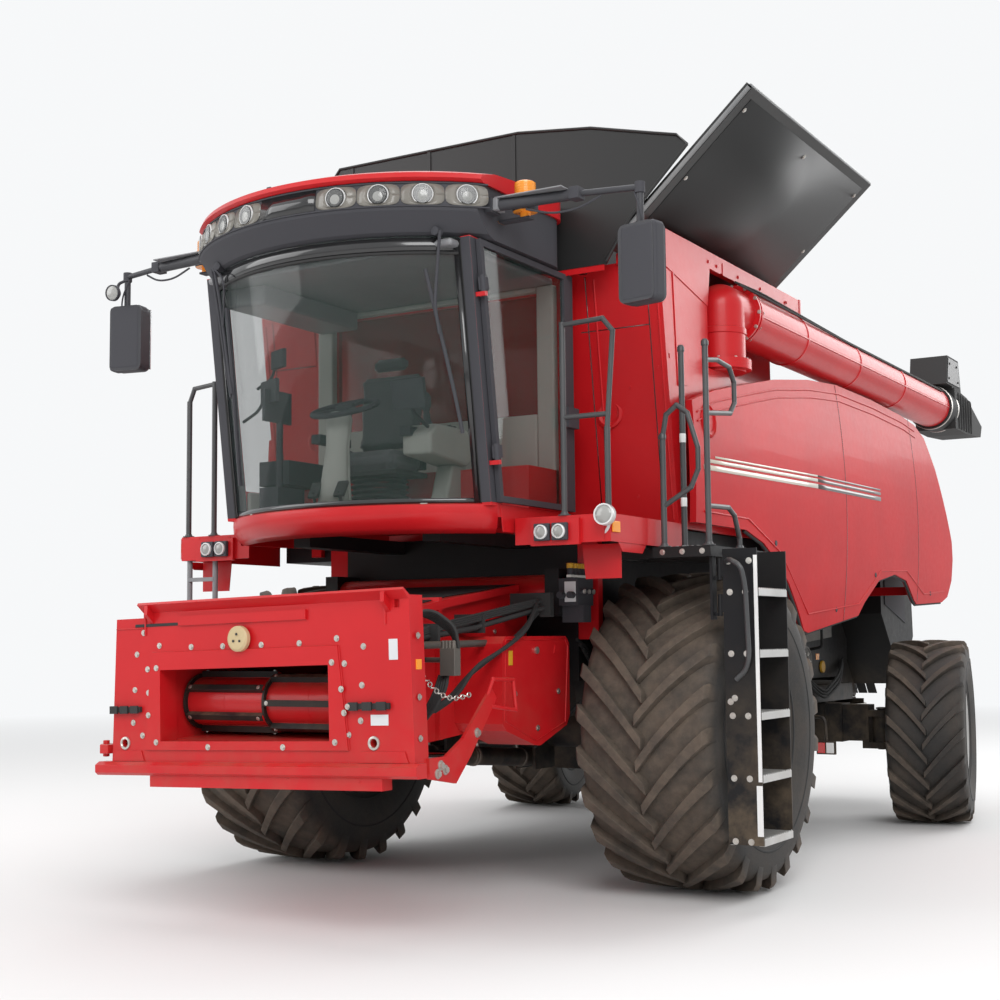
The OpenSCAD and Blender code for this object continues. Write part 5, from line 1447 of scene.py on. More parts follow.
@dataclass
class RoofBand:
    """Lamps and the bare plate on the visor's band, and the roof's ribs and aerial foot."""

    centre_y: float = -0.852
    radius: float = 1.388
    lamp_z: float = 3.888
    angles: tuple[float, ...] = (-43, -33, -23, -13, 13, 23, 33, 43)

    def place(self, angle: float, z: float, out: float = 0.0) -> Point:
        """Return a place on the visor's front band.

        Args:
            angle: Angle from the middle, in degrees, towards the left side.
            z: Height.
            out: Distance in front of the band.

        Returns:
            The place.
        """
        a = math.radians(angle)
        reach = self.radius - 0.025 * (z - 3.812) / 0.153 + out
        return (reach * math.sin(a), self.centre_y - reach * math.cos(a), z)

    def build(self) -> None:
        """Build the pieces of the band."""
        surrounds, lenses, bulbs, dishes, rings = (Workpiece() for _ in range(5))
        for middle in self.angles:
            rows: list[list[Point]] = []
            for size, out in ((0.0, 0.002), (0.25, 0.012), (0.45, 0.004), (1.0, 0.003)):
                ring = []
                for k in range(33):
                    t = 2 * math.pi * k / 32
                    c, s = math.cos(t), math.sin(t)
                    inner = (0.056 * c, 0.052 * s)
                    bulge = (abs(c) ** 4 + abs(s) ** 4) ** -0.25
                    outer = (0.1195 * c * bulge, 0.062 * s * bulge)
                    u = inner[0] + (outer[0] - inner[0]) * size
                    v = inner[1] + (outer[1] - inner[1]) * size
                    ring.append(self.place(middle + math.degrees(u / self.radius), self.lamp_z + v, out))
                rows.append(ring)
            surrounds.skin(rows)
            base = self.place(middle, self.lamp_z, 0.003)
            a = math.radians(middle)
            axis = (math.sin(a), -math.cos(a), 0.0)
            lenses.lathe([(0.05, 0.005), (0.046, 0.013), (0.03, 0.019), (0.0, 0.021)], base, axis, 28)
            dishes.lathe([(0.05, 0.0), (0.03, 0.003), (0.0, 0.004)], base, axis, 28)
            low = self.place(middle, self.lamp_z - 0.009, 0.006)
            bulbs.lathe([(0.034, 0.0), (0.027, 0.008), (0.012, 0.011), (0.0, 0.012)], low, axis, 24)
            rings.lathe([(0.05, 0.002), (0.053, 0.008), (0.057, 0.009), (0.06, 0.0)], base, axis, 36)
        surrounds.done("lamp_surrounds", PANEL, shell=0.002)
        dishes.done("lamp_dishes", GLOSS)
        rings.done("lamp_rings", SILVER)
        lenses.done("lamp_lenses", LENS)
        bulbs.done("lamp_bulbs", BULB)
        rows = [[self.place(a, z, 0.004) for a in (-7.9, -4, 0, 4, 7.9)] for z in (3.826, 3.95)]
        Workpiece().skin(rows).done("middle_plate", GLOSS, shell=0.003)
        work = Workpiece()
        for z in (3.822, 3.955):
            work.tube([self.place(a, z, 0.004) for a in range(-48, 49, 4)], 0.005, 6)
        work.done("band_lips", PLASTIC)
        work = Workpiece()
        work.plate("Z", 4.06, 0.014, ((-0.43, -1.98), (-0.27, -1.98), (-0.29, -1.88), (-0.41, -1.88)))
        work.plate("X", -0.36, 0.03, ((-1.99, 4.07), (-1.89, 4.07), (-1.91, 4.1), (-1.96, 4.12)))
        work.done("aerial_base", PLASTIC, 0.004)
        work = Workpiece()
        for x in (-0.5, 0.0, 0.5):
            work.tube([(x, -1.8, 4.078 - abs(x) * 0.03), (x, -1.3, 4.089 - abs(x) * 0.02),
                       (x, -1.0, 4.089 - abs(x) * 0.02)], 0.008, 6)
        work.done("roof_ribs", RED)


@dataclass
class MirrorArms:
    """Mirror glass, clamps, work lamps and beacon feet at the cab's upper corners."""

    def build(self) -> None:
        """Build the pieces on both arms."""
        work = Workpiece().block((1.715, -1.494, 3.262), (1.925, -1.488, 3.655), -12)
        work.mirrored().done("mirror_glass", CHROME, 0.002)
        work = Workpiece().block((1.708, -1.61, 3.245), (1.948, -1.5, 3.672), -12)
        work.mirrored().done("mirror_backs", PLASTIC, 0.03)
        work = Workpiece()
        for z in (3.36, 3.55):
            work.block((1.8, -1.6, z - 0.02), (1.856, -1.545, z + 0.02))
        work.lathe([(0.0, 0.0), (0.028, 0.0), (0.028, 0.06), (0.0, 0.06)], (1.828, -1.57, 3.83), UP, 18)
        work.block((1.46, -1.68, 3.83), (1.52, -1.6, 3.895))
        work.tube([(1.2, -1.68, 3.815), (1.35, -1.66, 3.77), (1.5, -1.64, 3.78), (1.62, -1.61, 3.84)], 0.007, 6, 0.1)
        work.tube([(1.86, -1.58, 3.5), (1.85, -1.6, 3.72), (1.8, -1.58, 3.84)], 0.006, 6, 0.06)
        work.mirrored().done("arm_clamps", PLASTIC, 0.004)
        work = Workpiece().block((1.035, -1.74, 3.885), (1.45, -1.62, 3.893))
        work.block((1.03, -1.745, 3.82), (1.06, -1.66, 3.885))
        work.mirrored().done("arm_plates", GREY, 0.003)
        work = Workpiece()
        for z in (3.931, 3.945, 3.959, 3.973):
            work.lathe([(0.0575, 0.0), (0.0595, 0.003), (0.0595, 0.005), (0.0575, 0.008)], (*BEACON[:2], z), UP, 32)
        work.lathe([(0.058, 0.0), (0.05, 0.006), (0.02, 0.009), (0.0, 0.009)], (*BEACON[:2], 3.99), UP, 32)
        work.mirrored().done("beacon_lenses", AMBER)
        work = Workpiece()
        work.lathe([(0.069, 0.0), (0.071, 0.01), (0.071, 0.085), (0.062, 0.098), (0.059, 0.1)], BEACON, UP, 32)
        work.block((0.986, -1.612, 3.787), (1.182, -1.548, 3.8005))
        work.mirrored().done("beacon_feet", PLASTIC, 0.003)
        work = Workpiece()
        work.lathe([(0.0, 0.0), (0.03, 0.0), (0.052, 0.03), (0.052, 0.055), (0.047, 0.055), (0.044, 0.035)],
                   (-1.87, -1.62, 3.75), (0.1, -1, -0.1), 24)
        work.tube([(-1.83, -1.58, 3.84), (-1.88, -1.6, 3.82), (-1.88, -1.61, 3.76)], 0.01, 8, 0.02)
        work.done("arm_lamp", PLASTIC)
        Workpiece().lathe([(0.046, 0.0), (0.03, 0.008), (0.0, 0.01)], (-1.865, -1.67, 3.745), (0.1, -1, -0.1),
                          24).done("arm_lamp_glass", BULB)


@dataclass
class Access:
    """Ladder, landing, rails and the lamps on the walkway's front."""

    plate_y: float = -0.8
    plate_x: float = 1.925
    step_heights: tuple[float, ...] = (0.41, 0.748, 1.086, 1.424, 1.762)

    def build(self) -> None:
        """Build the pieces that a driver climbs on."""
        treads, bolts = Workpiece(), Workpiece()
        x0, x1 = self.plate_x + 0.004, self.plate_x + 0.2
        for z in self.step_heights:
            treads.block((x1 - 0.03, -0.788, z - 0.034), (x1 + 0.004, -0.352, z + 0.004))
            treads.block((x0, -0.788, z - 0.034), (x0 + 0.02, -0.352, z + 0.004))
            for k in range(9):
                y = -0.775 + 0.051 * k
                treads.block((x0, y, z - 0.004), (x1, y + 0.022, z + 0.005))
            for k in range(14):
                y = -0.775 + 0.031 * k
                treads.plate("X", x1, -0.006, ((y, z + 0.003), (y + 0.024, z + 0.003), (y + 0.012, z + 0.012)))
            bolts.bolts([(self.plate_x + 0.04, self.plate_y, z - 0.012),
                         (self.plate_x + 0.13, self.plate_y, z - 0.012)], AHEAD, 0.012, 0.008)
        for x, z in ((1.96, 1.92), (2.08, 1.92), (1.98, 1.17), (1.955, 1.15)):
            bolts.bolts([(x, self.plate_y, z)], AHEAD, 0.012, 0.008)
        treads.done("ladder_treads", STEP, 0.001, body=Body.LADDER)
        bolts.done("ladder_bolts", STEEL, body=Body.LADDER)
        work = Workpiece().block((2.094, -0.8035, 0.43), (2.127, -0.7995, 0.7))
        work.block((2.105, -0.8015, 0.72), (2.127, -0.7995, 1.95))
        work.done("ladder_edge_band", BAND, 0.0005, body=Body.LADDER)
        work = Workpiece()
        work.tube([(1.94, -0.79, 1.92), (1.99, -0.86, 1.93), (2.06, -0.87, 1.89), (2.075, -0.85, 1.78),
                   (2.08, -0.83, 1.4), (2.05, -0.805, 1.32), (1.99, -0.8, 1.27)], 0.0145, 10, 0.06)
        work.tube([(1.99, -0.335, 1.95), (1.99, -0.3, 1.99), (2.0, -0.24, 1.9), (2.05, -0.2, 1.5),
                   (2.02, -0.25, 1.28), (1.99, -0.335, 1.2)], 0.0145, 10, 0.05)
        work.done("ladder_rails", RAIL, body=Body.LADDER)
        work = Workpiece().tube([(2.012, -0.232, 1.82), (2.028, -0.217, 1.7)], 0.0165, 12)
        work.tube([(2.033, -0.213, 1.66), (2.048, -0.2, 1.53)], 0.0165, 12)
        work.done("rail_bands", BAND, body=Body.LADDER)
        self.landing()
        self.walkway_front()

    def landing(self) -> None:
        """Dress the landing and the rails."""
        work = Workpiece()
        for ix in range(7):
            for iy in range(16):
                x, y = 1.57 + 0.045 * ix, -0.85 + 0.05 * iy
                work.block((x, y, 2.0095), (x + 0.028, y + 0.01, 2.0135), 45 if (ix + iy) % 2 else -45)
        work.done("landing_tread", STEP)
        work = Workpiece().bolts([(x, -0.8805, 1.98) for x in (1.6, 1.72, 1.84)], AHEAD, 0.011, 0.008)
        work.bolts([(1.8905, y, 1.98) for y in (-0.7, -0.45, -0.2)], LEFT, 0.011, 0.008)
        work.done("landing_bolts", STEEL)
        work = Workpiece()
        for x, y, z in ((1.87, -0.85, 3.15), (1.64, -0.66, 3.17), (1.6, -0.85, 2.64)):
            work.lathe([(0.0, 0.022), (0.013, 0.018), (0.021, 0.006), (0.0215, -0.018), (0.0175, -0.02)],
                       (x, y, z), UP, 16)
        for place in ((1.87, -0.85, 2.0105), (1.64, -0.66, 2.0105), (1.6, -0.85, 2.0105), (1.87, -0.4, 2.0105),
                      (1.25, -1.38, 2.1705), (1.518, -1.38, 2.1705), (-1.25, -1.38, 2.1705), (-1.46, -1.38, 2.1705)):
            work.lathe([(0.017, 0.0), (0.036, 0.0), (0.036, 0.006), (0.024, 0.008), (0.019, 0.02)], place, UP, 20)
        work.done("rail_caps", RAIL)
        work = Workpiece()
        for z in (2.25, 2.62):
            work.lathe([(0.0175, 0.0), (0.0185, 0.002), (0.0185, 0.05), (0.0175, 0.052)], (1.64, -0.66, z), UP, 14)
        work.done("post_bands", BAND)
        work = Workpiece()
        for x in (1.0, -1.48):
            for ix in range(9):
                for iy in range(13):
                    work.block((x + 0.055 * ix, -1.34 + 0.07 * iy, 2.1695),
                               (x + 0.03 + 0.055 * ix, -1.328 + 0.07 * iy, 2.174), 45 if (ix + iy) % 2 else -45)
        work.done("walkway_tread", RED)

    def walkway_front(self) -> None:
        """Build the twin lamps, the round lamps and the markers."""
        cups, glasses, rims = Workpiece(), Workpiece(), Workpiece()
        for x in (1.14, 1.25):
            cups.block((x - 0.048, -1.45, 2.035), (x + 0.048, -1.4245, 2.13))
            rims.lathe([(0.03, 0.0), (0.04, 0.0), (0.04, 0.012), (0.033, 0.016)], (x, -1.449, 2.083), AHEAD, 24)
            glasses.lathe([(0.035, 0.006), (0.025, 0.012), (0.0, 0.015)], (x, -1.449, 2.083), AHEAD, 24)
        cups.mirrored().done("twin_lamp_boxes", PLASTIC, 0.006)
        rims.mirrored().done("twin_lamp_rims", SILVER)
        glasses.mirrored().done("twin_lamp_glass", BULB)
        work = Workpiece()
        work.lathe([(0.0, 0.0), (0.045, 0.0), (0.058, 0.02), (0.058, 0.06), (0.05, 0.062), (0.046, 0.04)],
                   (1.53, -1.41, 2.155), (0, -1, 0.1), 28)
        work.tube([(1.53, -1.39, 2.17), (1.53, -1.4, 2.1), (1.5, -1.39, 2.06)], 0.01, 8, 0.02)
        work.done("corner_lamp", SILVER)
        Workpiece().lathe([(0.05, 0.0), (0.04, 0.008), (0.0, 0.012)], (1.53, -1.465, 2.161), (0, -1, 0.1), 24).done(
            "corner_lamp_glass", BULB)
        work = Workpiece().block((1.5405, -1.39, 2.07), (1.549, -1.3, 2.13))
        work.block((-1.512, -1.39, 2.07), (-1.5005, -1.3, 2.13))
        work.done("walkway_markers", AMBER, 0.003)
        work = Workpiece()
        work.plate("Y", -1.2, 0.006, ((1.28, 1.83), (1.5, 1.83), (1.5, 2.02), (1.26, 2.02)))
        work.plate("X", 1.53, 0.005, ((-1.3, 2.02), (-0.95, 2.02), (-1.0, 1.97), (-1.25, 1.97)))
        for x in (1.1, 1.35, 1.5):
            work.plate("Y", -1.4005, -0.003, ((x, 2.03), (x + 0.004, 2.03), (x + 0.004, 2.16), (x, 2.16)))
        work.mirrored().done("walkway_brackets", RED, 0.001)


@dataclass
class SideShields:
    """Seams, stripes, edges and catches of the two bowed side shields."""

    half_w: float = 1.5
    bow: float = 0.07
    middle: float = 2.45
    thick: float = 0.04

    def surface(self, z: float) -> float:
        """Return X of a shield's outer face at a height."""
        return self.half_w + 0.004 + self.bow * (1 - ((z - self.middle) / 0.96) ** 2) + self.thick

    def band(self, line: Sequence[tuple[float, float]], tall: float, out: float = 0.002) -> list[list[Point]]:
        """Return rows of places of a band along the shield.

        Args:
            line: Y and Z along the lower edge.
            tall: Height of the band.
            out: Distance in front of the shield.

        Returns:
            Rows of places.
        """
        return [[(self.surface(z + tall * k / 2) + out, y, z + tall * k / 2) for y, z in line] for k in range(3)]

    def build(self) -> None:
        """Build the pieces on both shields."""
        pale, dark = Workpiece(), Workpiece()
        for z, tall, start, end in ((2.5, 0.032, -0.3, 1.75), (2.548, 0.022, -0.22, 1.75),
                                    (2.584, 0.012, -0.12, 1.75)):
            pale.skin(self.band([(start + (end - start) * k / 8, z + 0.05 * k / 8) for k in range(9)], tall))
        for z, tall in ((2.55, 0.032), (2.598, 0.022), (2.634, 0.012)):
            dark.skin(self.band([(1.75 + 1.5 * k / 8, z + 0.02 * k / 8) for k in range(9)], tall))
        pale.mirrored().done("pale_stripes", STRIPE, shell=0.001)
        dark.mirrored().done("dark_stripes", STRIPE_DARK, shell=0.001)
        seam = Workpiece()
        for y, z0, z1 in ((2.38, 1.62, 3.385), (4.3, 1.8, 3.36)):
            seam.skin([[(self.surface(z0 + (z1 - z0) * k / 16) + 0.001, y + e, z0 + (z1 - z0) * k / 16)
                        for k in range(17)] for e in (0.0, 0.007)])
        seam.mirrored().done("shield_seams", GLOSS, shell=0.001)
        upper = ((-0.36, 2.9), (-0.06, 3.0), (0.51, 3.12), (1.06, 3.23), (1.76, 3.325), (2.43, 3.385), (3.29, 3.388),
                 (4.1, 3.365), (4.45, 3.33))
        waist = ((-0.3, 2.25), (0.4, 2.25), (1.0, 2.06), (1.6, 1.66), (2.72, 1.75), (3.25, 2.02), (3.96, 2.04),
                 (4.5, 1.86), (5.15, 1.9))
        ridge = Workpiece()
        for offset in (0.06, 0.115):
            ridge.tube([(self.surface(z - offset) + 0.001, y, z - offset) for y, z in upper], 0.006, 6)
        ridge.tube([(self.surface(z) + 0.001, y, z) for y, z in waist], 0.006, 6)
        ridge.mirrored().done("shield_ridges", SHIELD)
        edge = Workpiece()
        lower = ((0.37, 2.178), (0.68, 2.11), (0.97, 1.99), (1.18, 1.86), (1.38, 1.7), (1.55, 1.545), (1.64, 1.53),
                 (2.73, 1.66), (2.86, 1.76), (3.2, 1.94), (3.62, 2.0), (3.96, 1.96), (4.22, 1.8),
                 (4.3, 1.77), (5.1, 1.8))
        edge.tube([(self.surface(z) - 0.02, y, z - 0.004) for y, z in lower], 0.012, 8)
        edge.mirrored().done("shield_edge_rubber", RUBBER)
        boss = Workpiece()
        x = self.surface(2.81)
        boss.lathe([(0.075, -0.002), (0.09, 0.004), (0.095, 0.012), (0.105, 0.008), (0.11, -0.002)], (x, -0.19, 2.81),
                   (1, 0, 0.1), 36)
        boss.mirrored().done("shield_boss", SHIELD)
        catch = Workpiece()
        for y, z in ((0.9, 2.12), (2.2, 1.7), (3.1, 1.98), (4.7, 1.87)):
            catch.lathe([(0.0, 0.004), (0.018, 0.004), (0.02, 0.0)], (self.surface(z), y, z), LEFT, 20)
        catch.mirrored().done("shield_catches", PLASTIC)


@dataclass
class TankDetails:
    """Seams, ribs, edge beams, cover frames and hinges of the grain tank."""

    lean: float = 48.0
    hinge: Point = (1.24, -0.77, 3.78)

    def front_y(self, z: float) -> float:
        """Return Y of the tank's front face at a height."""
        return -0.42 - 0.23 * (z - 2.15) / 1.78

    def build(self) -> None:
        """Build the pieces of the tank and its covers."""
        work = Workpiece()
        for x in (1.405, 1.0):
            work.skin([[(x + e, self.front_y(z) - 0.001, z) for z in (2.2, 2.8, 3.4, 3.68)] for e in (0.0, 0.006)])
        work.skin([[(x, self.front_y(3.35) - 0.001, 3.35 + e) for x in (0.95, 1.2, 1.405)] for e in (0.0, 0.006)])
        work.mirrored().done("tank_seams", GLOSS, shell=0.001)
        work = Workpiece()
        for x in (1.06, 1.47):
            work.tube([(x, self.front_y(2.2) - 0.001, 2.2), (x, self.front_y(3.66) - 0.001, 3.66)], 0.007, 6)
        work.lathe([(0.05, 0.0), (0.07, 0.008), (0.085, 0.004), (0.088, 0.0)],
                   (1.1, self.front_y(2.85), 2.85), AHEAD, 32)
        for low, high in ((0.04, 0.3), (0.34, 1.1)):
            work.plate("X", 1.5005, 0.004, ((low, 3.82), (high, 3.82), (high, 3.9), (low, 3.9)))
        work.block((1.42, 1.78, 3.815), (1.5045, 1.806, 3.935))
        work.mirrored().done("tank_ridges", RED, 0.001)
        work = Workpiece().bolts([(1.25, self.front_y(z), z) for z in (2.35, 3.0)], AHEAD, 0.008, 0.005)
        work.bolts([(1.44, self.front_y(z), z) for z in (2.3, 2.7, 3.1, 3.5)], AHEAD, 0.008, 0.005)
        work.bolts([(1.5045, y, 3.86) for y in (0.1, 0.24, 0.6, 1.0, 1.5)], LEFT, 0.01, 0.008)
        work.mirrored().done("tank_bolts", RED)
        work = Workpiece()
        work.plate("X", 1.5, 0.006, ((-0.45, 3.7), (-0.2, 3.3), (-0.26, 3.02), (-0.4, 3.0)))
        work.plate("X", 1.5, 0.005, ((-0.56, 3.92), (0.14, 3.92), (0.08, 3.57), (-0.55, 3.7)))
        work.mirrored().done("corner_panels", RED, 0.002)
        self.covers()
        self.hood()
        self.filling()

    def covers(self) -> None:
        """Build the frames, stays and seals of the folding covers."""
        def leaf(u: float, y: float, w: float) -> Point:
            """Return a place on the open left cover.

            Args:
                u: Distance from the hinge up the leaf.
                y: Place along the machine.
                w: Distance above the leaf.

            Returns:
                The place.
            """
            a = math.radians(self.lean)
            return (self.hinge[0] + u * math.sin(a) + w * math.cos(a), y,
                    self.hinge[2] + u * math.cos(a) - w * math.sin(a))
        work = Workpiece()
        y0, y1 = self.hinge[1], self.hinge[1] + COVER_LONG
        for path in ((leaf(0.03, y0 - 0.003, 0.0), leaf(1.215, y0 - 0.003, 0.0)),
                     (leaf(1.222, y0, 0.0), leaf(1.222, y1, 0.0)),
                     (leaf(1.215, y1 + 0.003, 0.0), leaf(0.03, y1 + 0.003, 0.0))):
            work.tube(path, 0.014, 8)
        work.done("open_cover_rim", EDGE, body=Body.COVER_LEFT)
        work = Workpiece()
        for u in (0.35, 0.8):
            corners = [leaf(u, y0 + 0.07, -0.018), leaf(u + 0.05, y0 + 0.07, -0.018),
                       leaf(u + 0.05, y1 - 0.07, -0.018), leaf(u, y1 - 0.07, -0.018)]
            work.prism(corners, tuple(Vector(leaf(0, 0, -0.022)) - Vector(leaf(0, 0, 0))))
        for y in (y0 + 0.75, y0 + 1.45):
            corners = [leaf(0.05, y, -0.018), leaf(1.2, y, -0.018), leaf(1.2, y + 0.05, -0.018),
                       leaf(0.05, y + 0.05, -0.018)]
            work.prism(corners, tuple(Vector(leaf(0, 0, -0.018)) - Vector(leaf(0, 0, 0))))
        work.done("open_cover_ribs", COVER, 0.004, body=Body.COVER_LEFT)
        work = Workpiece()
        work.skin([[leaf(u, y, 0.0195) for u in (0.06, 0.6, 1.17)] for y in (y0 + 0.08, y0 + 1.1, y1 - 0.08)])
        work.done("open_cover_lining", COVER, shell=0.003, body=Body.COVER_LEFT)
        spots = ((0.12, 0.1), (0.12, 1.1), (0.12, 2.1), (1.1, 0.1), (1.1, 1.1), (1.1, 2.1), (0.6, 0.1), (0.6, 2.1))
        out = Vector(leaf(0, 0, 1)) - Vector(leaf(0, 0, 0))
        work = Workpiece().bolts([leaf(u, y0 + v, 0.021) for u, v in spots], tuple(out), 0.01, 0.006)
        work.done("open_cover_bolts", STEEL, body=Body.COVER_LEFT)
        work = Workpiece()
        for y in (-0.5, 0.33, 1.16):
            work.block((-0.88, y - 0.025, 3.798), (-0.05, y + 0.025, 3.812))
        work.tube([(-1.1, y0 + 0.015, 3.79), (-0.022, y0 + 0.015, 3.79)], 0.011, 8)
        work.done("closed_cover_ribs", COVER, 0.003, body=Body.COVER_RIGHT)
        work = Workpiece()
        for y in (-0.6, 1.3):
            work.tube([(1.26, y, 3.74), (1.3, y, 3.7)], 0.012, 8)
        work.done("stay_feet", BLACK)

    def hood(self) -> None:
        """Build the rims, ribs and clamp of the fixed black extensions."""
        work = Workpiece()
        y = self.hinge[1] - 0.027
        outline = ((-1.236, 3.98), (-0.7, 4.598), (0.65, 4.598), (1.15, 4.538), (1.54, 4.438), (1.7, 4.398),
                   (1.768, 4.33), (1.4, 3.96), (1.236, 3.72))
        work.tube([(x, y, z - 0.008) for x, z in outline], 0.01, 8)
        for x, z0, z1 in ((-0.6, 3.72, 4.58), (0.0, 3.72, 4.59), (0.62, 3.72, 4.58)):
            work.block((x - 0.012, y - 0.006, z0), (x + 0.012, y + 0.004, z1))
        work.done("front_hood_rim", COVER, 0.002)
        work = Workpiece()
        work.plate("Y", y + 0.013, -0.008, ((-1.22, 3.7), (1.22, 3.7), (1.22, 3.66), (-1.22, 3.66)))
        work.bolts([(x, y + 0.005, 3.68) for x in (-1.1, -0.7, -0.3, 0.1, 0.5, 0.9)], AHEAD, 0.009, 0.006)
        work.done("front_hood_clamp", RED)
        work = Workpiece()
        y = self.hinge[1] + COVER_LONG + 0.034
        outline = ((-1.22, 3.72), (-1.236, 4.0), (-0.65, 4.597), (0.65, 4.597), (1.55, 4.377), (1.695, 4.24),
                   (1.236, 3.79))
        work.tube([(x, y, z - 0.006) for x, z in outline], 0.009, 8)
        work.done("rear_hood_rim", COVER)

    def filling(self) -> None:
        """Build the filling auger, its cross braces and the auger covers in the tank."""
        work = Workpiece().tube([(0.0, 1.65, 2.25), (0.0, 0.9, 3.2), (0.0, 0.75, 3.35)], 0.1, 20)
        for k in range(26):
            t0, t1 = k * 0.7, (k + 1) * 0.7
            rows = []
            for r in (0.03, 0.13):
                rows.append([(r * math.cos(t), 0.75 - 0.012 * t, 3.38 + 0.016 * t + r * math.sin(t) * 0.5)
                             for t in (t0 + (t1 - t0) * j / 4 for j in range(5))])
            work.skin(rows)
        work.done("filling_auger", CAST)
        work = Workpiece().tube([(-1.46, 0.62, 3.3), (1.17, 0.62, 3.3)], 0.022, 10)
        work.tube([(-1.46, 1.1, 2.9), (1.17, 1.1, 2.9)], 0.022, 10)
        work.done("tank_braces", RED)
        work = Workpiece()
        for x in (-0.9, -0.3, 0.3, 0.9):
            work.plate("X", x, 0.01, ((0.46, 2.22), (0.72, 2.42), (0.98, 2.22)))
        work.plate("X", -1.3, 2.45, ((0.5, 2.26), (0.7, 2.44), (0.9, 2.26)))
        work.done("auger_covers", CAST)


@dataclass
class AugerDetails:
    """Flange, seams, saddle, spout sleeve and hoses of the unloading auger."""

    x: float = 1.48
    z: float = 3.6
    start: float = 0.56
    end: float = 5.4
    elbow_y: float = 0.33

    def build(self) -> None:
        """Build the pieces of the auger."""
        work = Workpiece()
        for y in (self.start - 0.02, self.start + 0.042):
            work.bolts(circle((self.x, y, self.z), 0.188, 12, "Y"), (0, -1 if y < self.start else 1, 0), 0.009, 0.01)
        work.bolts(circle((self.x, self.elbow_y, 3.2585), 0.178, 10, "Z"), UP, 0.009, 0.008)
        work.done("flange_bolts", STEEL, body=Body.AUGER)
        work = Workpiece()
        for y in (1.5, 2.7, 3.9):
            work.lathe([(0.179, 0.0), (0.186, 0.004), (0.186, 0.03), (0.179, 0.034)], (self.x, y, self.z), BACK, 48)
        work.tube([(self.x + 0.181, self.start + 0.05, self.z - 0.02),
                   (self.x + 0.181, self.end - 0.1, self.z - 0.02)], 0.005, 6)
        work.plate("X", self.x - 0.012, 0.024, ((0.6, 3.775), (0.75, 3.775), (0.72, 3.84), (0.63, 3.84)))
        for x, y, z in circle((self.x, self.elbow_y, 3.26), 0.161, 6, "Z", 40.0)[:4]:
            work.tube([(x, y, z), (x, y, 3.58)], 0.006, 6)
        work.lathe([(0.16, 0.0), (0.168, 0.004), (0.168, 0.04), (0.16, 0.044)], (self.x, self.elbow_y, 3.42), UP, 44)
        work.done("auger_ribs", RED, body=Body.AUGER)
        work = Workpiece()
        work.tube([(self.x + 0.1, 0.36, 3.77), (self.x + 0.14, 0.7, 3.76), (self.x + 0.13, 2.5, 3.735),
                   (self.x + 0.13, 5.2, 3.735)], 0.008, 8, 0.1)
        work.tube([(self.x + 0.125, 0.36, 3.75), (self.x + 0.16, 0.7, 3.73), (self.x + 0.145, 2.5, 3.72),
                   (self.x + 0.145, 5.2, 3.72)], 0.007, 8, 0.1)
        work.done("auger_hoses", RUBBER, body=Body.AUGER)
        work = Workpiece()
        r = 0.2015
        for y in (5.33, 5.56):
            work.lathe([(r - 0.001, 0.0), (r + 0.003, 0.001), (r + 0.003, 0.02), (r - 0.001, 0.021)],
                       (self.x, y, self.z), BACK, 48)
        work.done("spout_clamps", STEEL, body=Body.AUGER)
        work = Workpiece()
        for k in range(6):
            y = 5.62 + 0.09 * k
            tall = 0.186 - 0.006 * k
            work.tube([(self.x + 0.187, y, self.z - 0.18), (self.x + 0.19, y, self.z),
                       (self.x + 0.187, y, self.z + tall - 0.02), (self.x, y, self.z + tall + 0.003),
                       (self.x - 0.187, y, self.z + tall - 0.02), (self.x - 0.19, y, self.z),
                       (self.x - 0.187, y, self.z - 0.18)], 0.009, 8, 0.03)
        work.done("spout_folds", RUBBER, body=Body.AUGER)
        work = Workpiece()
        work.plate("X", self.x + 0.171, 0.005, ((5.3, 3.82), (5.36, 4.05), (5.7, 4.05), (5.74, 3.82)))
        work.block((self.x - 0.16, 5.38, 4.07), (self.x + 0.16, 5.7, 4.075))
        work.bolts([(self.x + 0.176, y, z) for y, z in ((5.36, 3.86), (5.68, 3.86), (5.4, 4.0), (5.64, 4.0))], LEFT,
                   0.01, 0.008)
        work.done("spout_motor_cover", COVER, 0.002, body=Body.AUGER)
        work = Workpiece()
        work.plate("Y", 4.148, -0.01, ((1.3, 3.33), (1.4, 3.33), (1.38, 3.41), (1.32, 3.41)))
        work.bolts([(1.38, 4.19, 3.35)], LEFT, 0.012, 0.01)
        work.tube([(1.22, 0.1, 3.22), (1.3, 0.12, 3.26), (1.34, 0.2, 3.24)], 0.018, 10, 0.03)
        work.block((1.2, 0.42, 3.181), (1.3, 0.56, 3.24))
        work.done("auger_cradle", BLACK, 0.003)


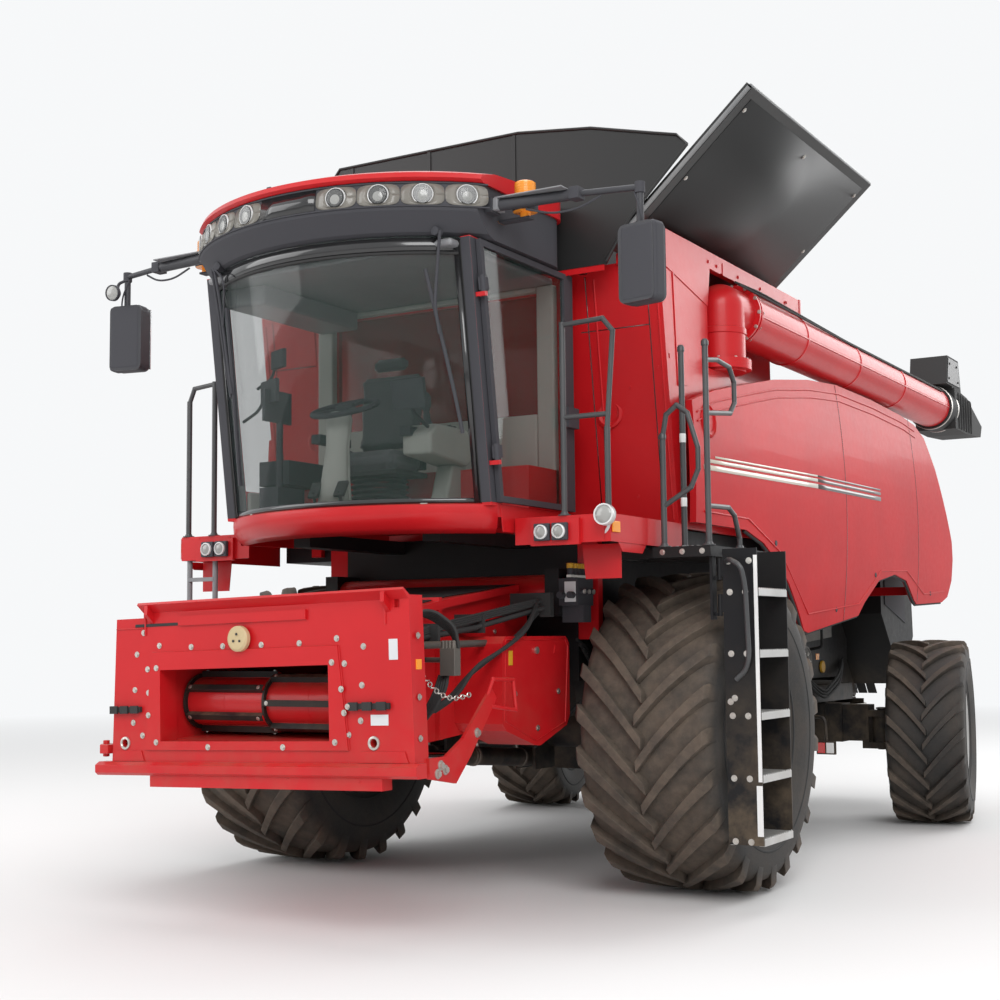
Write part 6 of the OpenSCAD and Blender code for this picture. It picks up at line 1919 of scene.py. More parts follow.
@dataclass
class DeckDetails:
    """Screens, lids, rails and lamps on the engine deck, the rear and the straw hood."""

    deck_top: float = 3.41
    wall_y: float = 5.2005
    exhaust: tuple[float, float] = (0.7, 3.0)
    intake: tuple[float, float] = (-0.5, 2.5)
    rear_low: tuple[float, float] = (5.2, 2.48)
    rear_high: tuple[float, float] = (4.45, 3.33)

    def slope(self, x: float, t: float, out: float) -> Point:
        """Return a place on the leaning rear face.

        Args:
            x: Sideways place.
            t: 0 at the face's lower edge, 1 at its upper edge.
            out: Distance in front of the face.

        Returns:
            The place.
        """
        y = self.rear_low[0] + (self.rear_high[0] - self.rear_low[0]) * t
        z = self.rear_low[1] + (self.rear_high[1] - self.rear_low[1]) * t
        return (x, y + 0.75 * out, z + 0.66 * out)

    def build(self) -> None:
        """Build the pieces of the deck."""
        away = tuple(Vector(self.slope(0, 0, 1)) - Vector(self.slope(0, 0, 0)))
        frame, mesh, inner = Workpiece(), Workpiece(), Workpiece()
        for x0, x1 in ((-1.2, -0.08), (0.08, 1.2)):
            corners = [(x0, 0.12), (x1, 0.12), (x1, 0.88), (x0, 0.88)]
            path = [self.slope(x, t, 0.008) for x, t in corners]
            for a, b in zip(path, path[1:] + path[:1]):
                frame.tube([a, b], 0.018, 8)
            for k in range(1, 30):
                t = 0.12 + 0.76 * k / 30
                mesh.tube([self.slope(x0, t, 0.008), self.slope(x1, t, 0.008)], 0.006, 5)
            for k in range(1, 8):
                x = x0 + (x1 - x0) * k / 8
                mesh.tube([self.slope(x, 0.12, 0.012), self.slope(x, 0.88, 0.012)], 0.006, 5)
            inner.skin([[self.slope(x, t, 0.002) for x in (x0, x1)] for t in (0.12, 0.88)])
        frame.done("screen_frames", RED)
        mesh.done("screen_bars", BLACK)
        inner.done("screen_backs", GLOSS, shell=0.002)
        work = Workpiece()
        for x in (-0.64, 0.64):
            work.tube([self.slope(x - 0.09, 0.945, 0.0), self.slope(x - 0.09, 0.945, 0.04),
                       self.slope(x + 0.09, 0.945, 0.04), self.slope(x + 0.09, 0.945, 0.0)], 0.009, 8, 0.02)
        work.done("rear_handles", PLASTIC)
        work = Workpiece().bolts([self.slope(x, t, 0.0) for x in (-1.28, 1.28) for t in (0.2, 0.5, 0.8)], away,
                                 0.011, 0.008)
        work.done("rear_face_bolts", STEEL)
        self.top()
        self.lamps()
        self.hood()

    def top(self) -> None:
        """Build the exhaust, the air filter and the deck's lids."""
        work = Workpiece()
        work.lathe([(0.0905, 0.02), (0.097, 0.024), (0.097, 0.2), (0.0905, 0.204)],
                   (*self.exhaust, self.deck_top), UP, 36)
        work.lathe([(0.0, 0.2505), (0.08, 0.2505), (0.093, 0.254), (0.093, 0.258), (0.04, 0.264), (0.0, 0.265)],
                   (*self.exhaust, self.deck_top), UP, 36)
        work.lathe([(0.0905, 0.0), (0.125, 0.0), (0.125, 0.008), (0.0905, 0.012)],
                   (*self.exhaust, self.deck_top + 0.001), UP, 36)
        work.done("exhaust_shroud", CAST)
        work = Workpiece()
        profile = [(0.2105, 0.0)]
        for k in range(9):
            z = 0.03 + 0.024 * k
            profile += [(0.2105, z), (0.22, z + 0.004), (0.22, z + 0.014), (0.2105, z + 0.018)]
        work.lathe(profile, (*self.intake, self.deck_top), UP, 48)
        work.lathe([(0.0, 0.291), (0.16, 0.291), (0.225, 0.285), (0.228, 0.265), (0.2105, 0.262)],
                   (*self.intake, self.deck_top), UP, 48)
        work.done("air_intake_ribs", PLASTIC)
        lid, grip, vents = Workpiece(), Workpiece(), Workpiece()
        for x0, x1, y0, y1 in ((-1.05, -0.8, 1.9, 4.2), (-0.15, 0.45, 1.95, 2.75), (-0.7, 0.5, 3.2, 4.2),
                               (0.85, 0.96, 1.9, 4.2)):
            lid.plate("Z", self.deck_top + 0.0005, 0.012, ((x0, y0), (x1, y0), (x1, y1), (x0, y1)))
            middle = (x0 + x1) / 2
            grip.tube([(middle - 0.04, y0 + 0.05, self.deck_top + 0.012),
                       (middle - 0.04, y0 + 0.05, self.deck_top + 0.04),
                       (middle + 0.04, y0 + 0.05, self.deck_top + 0.04),
                       (middle + 0.04, y0 + 0.05, self.deck_top + 0.012)], 0.007, 8, 0.015)
        for k in range(20):
            vents.block((-0.62, 3.3 + 0.04 * k, self.deck_top + 0.012),
                        (0.42, 3.318 + 0.04 * k, self.deck_top + 0.024))
        lid.done("deck_lids", RED, 0.006)
        grip.done("deck_handles", PLASTIC)
        vents.done("deck_vents", PLASTIC)
        rail = Workpiece()
        z0, z1 = self.deck_top + 0.001, self.deck_top + 0.36
        rail.tube([(-1.0, 2.0, z0), (-1.0, 2.0, z1), (-1.0, 4.15, z1), (-1.0, 4.15, z0)], 0.015, 10, 0.08)
        rail.tube([(-0.98, 4.17, z1 - 0.12), (0.8, 4.17, z1 - 0.12)], 0.015, 10)
        rail.tube([(0.8, 4.17, z0), (0.8, 4.17, z1 - 0.06)], 0.015, 10)
        rail.tube([(-0.1, 4.17, z0), (-0.1, 4.17, z1 - 0.12)], 0.015, 10)
        rail.done("deck_rail", RAIL)
        louvres = Workpiece()
        for k in range(11):
            y = 4.36 + 0.055 * k
            z = 3.1 - 0.036 * k
            louvres.plate("X", 1.3805, 0.008, ((y, 2.36), (y + 0.03, 2.36), (y + 0.03, z - 0.05), (y, z)))
        louvres.mirrored().done("deck_louvres", PLASTIC, 0.002)

    def lamps(self) -> None:
        """Build the rear lamps, the reflectors and the blank plates."""
        box, red, amber, clear = Workpiece(), Workpiece(), Workpiece(), Workpiece()
        box.block((0.96, self.wall_y, 2.2), (1.2, 5.25, 2.42))
        red.block((0.975, 5.2505, 2.215), (1.095, 5.262, 2.405))
        amber.block((1.1, 5.2505, 2.215), (1.185, 5.262, 2.405))
        box.mirrored().done("rear_lamp_boxes", PLASTIC, 0.006)
        red.mirrored().done("rear_lamps", RED_LENS, 0.004)
        amber.mirrored().done("rear_indicators", AMBER, 0.004)
        clear.lathe([(0.04, 0.0), (0.05, 0.002), (0.05, 0.03), (0.03, 0.034)], (0.72, self.wall_y, 2.3), BACK, 28)
        clear.mirrored().done("rear_work_lamps", SILVER)
        Workpiece().lathe([(0.042, 0.031), (0.025, 0.037), (0.0, 0.039)], (0.72, self.wall_y, 2.3), BACK,
                          24).mirrored().done("rear_work_glass", BULB)
        plates = Workpiece().block((-0.26, self.wall_y, 2.18), (0.26, 5.206, 2.3))
        for x in (-0.62, 0.62):
            plates.block((x - 0.1, self.wall_y, 2.17), (x + 0.1, 5.204, 2.2))
        plates.done("blank_rear_plate", PLATE, 0.002)
        marks = Workpiece()
        for y in (0.6, 2.0, 3.5):
            marks.block((0.951, y, 1.315), (0.956, y + 0.08, 1.365))
        marks.mirrored().done("side_reflectors", AMBER, 0.002)

    def hood(self) -> None:
        """Build panels, ribs and a step on the straw hood."""
        ribs, panels, pins = Workpiece(), Workpiece(), Workpiece()
        for x in (-1.1, -0.62, 0.62, 1.1):
            ribs.prism([(x - 0.012, 5.331, 2.04), (x + 0.012, 5.331, 2.04), (x + 0.012, 5.361, 1.51),
                        (x - 0.012, 5.361, 1.51)], (0, 0.008, 0.0))
        ribs.prism([(-1.2, 5.345, 1.86), (1.2, 5.345, 1.86), (1.2, 5.347, 1.82), (-1.2, 5.347, 1.82)], (0, 0.01, 0))
        panels.prism([(-0.55, 5.3335, 2.03), (0.55, 5.3335, 2.03), (0.55, 5.3615, 1.53), (-0.55, 5.3615, 1.53)],
                     (0, 0.006, 0))
        side = ((4.5, 1.78), (5.1, 1.62), (5.1, 2.1), (4.5, 2.1))
        for x, out in ((1.2405, 0.006), (-1.2405, -0.006)):
            panels.prism([(x, y, z) for y, z in side], (out, 0, 0))
        pins.bolts([(x, 5.34, z) for x in (-0.5, 0.5) for z in (1.6, 1.95)], (0, 1, 0.05), 0.012, 0.03)
        ribs.done("hood_ribs", BLACK, 0.002)
        panels.done("hood_panels", PLASTIC, 0.003)
        pins.done("hood_pins", STEEL)
        skirt = Workpiece()
        for k in range(22):
            x = -0.95 + 0.088 * k
            skirt.prism([(x, 4.97, 1.1), (x + 0.08, 4.97, 1.1), (x + 0.08, 5.06, 0.99), (x, 5.06, 0.99)],
                        (0, 0.006, 0.002))
        skirt.done("hood_skirt", RUBBER)
        step = Workpiece()
        step.tube([(-0.3, 5.36, 1.5), (-0.3, 5.44, 1.46), (0.3, 5.44, 1.46), (0.3, 5.36, 1.5)], 0.016, 10, 0.05)
        step.done("rear_step", RAIL)


@dataclass
class DriveDetails:
    """Belts, pulley faces, guards and boxes on the machine's two sides."""

    wall_x: float = 0.861
    pulleys: tuple[tuple[float, float, float], ...] = ((1.25, 1.56, 0.3), (1.85, 1.33, 0.46), (2.5, 1.5, 0.34),
                                                       (3.05, 1.3, 0.26))

    def wrap(self, first: tuple[float, float, float], second: tuple[float, float, float], x: float) -> list[Point]:
        """Return the closed path of a belt around two pulleys.

        Args:
            first: Y, Z and diameter of one pulley.
            second: Y, Z and diameter of the other.
            x: Sideways place.

        Returns:
            Places along the belt.
        """
        a, b = Vector(first[:2]), Vector(second[:2])
        gap = b - a
        lean = math.atan2(gap.y, gap.x)
        open_angle = math.acos(max(-1.0, min(1.0, (first[2] - second[2]) / 2 / gap.length)))
        path = []
        for centre, radius, start, end in ((a, first[2] / 2, lean + open_angle, lean + 2 * math.pi - open_angle),
                                           (b, second[2] / 2, lean - open_angle, lean + open_angle)):
            for k in range(17):
                t = start + (end - start) * k / 16
                path.append((x, centre.x + (radius + 0.006) * math.cos(t), centre.y + (radius + 0.006) * math.sin(t)))
        return path

    def build(self) -> None:
        """Build the belts, faces, guards and boxes."""
        belts, faces, hubs = Workpiece(), Workpiece(), Workpiece()
        for first, second, x in ((0, 1, 0.972), (1, 2, 0.992), (2, 3, 1.012)):
            for shift in (0.0, 0.007):
                belts.hoop(self.wrap(self.pulleys[first], self.pulleys[second], x + shift), 0.006, 6)
        for y, z, d in self.pulleys:
            r = d / 2
            faces.lathe([(r, 0.0), (r + 0.002, 0.003), (r - 0.012, 0.006), (r - 0.02, 0.0005), (0.05, 0.0005),
                         (0.045, 0.02), (0.0, 0.021)], (1.0305, y, z), LEFT, 40)
            hubs.bolts(circle((1.031, y, z), 0.6 * r, 6), LEFT, 0.012, 0.008)
            hubs.bolts([(1.051, y, z)], LEFT, 0.02, 0.014)
        belts.mirrored().done("drive_belts", BELT)
        faces.mirrored().done("pulley_faces", CAST)
        hubs.mirrored().done("pulley_bolts", STEEL)
        guard = Workpiece()
        guard.plate("X", 1.04, 0.006, ((1.1, 1.75), (1.6, 1.8), (3.3, 1.68), (3.4, 1.6), (1.1, 1.68)))
        guard.block((0.953, 1.1, 1.75), (1.046, 1.13, 1.756))
        guard.tube([(0.955, 3.35, 1.4), (1.06, 3.35, 1.42), (1.06, 3.35, 1.62)], 0.012, 8, 0.03)
        guard.tube([(0.955, 1.12, 1.4), (1.06, 1.12, 1.42), (1.06, 1.12, 1.72)], 0.012, 8, 0.03)
        guard.mirrored().done("belt_guard", BLACK, 0.001)
        work = Workpiece().block((1.3305, 1.27, 0.74), (1.334, 1.68, 1.14))
        work.block((0.98, 1.2495, 0.74), (1.3, 1.246, 1.14))
        for z in (0.82, 1.05):
            work.block((1.33, 1.245, z), (1.3365, 1.705, z + 0.03))
        work.mirrored().done("tank_straps", CAST, 0.002)
        cap = Workpiece().lathe([(0.045, 0.0), (0.05, 0.004), (0.05, 0.03), (0.03, 0.036), (0.0, 0.037)],
                                (1.2, 1.35, 1.1805), UP, 28)
        cap.mirrored().done("filler_caps", PLASTIC)
        lamp = Workpiece().block((1.18, 2.8, 0.6), (1.33, 2.83, 0.7))
        lamp.tube([(0.95, 2.84, 0.9), (1.24, 2.84, 0.88), (1.25, 2.835, 0.7)], 0.014, 8, 0.05)
        lamp.mirrored().done("side_lamp_brackets", BLACK, 0.003)
        glass = Workpiece().block((1.19, 2.794, 0.61), (1.25, 2.7995, 0.69))
        glass.mirrored().done("side_red_reflectors", RED_LENS, 0.002)
        glass = Workpiece().block((1.26, 2.794, 0.61), (1.32, 2.7995, 0.69))
        glass.mirrored().done("side_clear_reflectors", BAND, 0.002)
        self.sides()

    def sides(self) -> None:
        """Build ribs, hoses and small parts of the machine's dark sides."""
        ribs = Workpiece()
        for y in (1.9, 2.4, 2.9, 3.4, 3.9, 4.4):
            ribs.block((self.wall_x, y, 1.7), (0.872, y + 0.03, 2.12))
        for y in (1.95, 2.35, 3.2, 3.6):
            ribs.block((self.wall_x, y, 0.9), (0.87, y + 0.03, 1.27))
        ribs.mirrored().done("side_ribs", BLACK, 0.002)
        pipes = Workpiece()
        for k in range(4):
            z = 1.66 - 0.022 * k
            pipes.tube([(0.866, 0.3, z), (0.872, 1.0, z), (0.872, 2.4, z + 0.1), (0.872, 4.2, z + 0.1)],
                       0.008, 8, 0.15)
        pipes.mirrored().done("side_pipes", STEEL)
        hoses = Workpiece()
        for k in range(3):
            hoses.tube([(0.87, 3.2 + 0.05 * k, 1.2), (0.93, 3.3 + 0.05 * k, 1.15), (0.98, 3.6, 0.98 + 0.03 * k),
                        (0.95, 4.1, 1.1 + 0.04 * k), (0.88, 4.4, 1.25 + 0.03 * k)], 0.012, 8, 0.15)
        hoses.mirrored().done("side_hoses", RUBBER)
        marks = Workpiece().lathe([(0.0, 0.02), (0.05, 0.02), (0.055, 0.0)], (0.862, 3.9, 1.25), LEFT, 24)
        marks.block((0.862, 2.1, 1.0), (0.9, 2.3, 1.2))
        marks.mirrored().done("side_covers", YELLOW, 0.006)
        cover = Workpiece()
        cover.plate("X", self.wall_x, 0.02, ((0.5, 0.75), (0.95, 0.7), (0.95, 1.55), (0.42, 1.5)))
        cover.plate("X", self.wall_x, 0.1, ((3.15, 1.45), (3.9, 1.5), (3.9, 1.68), (3.15, 1.65)))
        cover.mirrored().done("side_plates", CAST, 0.006)


@dataclass
class AxleDetails:
    """Bolts, ribs and hoses on the axles and the lift cylinders, and the hitch's parts."""

    lift_x: float = 0.33
    foot: tuple[float, float] = (-0.18, 0.76)
    eye: tuple[float, float] = (-1.56, 0.87)

    def build(self) -> None:
        """Build the pieces of both axles."""
        work = Workpiece().bolts(circle((0.924, 0, AXLE_Z), 0.23, 15), (-1, 0, 0), 0.014, 0.012)
        work.bolts(circle((1.0755, 0, AXLE_Z), 0.21, 16), LEFT, 0.014, 0.012)
        work.mirrored().done("final_drive_bolts", STEEL)
        work = Workpiece()
        work.lathe([(0.2605, 0.0), (0.275, 0.004), (0.275, 0.03), (0.2605, 0.034)], (0.94, 0, AXLE_Z), LEFT, 44)
        work.lathe([(0.2605, 0.0), (0.27, 0.004), (0.27, 0.02), (0.2605, 0.024)], (1.03, 0, AXLE_Z), LEFT, 44)
        work.lathe([(0.1505, 0.0), (0.165, 0.004), (0.165, 0.04), (0.1505, 0.05)], (1.0765, 0, AXLE_Z), LEFT, 40)
        work.mirrored().done("final_drive_ribs", BLACK)
        work = Workpiece().block((0.9205, -0.28, 1.02), (0.926, 0.28, 1.05))
        for y in (-0.26, 0.24):
            work.plate("X", 0.9205, 0.012, ((y, 0.79), (y + 0.02, 0.79), (y + 0.02, 1.5), (y, 1.5)))
        work.mirrored().done("upright_ribs", BLACK, 0.002)
        self.lift()
        self.rear()

    def lift(self) -> None:
        """Build glands, seals and hoses of the lift cylinders."""
        gap = Vector((0, self.eye[0] - self.foot[0], self.eye[1] - self.foot[1]))
        way = gap.normalized()
        gland, hose = Workpiece(), Workpiece()
        for side in (-1, 1):
            foot = Vector((side * self.lift_x, *self.foot))
            length = gap.length * 0.53
            for d, r in ((0.12, 0.06), (length - 0.06, 0.061), (length - 0.03, 0.058)):
                gland.lathe([(0.0555, 0.0), (r, 0.003), (r, 0.018), (0.0555, 0.021)], tuple(foot + way * d),
                            tuple(way), 28)
            a = foot + way * 0.16 + Vector((0, 0, 0.056))
            b = foot + way * (length - 0.1) + Vector((0, 0, 0.056))
            hose.tube([tuple(a), tuple(a + Vector((0, 0, 0.03))), tuple(b + Vector((0, 0, 0.03))), tuple(b)],
                      0.009, 8, 0.02)
        gland.done("lift_glands", CAST, body=Body.BARRELS)
        hose.done("lift_pipes", STEEL, body=Body.BARRELS)

    def rear(self) -> None:
        """Build ribs, cylinder and hoses of the rear axle, the hubs' faces and the hitch's parts."""
        y0, y1 = WHEELBASE - 0.11, WHEELBASE + 0.11
        work = Workpiece()
        for x in (-0.95, -0.55, 0.55, 0.95):
            work.block((x - 0.012, y0 - 0.012, REAR_TYRE[0] - 0.09), (x + 0.012, y0 - 0.0005, REAR_TYRE[0] + 0.205))
            work.block((x - 0.012, y1 + 0.0005, REAR_TYRE[0] - 0.09), (x + 0.012, y1 + 0.012, REAR_TYRE[0] + 0.205))
        work.done("rear_axle_ribs", BLACK, 0.002)
        work = Workpiece()
        z = REAR_TYRE[0] - 0.02
        work.tube([(0.3, y1 + 0.05, z), (0.72, y1 + 0.05, z)], 0.032, 20)
        work.block((0.28, y1 + 0.001, z - 0.04), (0.34, y1 + 0.085, z + 0.04))
        work.block((0.7, y1 + 0.001, z - 0.035), (0.75, y1 + 0.085, z + 0.035))
        work.done("steering_cylinder", BLACK, 0.002)
        work = Workpiece()
        for k, x in enumerate((0.4, 0.6)):
            work.tube([(x, y1 + 0.05, z + 0.034), (x, y1 + 0.06, z + 0.12), (0.2 + 0.05 * k, y1 + 0.04, z + 0.26),
                       (0.15 + 0.04 * k, y1 + 0.05, z + 0.36)], 0.009, 8, 0.05)
        work.done("steering_hoses", RUBBER)
        for side, body in ((1, Body.KNUCKLE_LEFT), (-1, Body.KNUCKLE_RIGHT)):
            centre = (side * KINGPIN_X, WHEELBASE, REAR_TYRE[0])
            work = Workpiece()
            work.lathe([(0.0, 0.0), (0.045, 0.0), (0.045, 0.01), (0.03, 0.014), (0.0, 0.015)],
                       (centre[0], centre[1], centre[2] + 0.1705), UP, 28)
            work.lathe([(0.0695, 0.0), (0.095, 0.004), (0.095, 0.03), (0.0695, 0.034)],
                       (centre[0] + side * 0.3, centre[1] + side * 0.053, centre[2]), (side, side * 0.176, 0), 32)
            work.done("hub_parts_left" if side > 0 else "hub_parts_right", CAST, body=body)
        work = Workpiece().lathe([(0.021, 0.0), (0.04, 0.0), (0.04, 0.008), (0.021, 0.01)], (0, 5.22, 0.9605), UP, 28)
        work.tube([(0.055, 5.22, 0.97), (0.075, 5.22, 1.0), (0.06, 5.22, 1.03), (0.0, 5.22, 1.02),
                   (-0.04, 5.22, 0.972)], 0.006, 8, 0.015)
        work.done("hitch_ring", STEEL)
        work = Workpiece()
        for k in range(2):
            x = 0.2 + 0.08 * k
            work.lathe([(0.0, 0.0), (0.026, 0.0), (0.026, 0.035), (0.022, 0.04), (0.0, 0.042)],
                       (x, 5.23, 1.25), BACK, 20)
            work.tube([(x, 5.245, 1.235), (x + 0.01, 5.25, 1.17), (x - 0.02, 5.215, 1.135)], 0.008, 8, 0.02)
        work.block((0.155, 5.217, 1.2), (0.325, 5.232, 1.3))
        work.done("trailer_sockets", BLACK)


@dataclass(frozen=True)
class Wheel:
    """Place and size of one wheel."""

    name: str
    side: int
    body: Body
    centre: Point
    axis: Point
    tyre: tuple[float, float, float]

    @property
    def front(self) -> bool:
        """Tell whether it is a front wheel."""
        return self.name.startswith("front")


def wheels() -> Iterator[Wheel]:
    """Yield the four wheels, left before right.

    Yields:
        The wheels; the rear ones stand turned by their toe angle.
    """
    for side, word in ((1, "left"), (-1, "right")):
        yield Wheel(f"front_{word}", side, Body[f"WHEEL_FRONT_{word.upper()}"], (side * FRONT_TRACK_X, 0.0, AXLE_Z),
                    (side, 0, 0), FRONT_TYRE)
        turn = math.radians(REAR_TOE)
        axis = (side * math.cos(turn), side * math.sin(turn), 0.0)
        yield Wheel(f"rear_{word}", side, Body[f"WHEEL_REAR_{word.upper()}"],
                    (side * KINGPIN_X + REAR_HUB * axis[0], WHEELBASE + REAR_HUB * axis[1], REAR_TYRE[0]),
                    axis, REAR_TYRE)


@dataclass
class TyreTread:
    """Tyres with curved, tapered bars, in place of the plain solids."""

    profile: tuple[tuple[float, float], ...] = ((0.0, 0.36), (0.04, 0.4), (0.07, 0.412), (0.25, 0.446), (0.45, 0.487),
                                                (0.6, 0.4895), (0.75, 0.487), (0.86, 0.475), (0.93, 0.45),
                                                (0.965, 0.41), (0.985, 0.33), (1.0, 0.15))
    steps: tuple[float, ...] = (-0.075, -0.05, 0.08, 0.25, 0.42, 0.6, 0.78, 0.92, 0.975, 1.0)
    shoulder: float = 0.485
    root: float = 0.012

    def reach(self, across: float, rim: float, crown: float) -> float:
        """Return the casing's radius at a distance from the middle.

        Args:
            across: Distance from the middle plane, as a share of the width.
            rim: Radius of the bead.
            crown: Radius of the casing at its middle.

        Returns:
            The radius.
        """
        last = (1.0, 0.0)
        for share, side in reversed(self.profile[4:]):
            if across <= side:
                t = (across - last[1]) / (side - last[1])
                return rim + (crown - rim) * (last[0] + (share - last[0]) * t)
            last = (share, side)
        return rim + (crown - rim) * 0.8

    def tyre(self, wheel: Wheel) -> None:
        """Build one tyre.

        Args:
            wheel: Wheel that carries it.
        """
        radius, width, rim = wheel.tyre
        bars = FRONT_BARS if wheel.front else REAR_BARS
        crown = radius * CROWN_SHARE
        out, middle = Vector(wheel.axis), Vector(wheel.centre)
        rear = wheel.side * Vector(UP).cross(out)

        def place(across: float, reach: float, turn: float) -> Point:
            """Return a place on the tyre.

            Args:
                across: Distance along the axle.
                reach: Distance from the axle.
                turn: Angle from the top towards the front, in radians.

            Returns:
                The place.
            """
            raised = Vector((0, 0, reach * math.cos(turn)))
            return tuple(middle + out * across - rear * (reach * math.sin(turn)) + raised)

        rows = [(rim + (crown - rim) * share, width * along) for share, along in self.profile]
        rows += [(reach, -along) for reach, along in reversed(rows)]
        work = Workpiece().lathe(rows, wheel.centre, tuple(out), 96)
        for hand in (-1, 1):
            for k in range(bars):
                start = 2 * math.pi * (k + (0.5 if hand > 0 else 0.0)) / bars
                grid = []
                for u in self.steps:
                    lead = start - (0.06 + 0.45 * (1.2 * u - 0.2 * u * abs(u)))
                    half = 0.034 + 0.012 * u
                    low = self.reach(abs(u) * self.shoulder, rim, crown) - self.root
                    worn = 0.03 * radius if u == self.steps[-2] else 0.0
                    high = low if u in (self.steps[0], self.steps[-1]) else radius - 0.02 * u * u * radius - worn
                    across = hand * u * self.shoulder * width
                    grid.append([place(across, reach, lead + half * wide) for reach, wide in
                                 ((low, 1.22), (high, 1.0), (high, -1.0), (low, -1.22))])
                work.skin(grid)
        piece = work.done(wheel.name.replace("_", "_tread_"), FRONT_RUBBER if wheel.front else REAR_RUBBER, 0.005,
                          body=wheel.body)
        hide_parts(wheel.name.replace("_", "_tyre_"))

    def build(self) -> None:
        """Build the four tyres."""
        for wheel in wheels():
            self.tyre(wheel)


@dataclass
class WheelDetails:
    """Nuts, valves, hub faces and side rings of the four wheels."""

    def wheel(self, wheel: Wheel, face: float, hub_r: float, nuts: int) -> None:
        """Build one wheel's pieces.

        Args:
            wheel: The wheel.
            face: Place of the disc along the axis.
            hub_r: Radius of the ring of nuts.
            nuts: Count of nuts.
        """
        tyre_r, tyre_w, rim_r = wheel.tyre
        name, body, middle = wheel.name, wheel.body, Vector(wheel.centre)
        out = Vector(wheel.axis).normalized()
        across = out.cross(Vector(UP)).normalized()

        def place(radius: float, turn: float, along: float) -> Point:
            """Return a place on the wheel.

            Args:
                radius: Distance from the axle.
                turn: Angle round it, in degrees.
                along: Distance along it.

            Returns:
                The place.
            """
            a = math.radians(turn)
            raised = Vector(UP) * (radius * math.sin(a))
            return tuple(middle + out * along + across * (radius * math.cos(a)) + raised)

        work = Workpiece()
        work.bolts([place(hub_r, 360 * k / nuts, face + 0.042) for k in range(nuts)], tuple(out), 0.019, 0.012)
        work.bolts([place(hub_r * 0.42, 60 * k + 15, face + 0.11) for k in range(6)], tuple(out), 0.012, 0.008)
        work.done(f"{name}_nuts", STEEL, body=body)
        work = Workpiece()
        work.lathe([(0.0, 0.004), (hub_r * 0.3, 0.004), (hub_r * 0.34, 0.0)], place(0, 0, face + 0.11),
                   tuple(out), 32)
        work.lathe([(hub_r * 0.62, 0.0), (hub_r * 0.66, 0.006), (hub_r * 0.7, 0.006), (hub_r * 0.72, 0.0)],
                   place(0, 0, face + 0.016), tuple(out), 48)
        for along, turn in ((tyre_w * 0.4, 1), (-tyre_w * 0.4, -1)):
            work.lathe([(rim_r - 0.027, -0.012), (rim_r - 0.012, -0.004), (rim_r + 0.004, 0.004),
                        (rim_r + 0.008, 0.012), (rim_r + 0.002, 0.016), (rim_r - 0.014, 0.008), (rim_r - 0.03, 0.0)],
                       place(0, 0, along), tuple(out * turn), 72)
        work.done(f"{name}_rim_lips", RIM, body=body)
        work = Workpiece()
        h = tyre_r * CROWN_SHARE - rim_r
        for along, turn in ((tyre_w * 0.41, 1), (-tyre_w * 0.41, -1)):
            for t in (0.13, 0.22, 0.6):
                r = rim_r + h * t
                share = min(1.0, max(0.0, (h * t - 0.025) / (h * 0.45 - 0.025)))
                side = tyre_w * (0.41 + 0.08 * share) - tyre_w * 0.41
                work.lathe([(r - 0.008, side - 0.003), (r - 0.004, side + 0.003), (r + 0.004, side + 0.003),
                            (r + 0.008, side - 0.001)], place(0, 0, along), tuple(out * turn), 72)
        work.done(f"{name}_side_rings", RUBBER, body=body)
        work = Workpiece()
        a = place(rim_r - 0.028, 70, tyre_w * 0.3)
        b = place(rim_r - 0.055, 70, tyre_w * 0.36)
        work.tube([a, b], 0.006, 8)
        work.done(f"{name}_valve", PLASTIC, body=body)

    def build(self) -> None:
        """Build the pieces of the four wheels."""
        for wheel in sorted(wheels(), key=lambda one: not one.front):
            if wheel.front:
                self.wheel(wheel, -0.06, 0.25, 12)
            else:
                self.wheel(wheel, -0.02, 0.16, 10)


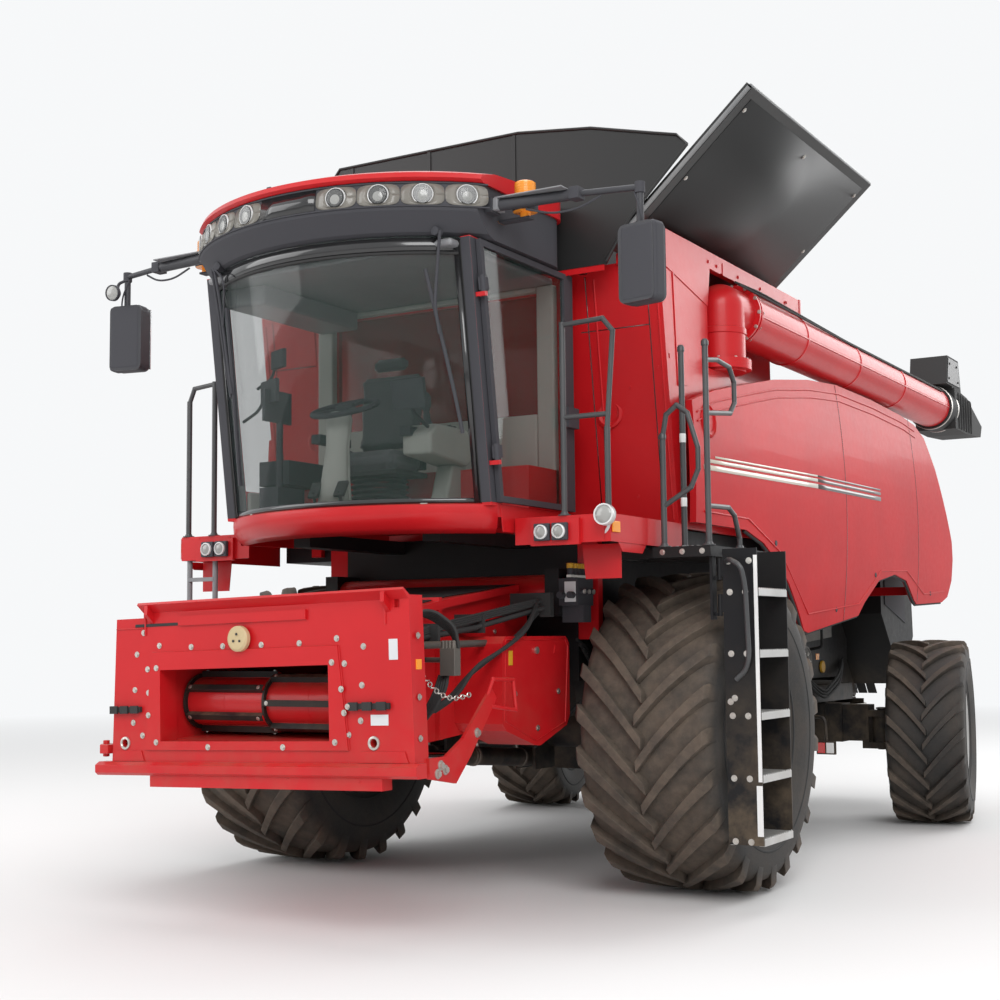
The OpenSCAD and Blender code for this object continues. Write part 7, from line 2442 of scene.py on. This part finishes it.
@dataclass
class SmallParts:
    """Spreader fittings, valve caps and the hoses under the cab."""

    def build(self) -> None:
        """Build the small pieces."""
        for side, body, name in ((1, Body.SPREADER_LEFT, "left"), (-1, Body.SPREADER_RIGHT, "right")):
            work = Workpiece()
            for k in range(6):
                a = math.radians(60 * k)
                x, y = side * SPREADER[0] + 0.24 * math.cos(a), SPREADER[1] + 0.24 * math.sin(a)
                work.bolts([(x - 0.012 * math.sin(a), y + 0.012 * math.cos(a), 0.893)], UP, 0.009, 0.008)
            work.lathe([(0.06, 0.0), (0.075, 0.0), (0.075, 0.01), (0.06, 0.014)],
                       (side * SPREADER[0], SPREADER[1], 0.893), UP, 28)
            work.lathe([(0.343, -0.001), (0.354, -0.001), (0.354, 0.014), (0.343, 0.014)],
                       (side * SPREADER[0], *SPREADER[1:]), UP, 60)
            work.done(f"spreader_fittings_{name}", STEEL, body=body)
        caps, rings, plate = Workpiece(), Workpiece(), Workpiece()
        for y in (-0.715, -0.665, -0.615, -0.565):
            caps.lathe([(0.0195, 0.06), (0.023, 0.062), (0.023, 0.088), (0.01, 0.092), (0.0, 0.093)],
                       (0.925, y, 1.86), UP, 20)
            rings.lathe([(0.0195, 0.004), (0.026, 0.006), (0.026, 0.02), (0.0195, 0.022)], (0.925, y, 1.86), UP, 6)
        for y in (-0.7, -0.64, -0.58):
            rings.lathe([(0.0, 0.0), (0.014, 0.0), (0.014, 0.01), (0.0, 0.011)], (1.006, y, 1.78), LEFT, 6)
        plate.block((0.9, -0.7415, 1.72), (0.975, -0.745, 1.84))
        caps.done("valve_caps", YELLOW)
        rings.done("valve_nuts", STEEL)
        plate.done("valve_plate", PLATE, 0.002)
        hoses = Workpiece()
        for k in range(5):
            hoses.tube([(0.86 + 0.02 * k, -0.52, 1.5 - 0.03 * k), (0.87 + 0.02 * k, -0.4, 1.45 - 0.05 * k),
                        (0.88, -0.36, 1.2), (0.7 - 0.05 * k, -0.42, 1.0 - 0.04 * k)], 0.011, 8, 0.1)
        hoses.mirrored().done("under_cab_hoses", RUBBER)


@dataclass
class CarriedNodes:
    """Dresses every CAD node that is shown as it is."""

    finishes: dict[str, Surface] = field(default_factory=dict)

    def plan(self) -> None:
        """Fill the table of finishes."""
        groups = (
            (BLACK, "chassis_frame separator_body straw_hood side_drives platform_left rear_axle rear_hitch ladder"),
            (BLACK, "lift_barrels knuckle_left knuckle_right spreader_left spreader_right"),
            (SHIELD, "side_shield_left side_shield_right"), (RED, "grain_tank engine_deck cab_shell cab_roof"),
            (RED, "walkways auger_elbow auger_tube feeder_house header_frame feeder_drum"),
            (COVER, "tank_front_shield tank_rear_shield tank_cover_left tank_cover_right"),
            (CAST, "engine_block"),
            (PLASTIC, "roof_visor steering_console hydraulics cab_door"), (MIRROR_GREY, "mirrors"),
            (GLOSS, "roof_lamps"), (AMBER, "beacons"), (RAIL, "handrails"), (GREY, "right_steps"),
            (RUBBER, "auger_spout feeder_hoses"), (CHROME, "lift_rods"), (STEEL, "tie_rod"),
            (RIM, "front_rim_left front_rim_right rear_rim_left rear_rim_right"),
            (GLASS, "windscreen cab_windows door_glass"), (WEAVE, "driver_seat"),
            (FRONT_RUBBER, "front_tyre_left front_tyre_right"), (REAR_RUBBER, "rear_tyre_left rear_tyre_right"),
        )
        for finish, names in groups:
            for name in names.split():
                self.finishes[name] = finish

    def dress(self, nodes: dict[str, bpy.types.Object]) -> None:
        """Give every node its finish.

        Args:
            nodes: The frame's nodes by name.

        Raises:
            KeyError: If a node has no finish in the table.
        """
        self.plan()
        for name, node in nodes.items():
            if node.type != "MESH":
                continue
            base = name.split("[")[0]
            node.data.materials.clear()
            node.data.materials.append(self.finishes[base].build())
            LOG.info("node %s dressed", name)


def main() -> None:
    """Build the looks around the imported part."""
    logging.basicConfig(level=logging.INFO, format="%(name)s %(message)s")
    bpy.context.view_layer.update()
    studio = Studio()
    studio.aim_camera()
    studio.lay_floor()
    studio.light()
    CarriedNodes().dress(frame["nodes"])
    for assembly in (HeaderFace(), FeederFittings(), FeederDrum(), CabGlass(), CabControls(), DriverSeat(),
                     RoofBand(), MirrorArms(), Access(), SideShields(), TankDetails(), AugerDetails(), DeckDetails(),
                     DriveDetails(), AxleDetails(), TyreTread(), WheelDetails(), SmallParts()):
        LOG.info("assembly %s", type(assembly).__name__)
        assembly.build()


if __name__ == "__main__":
    main()
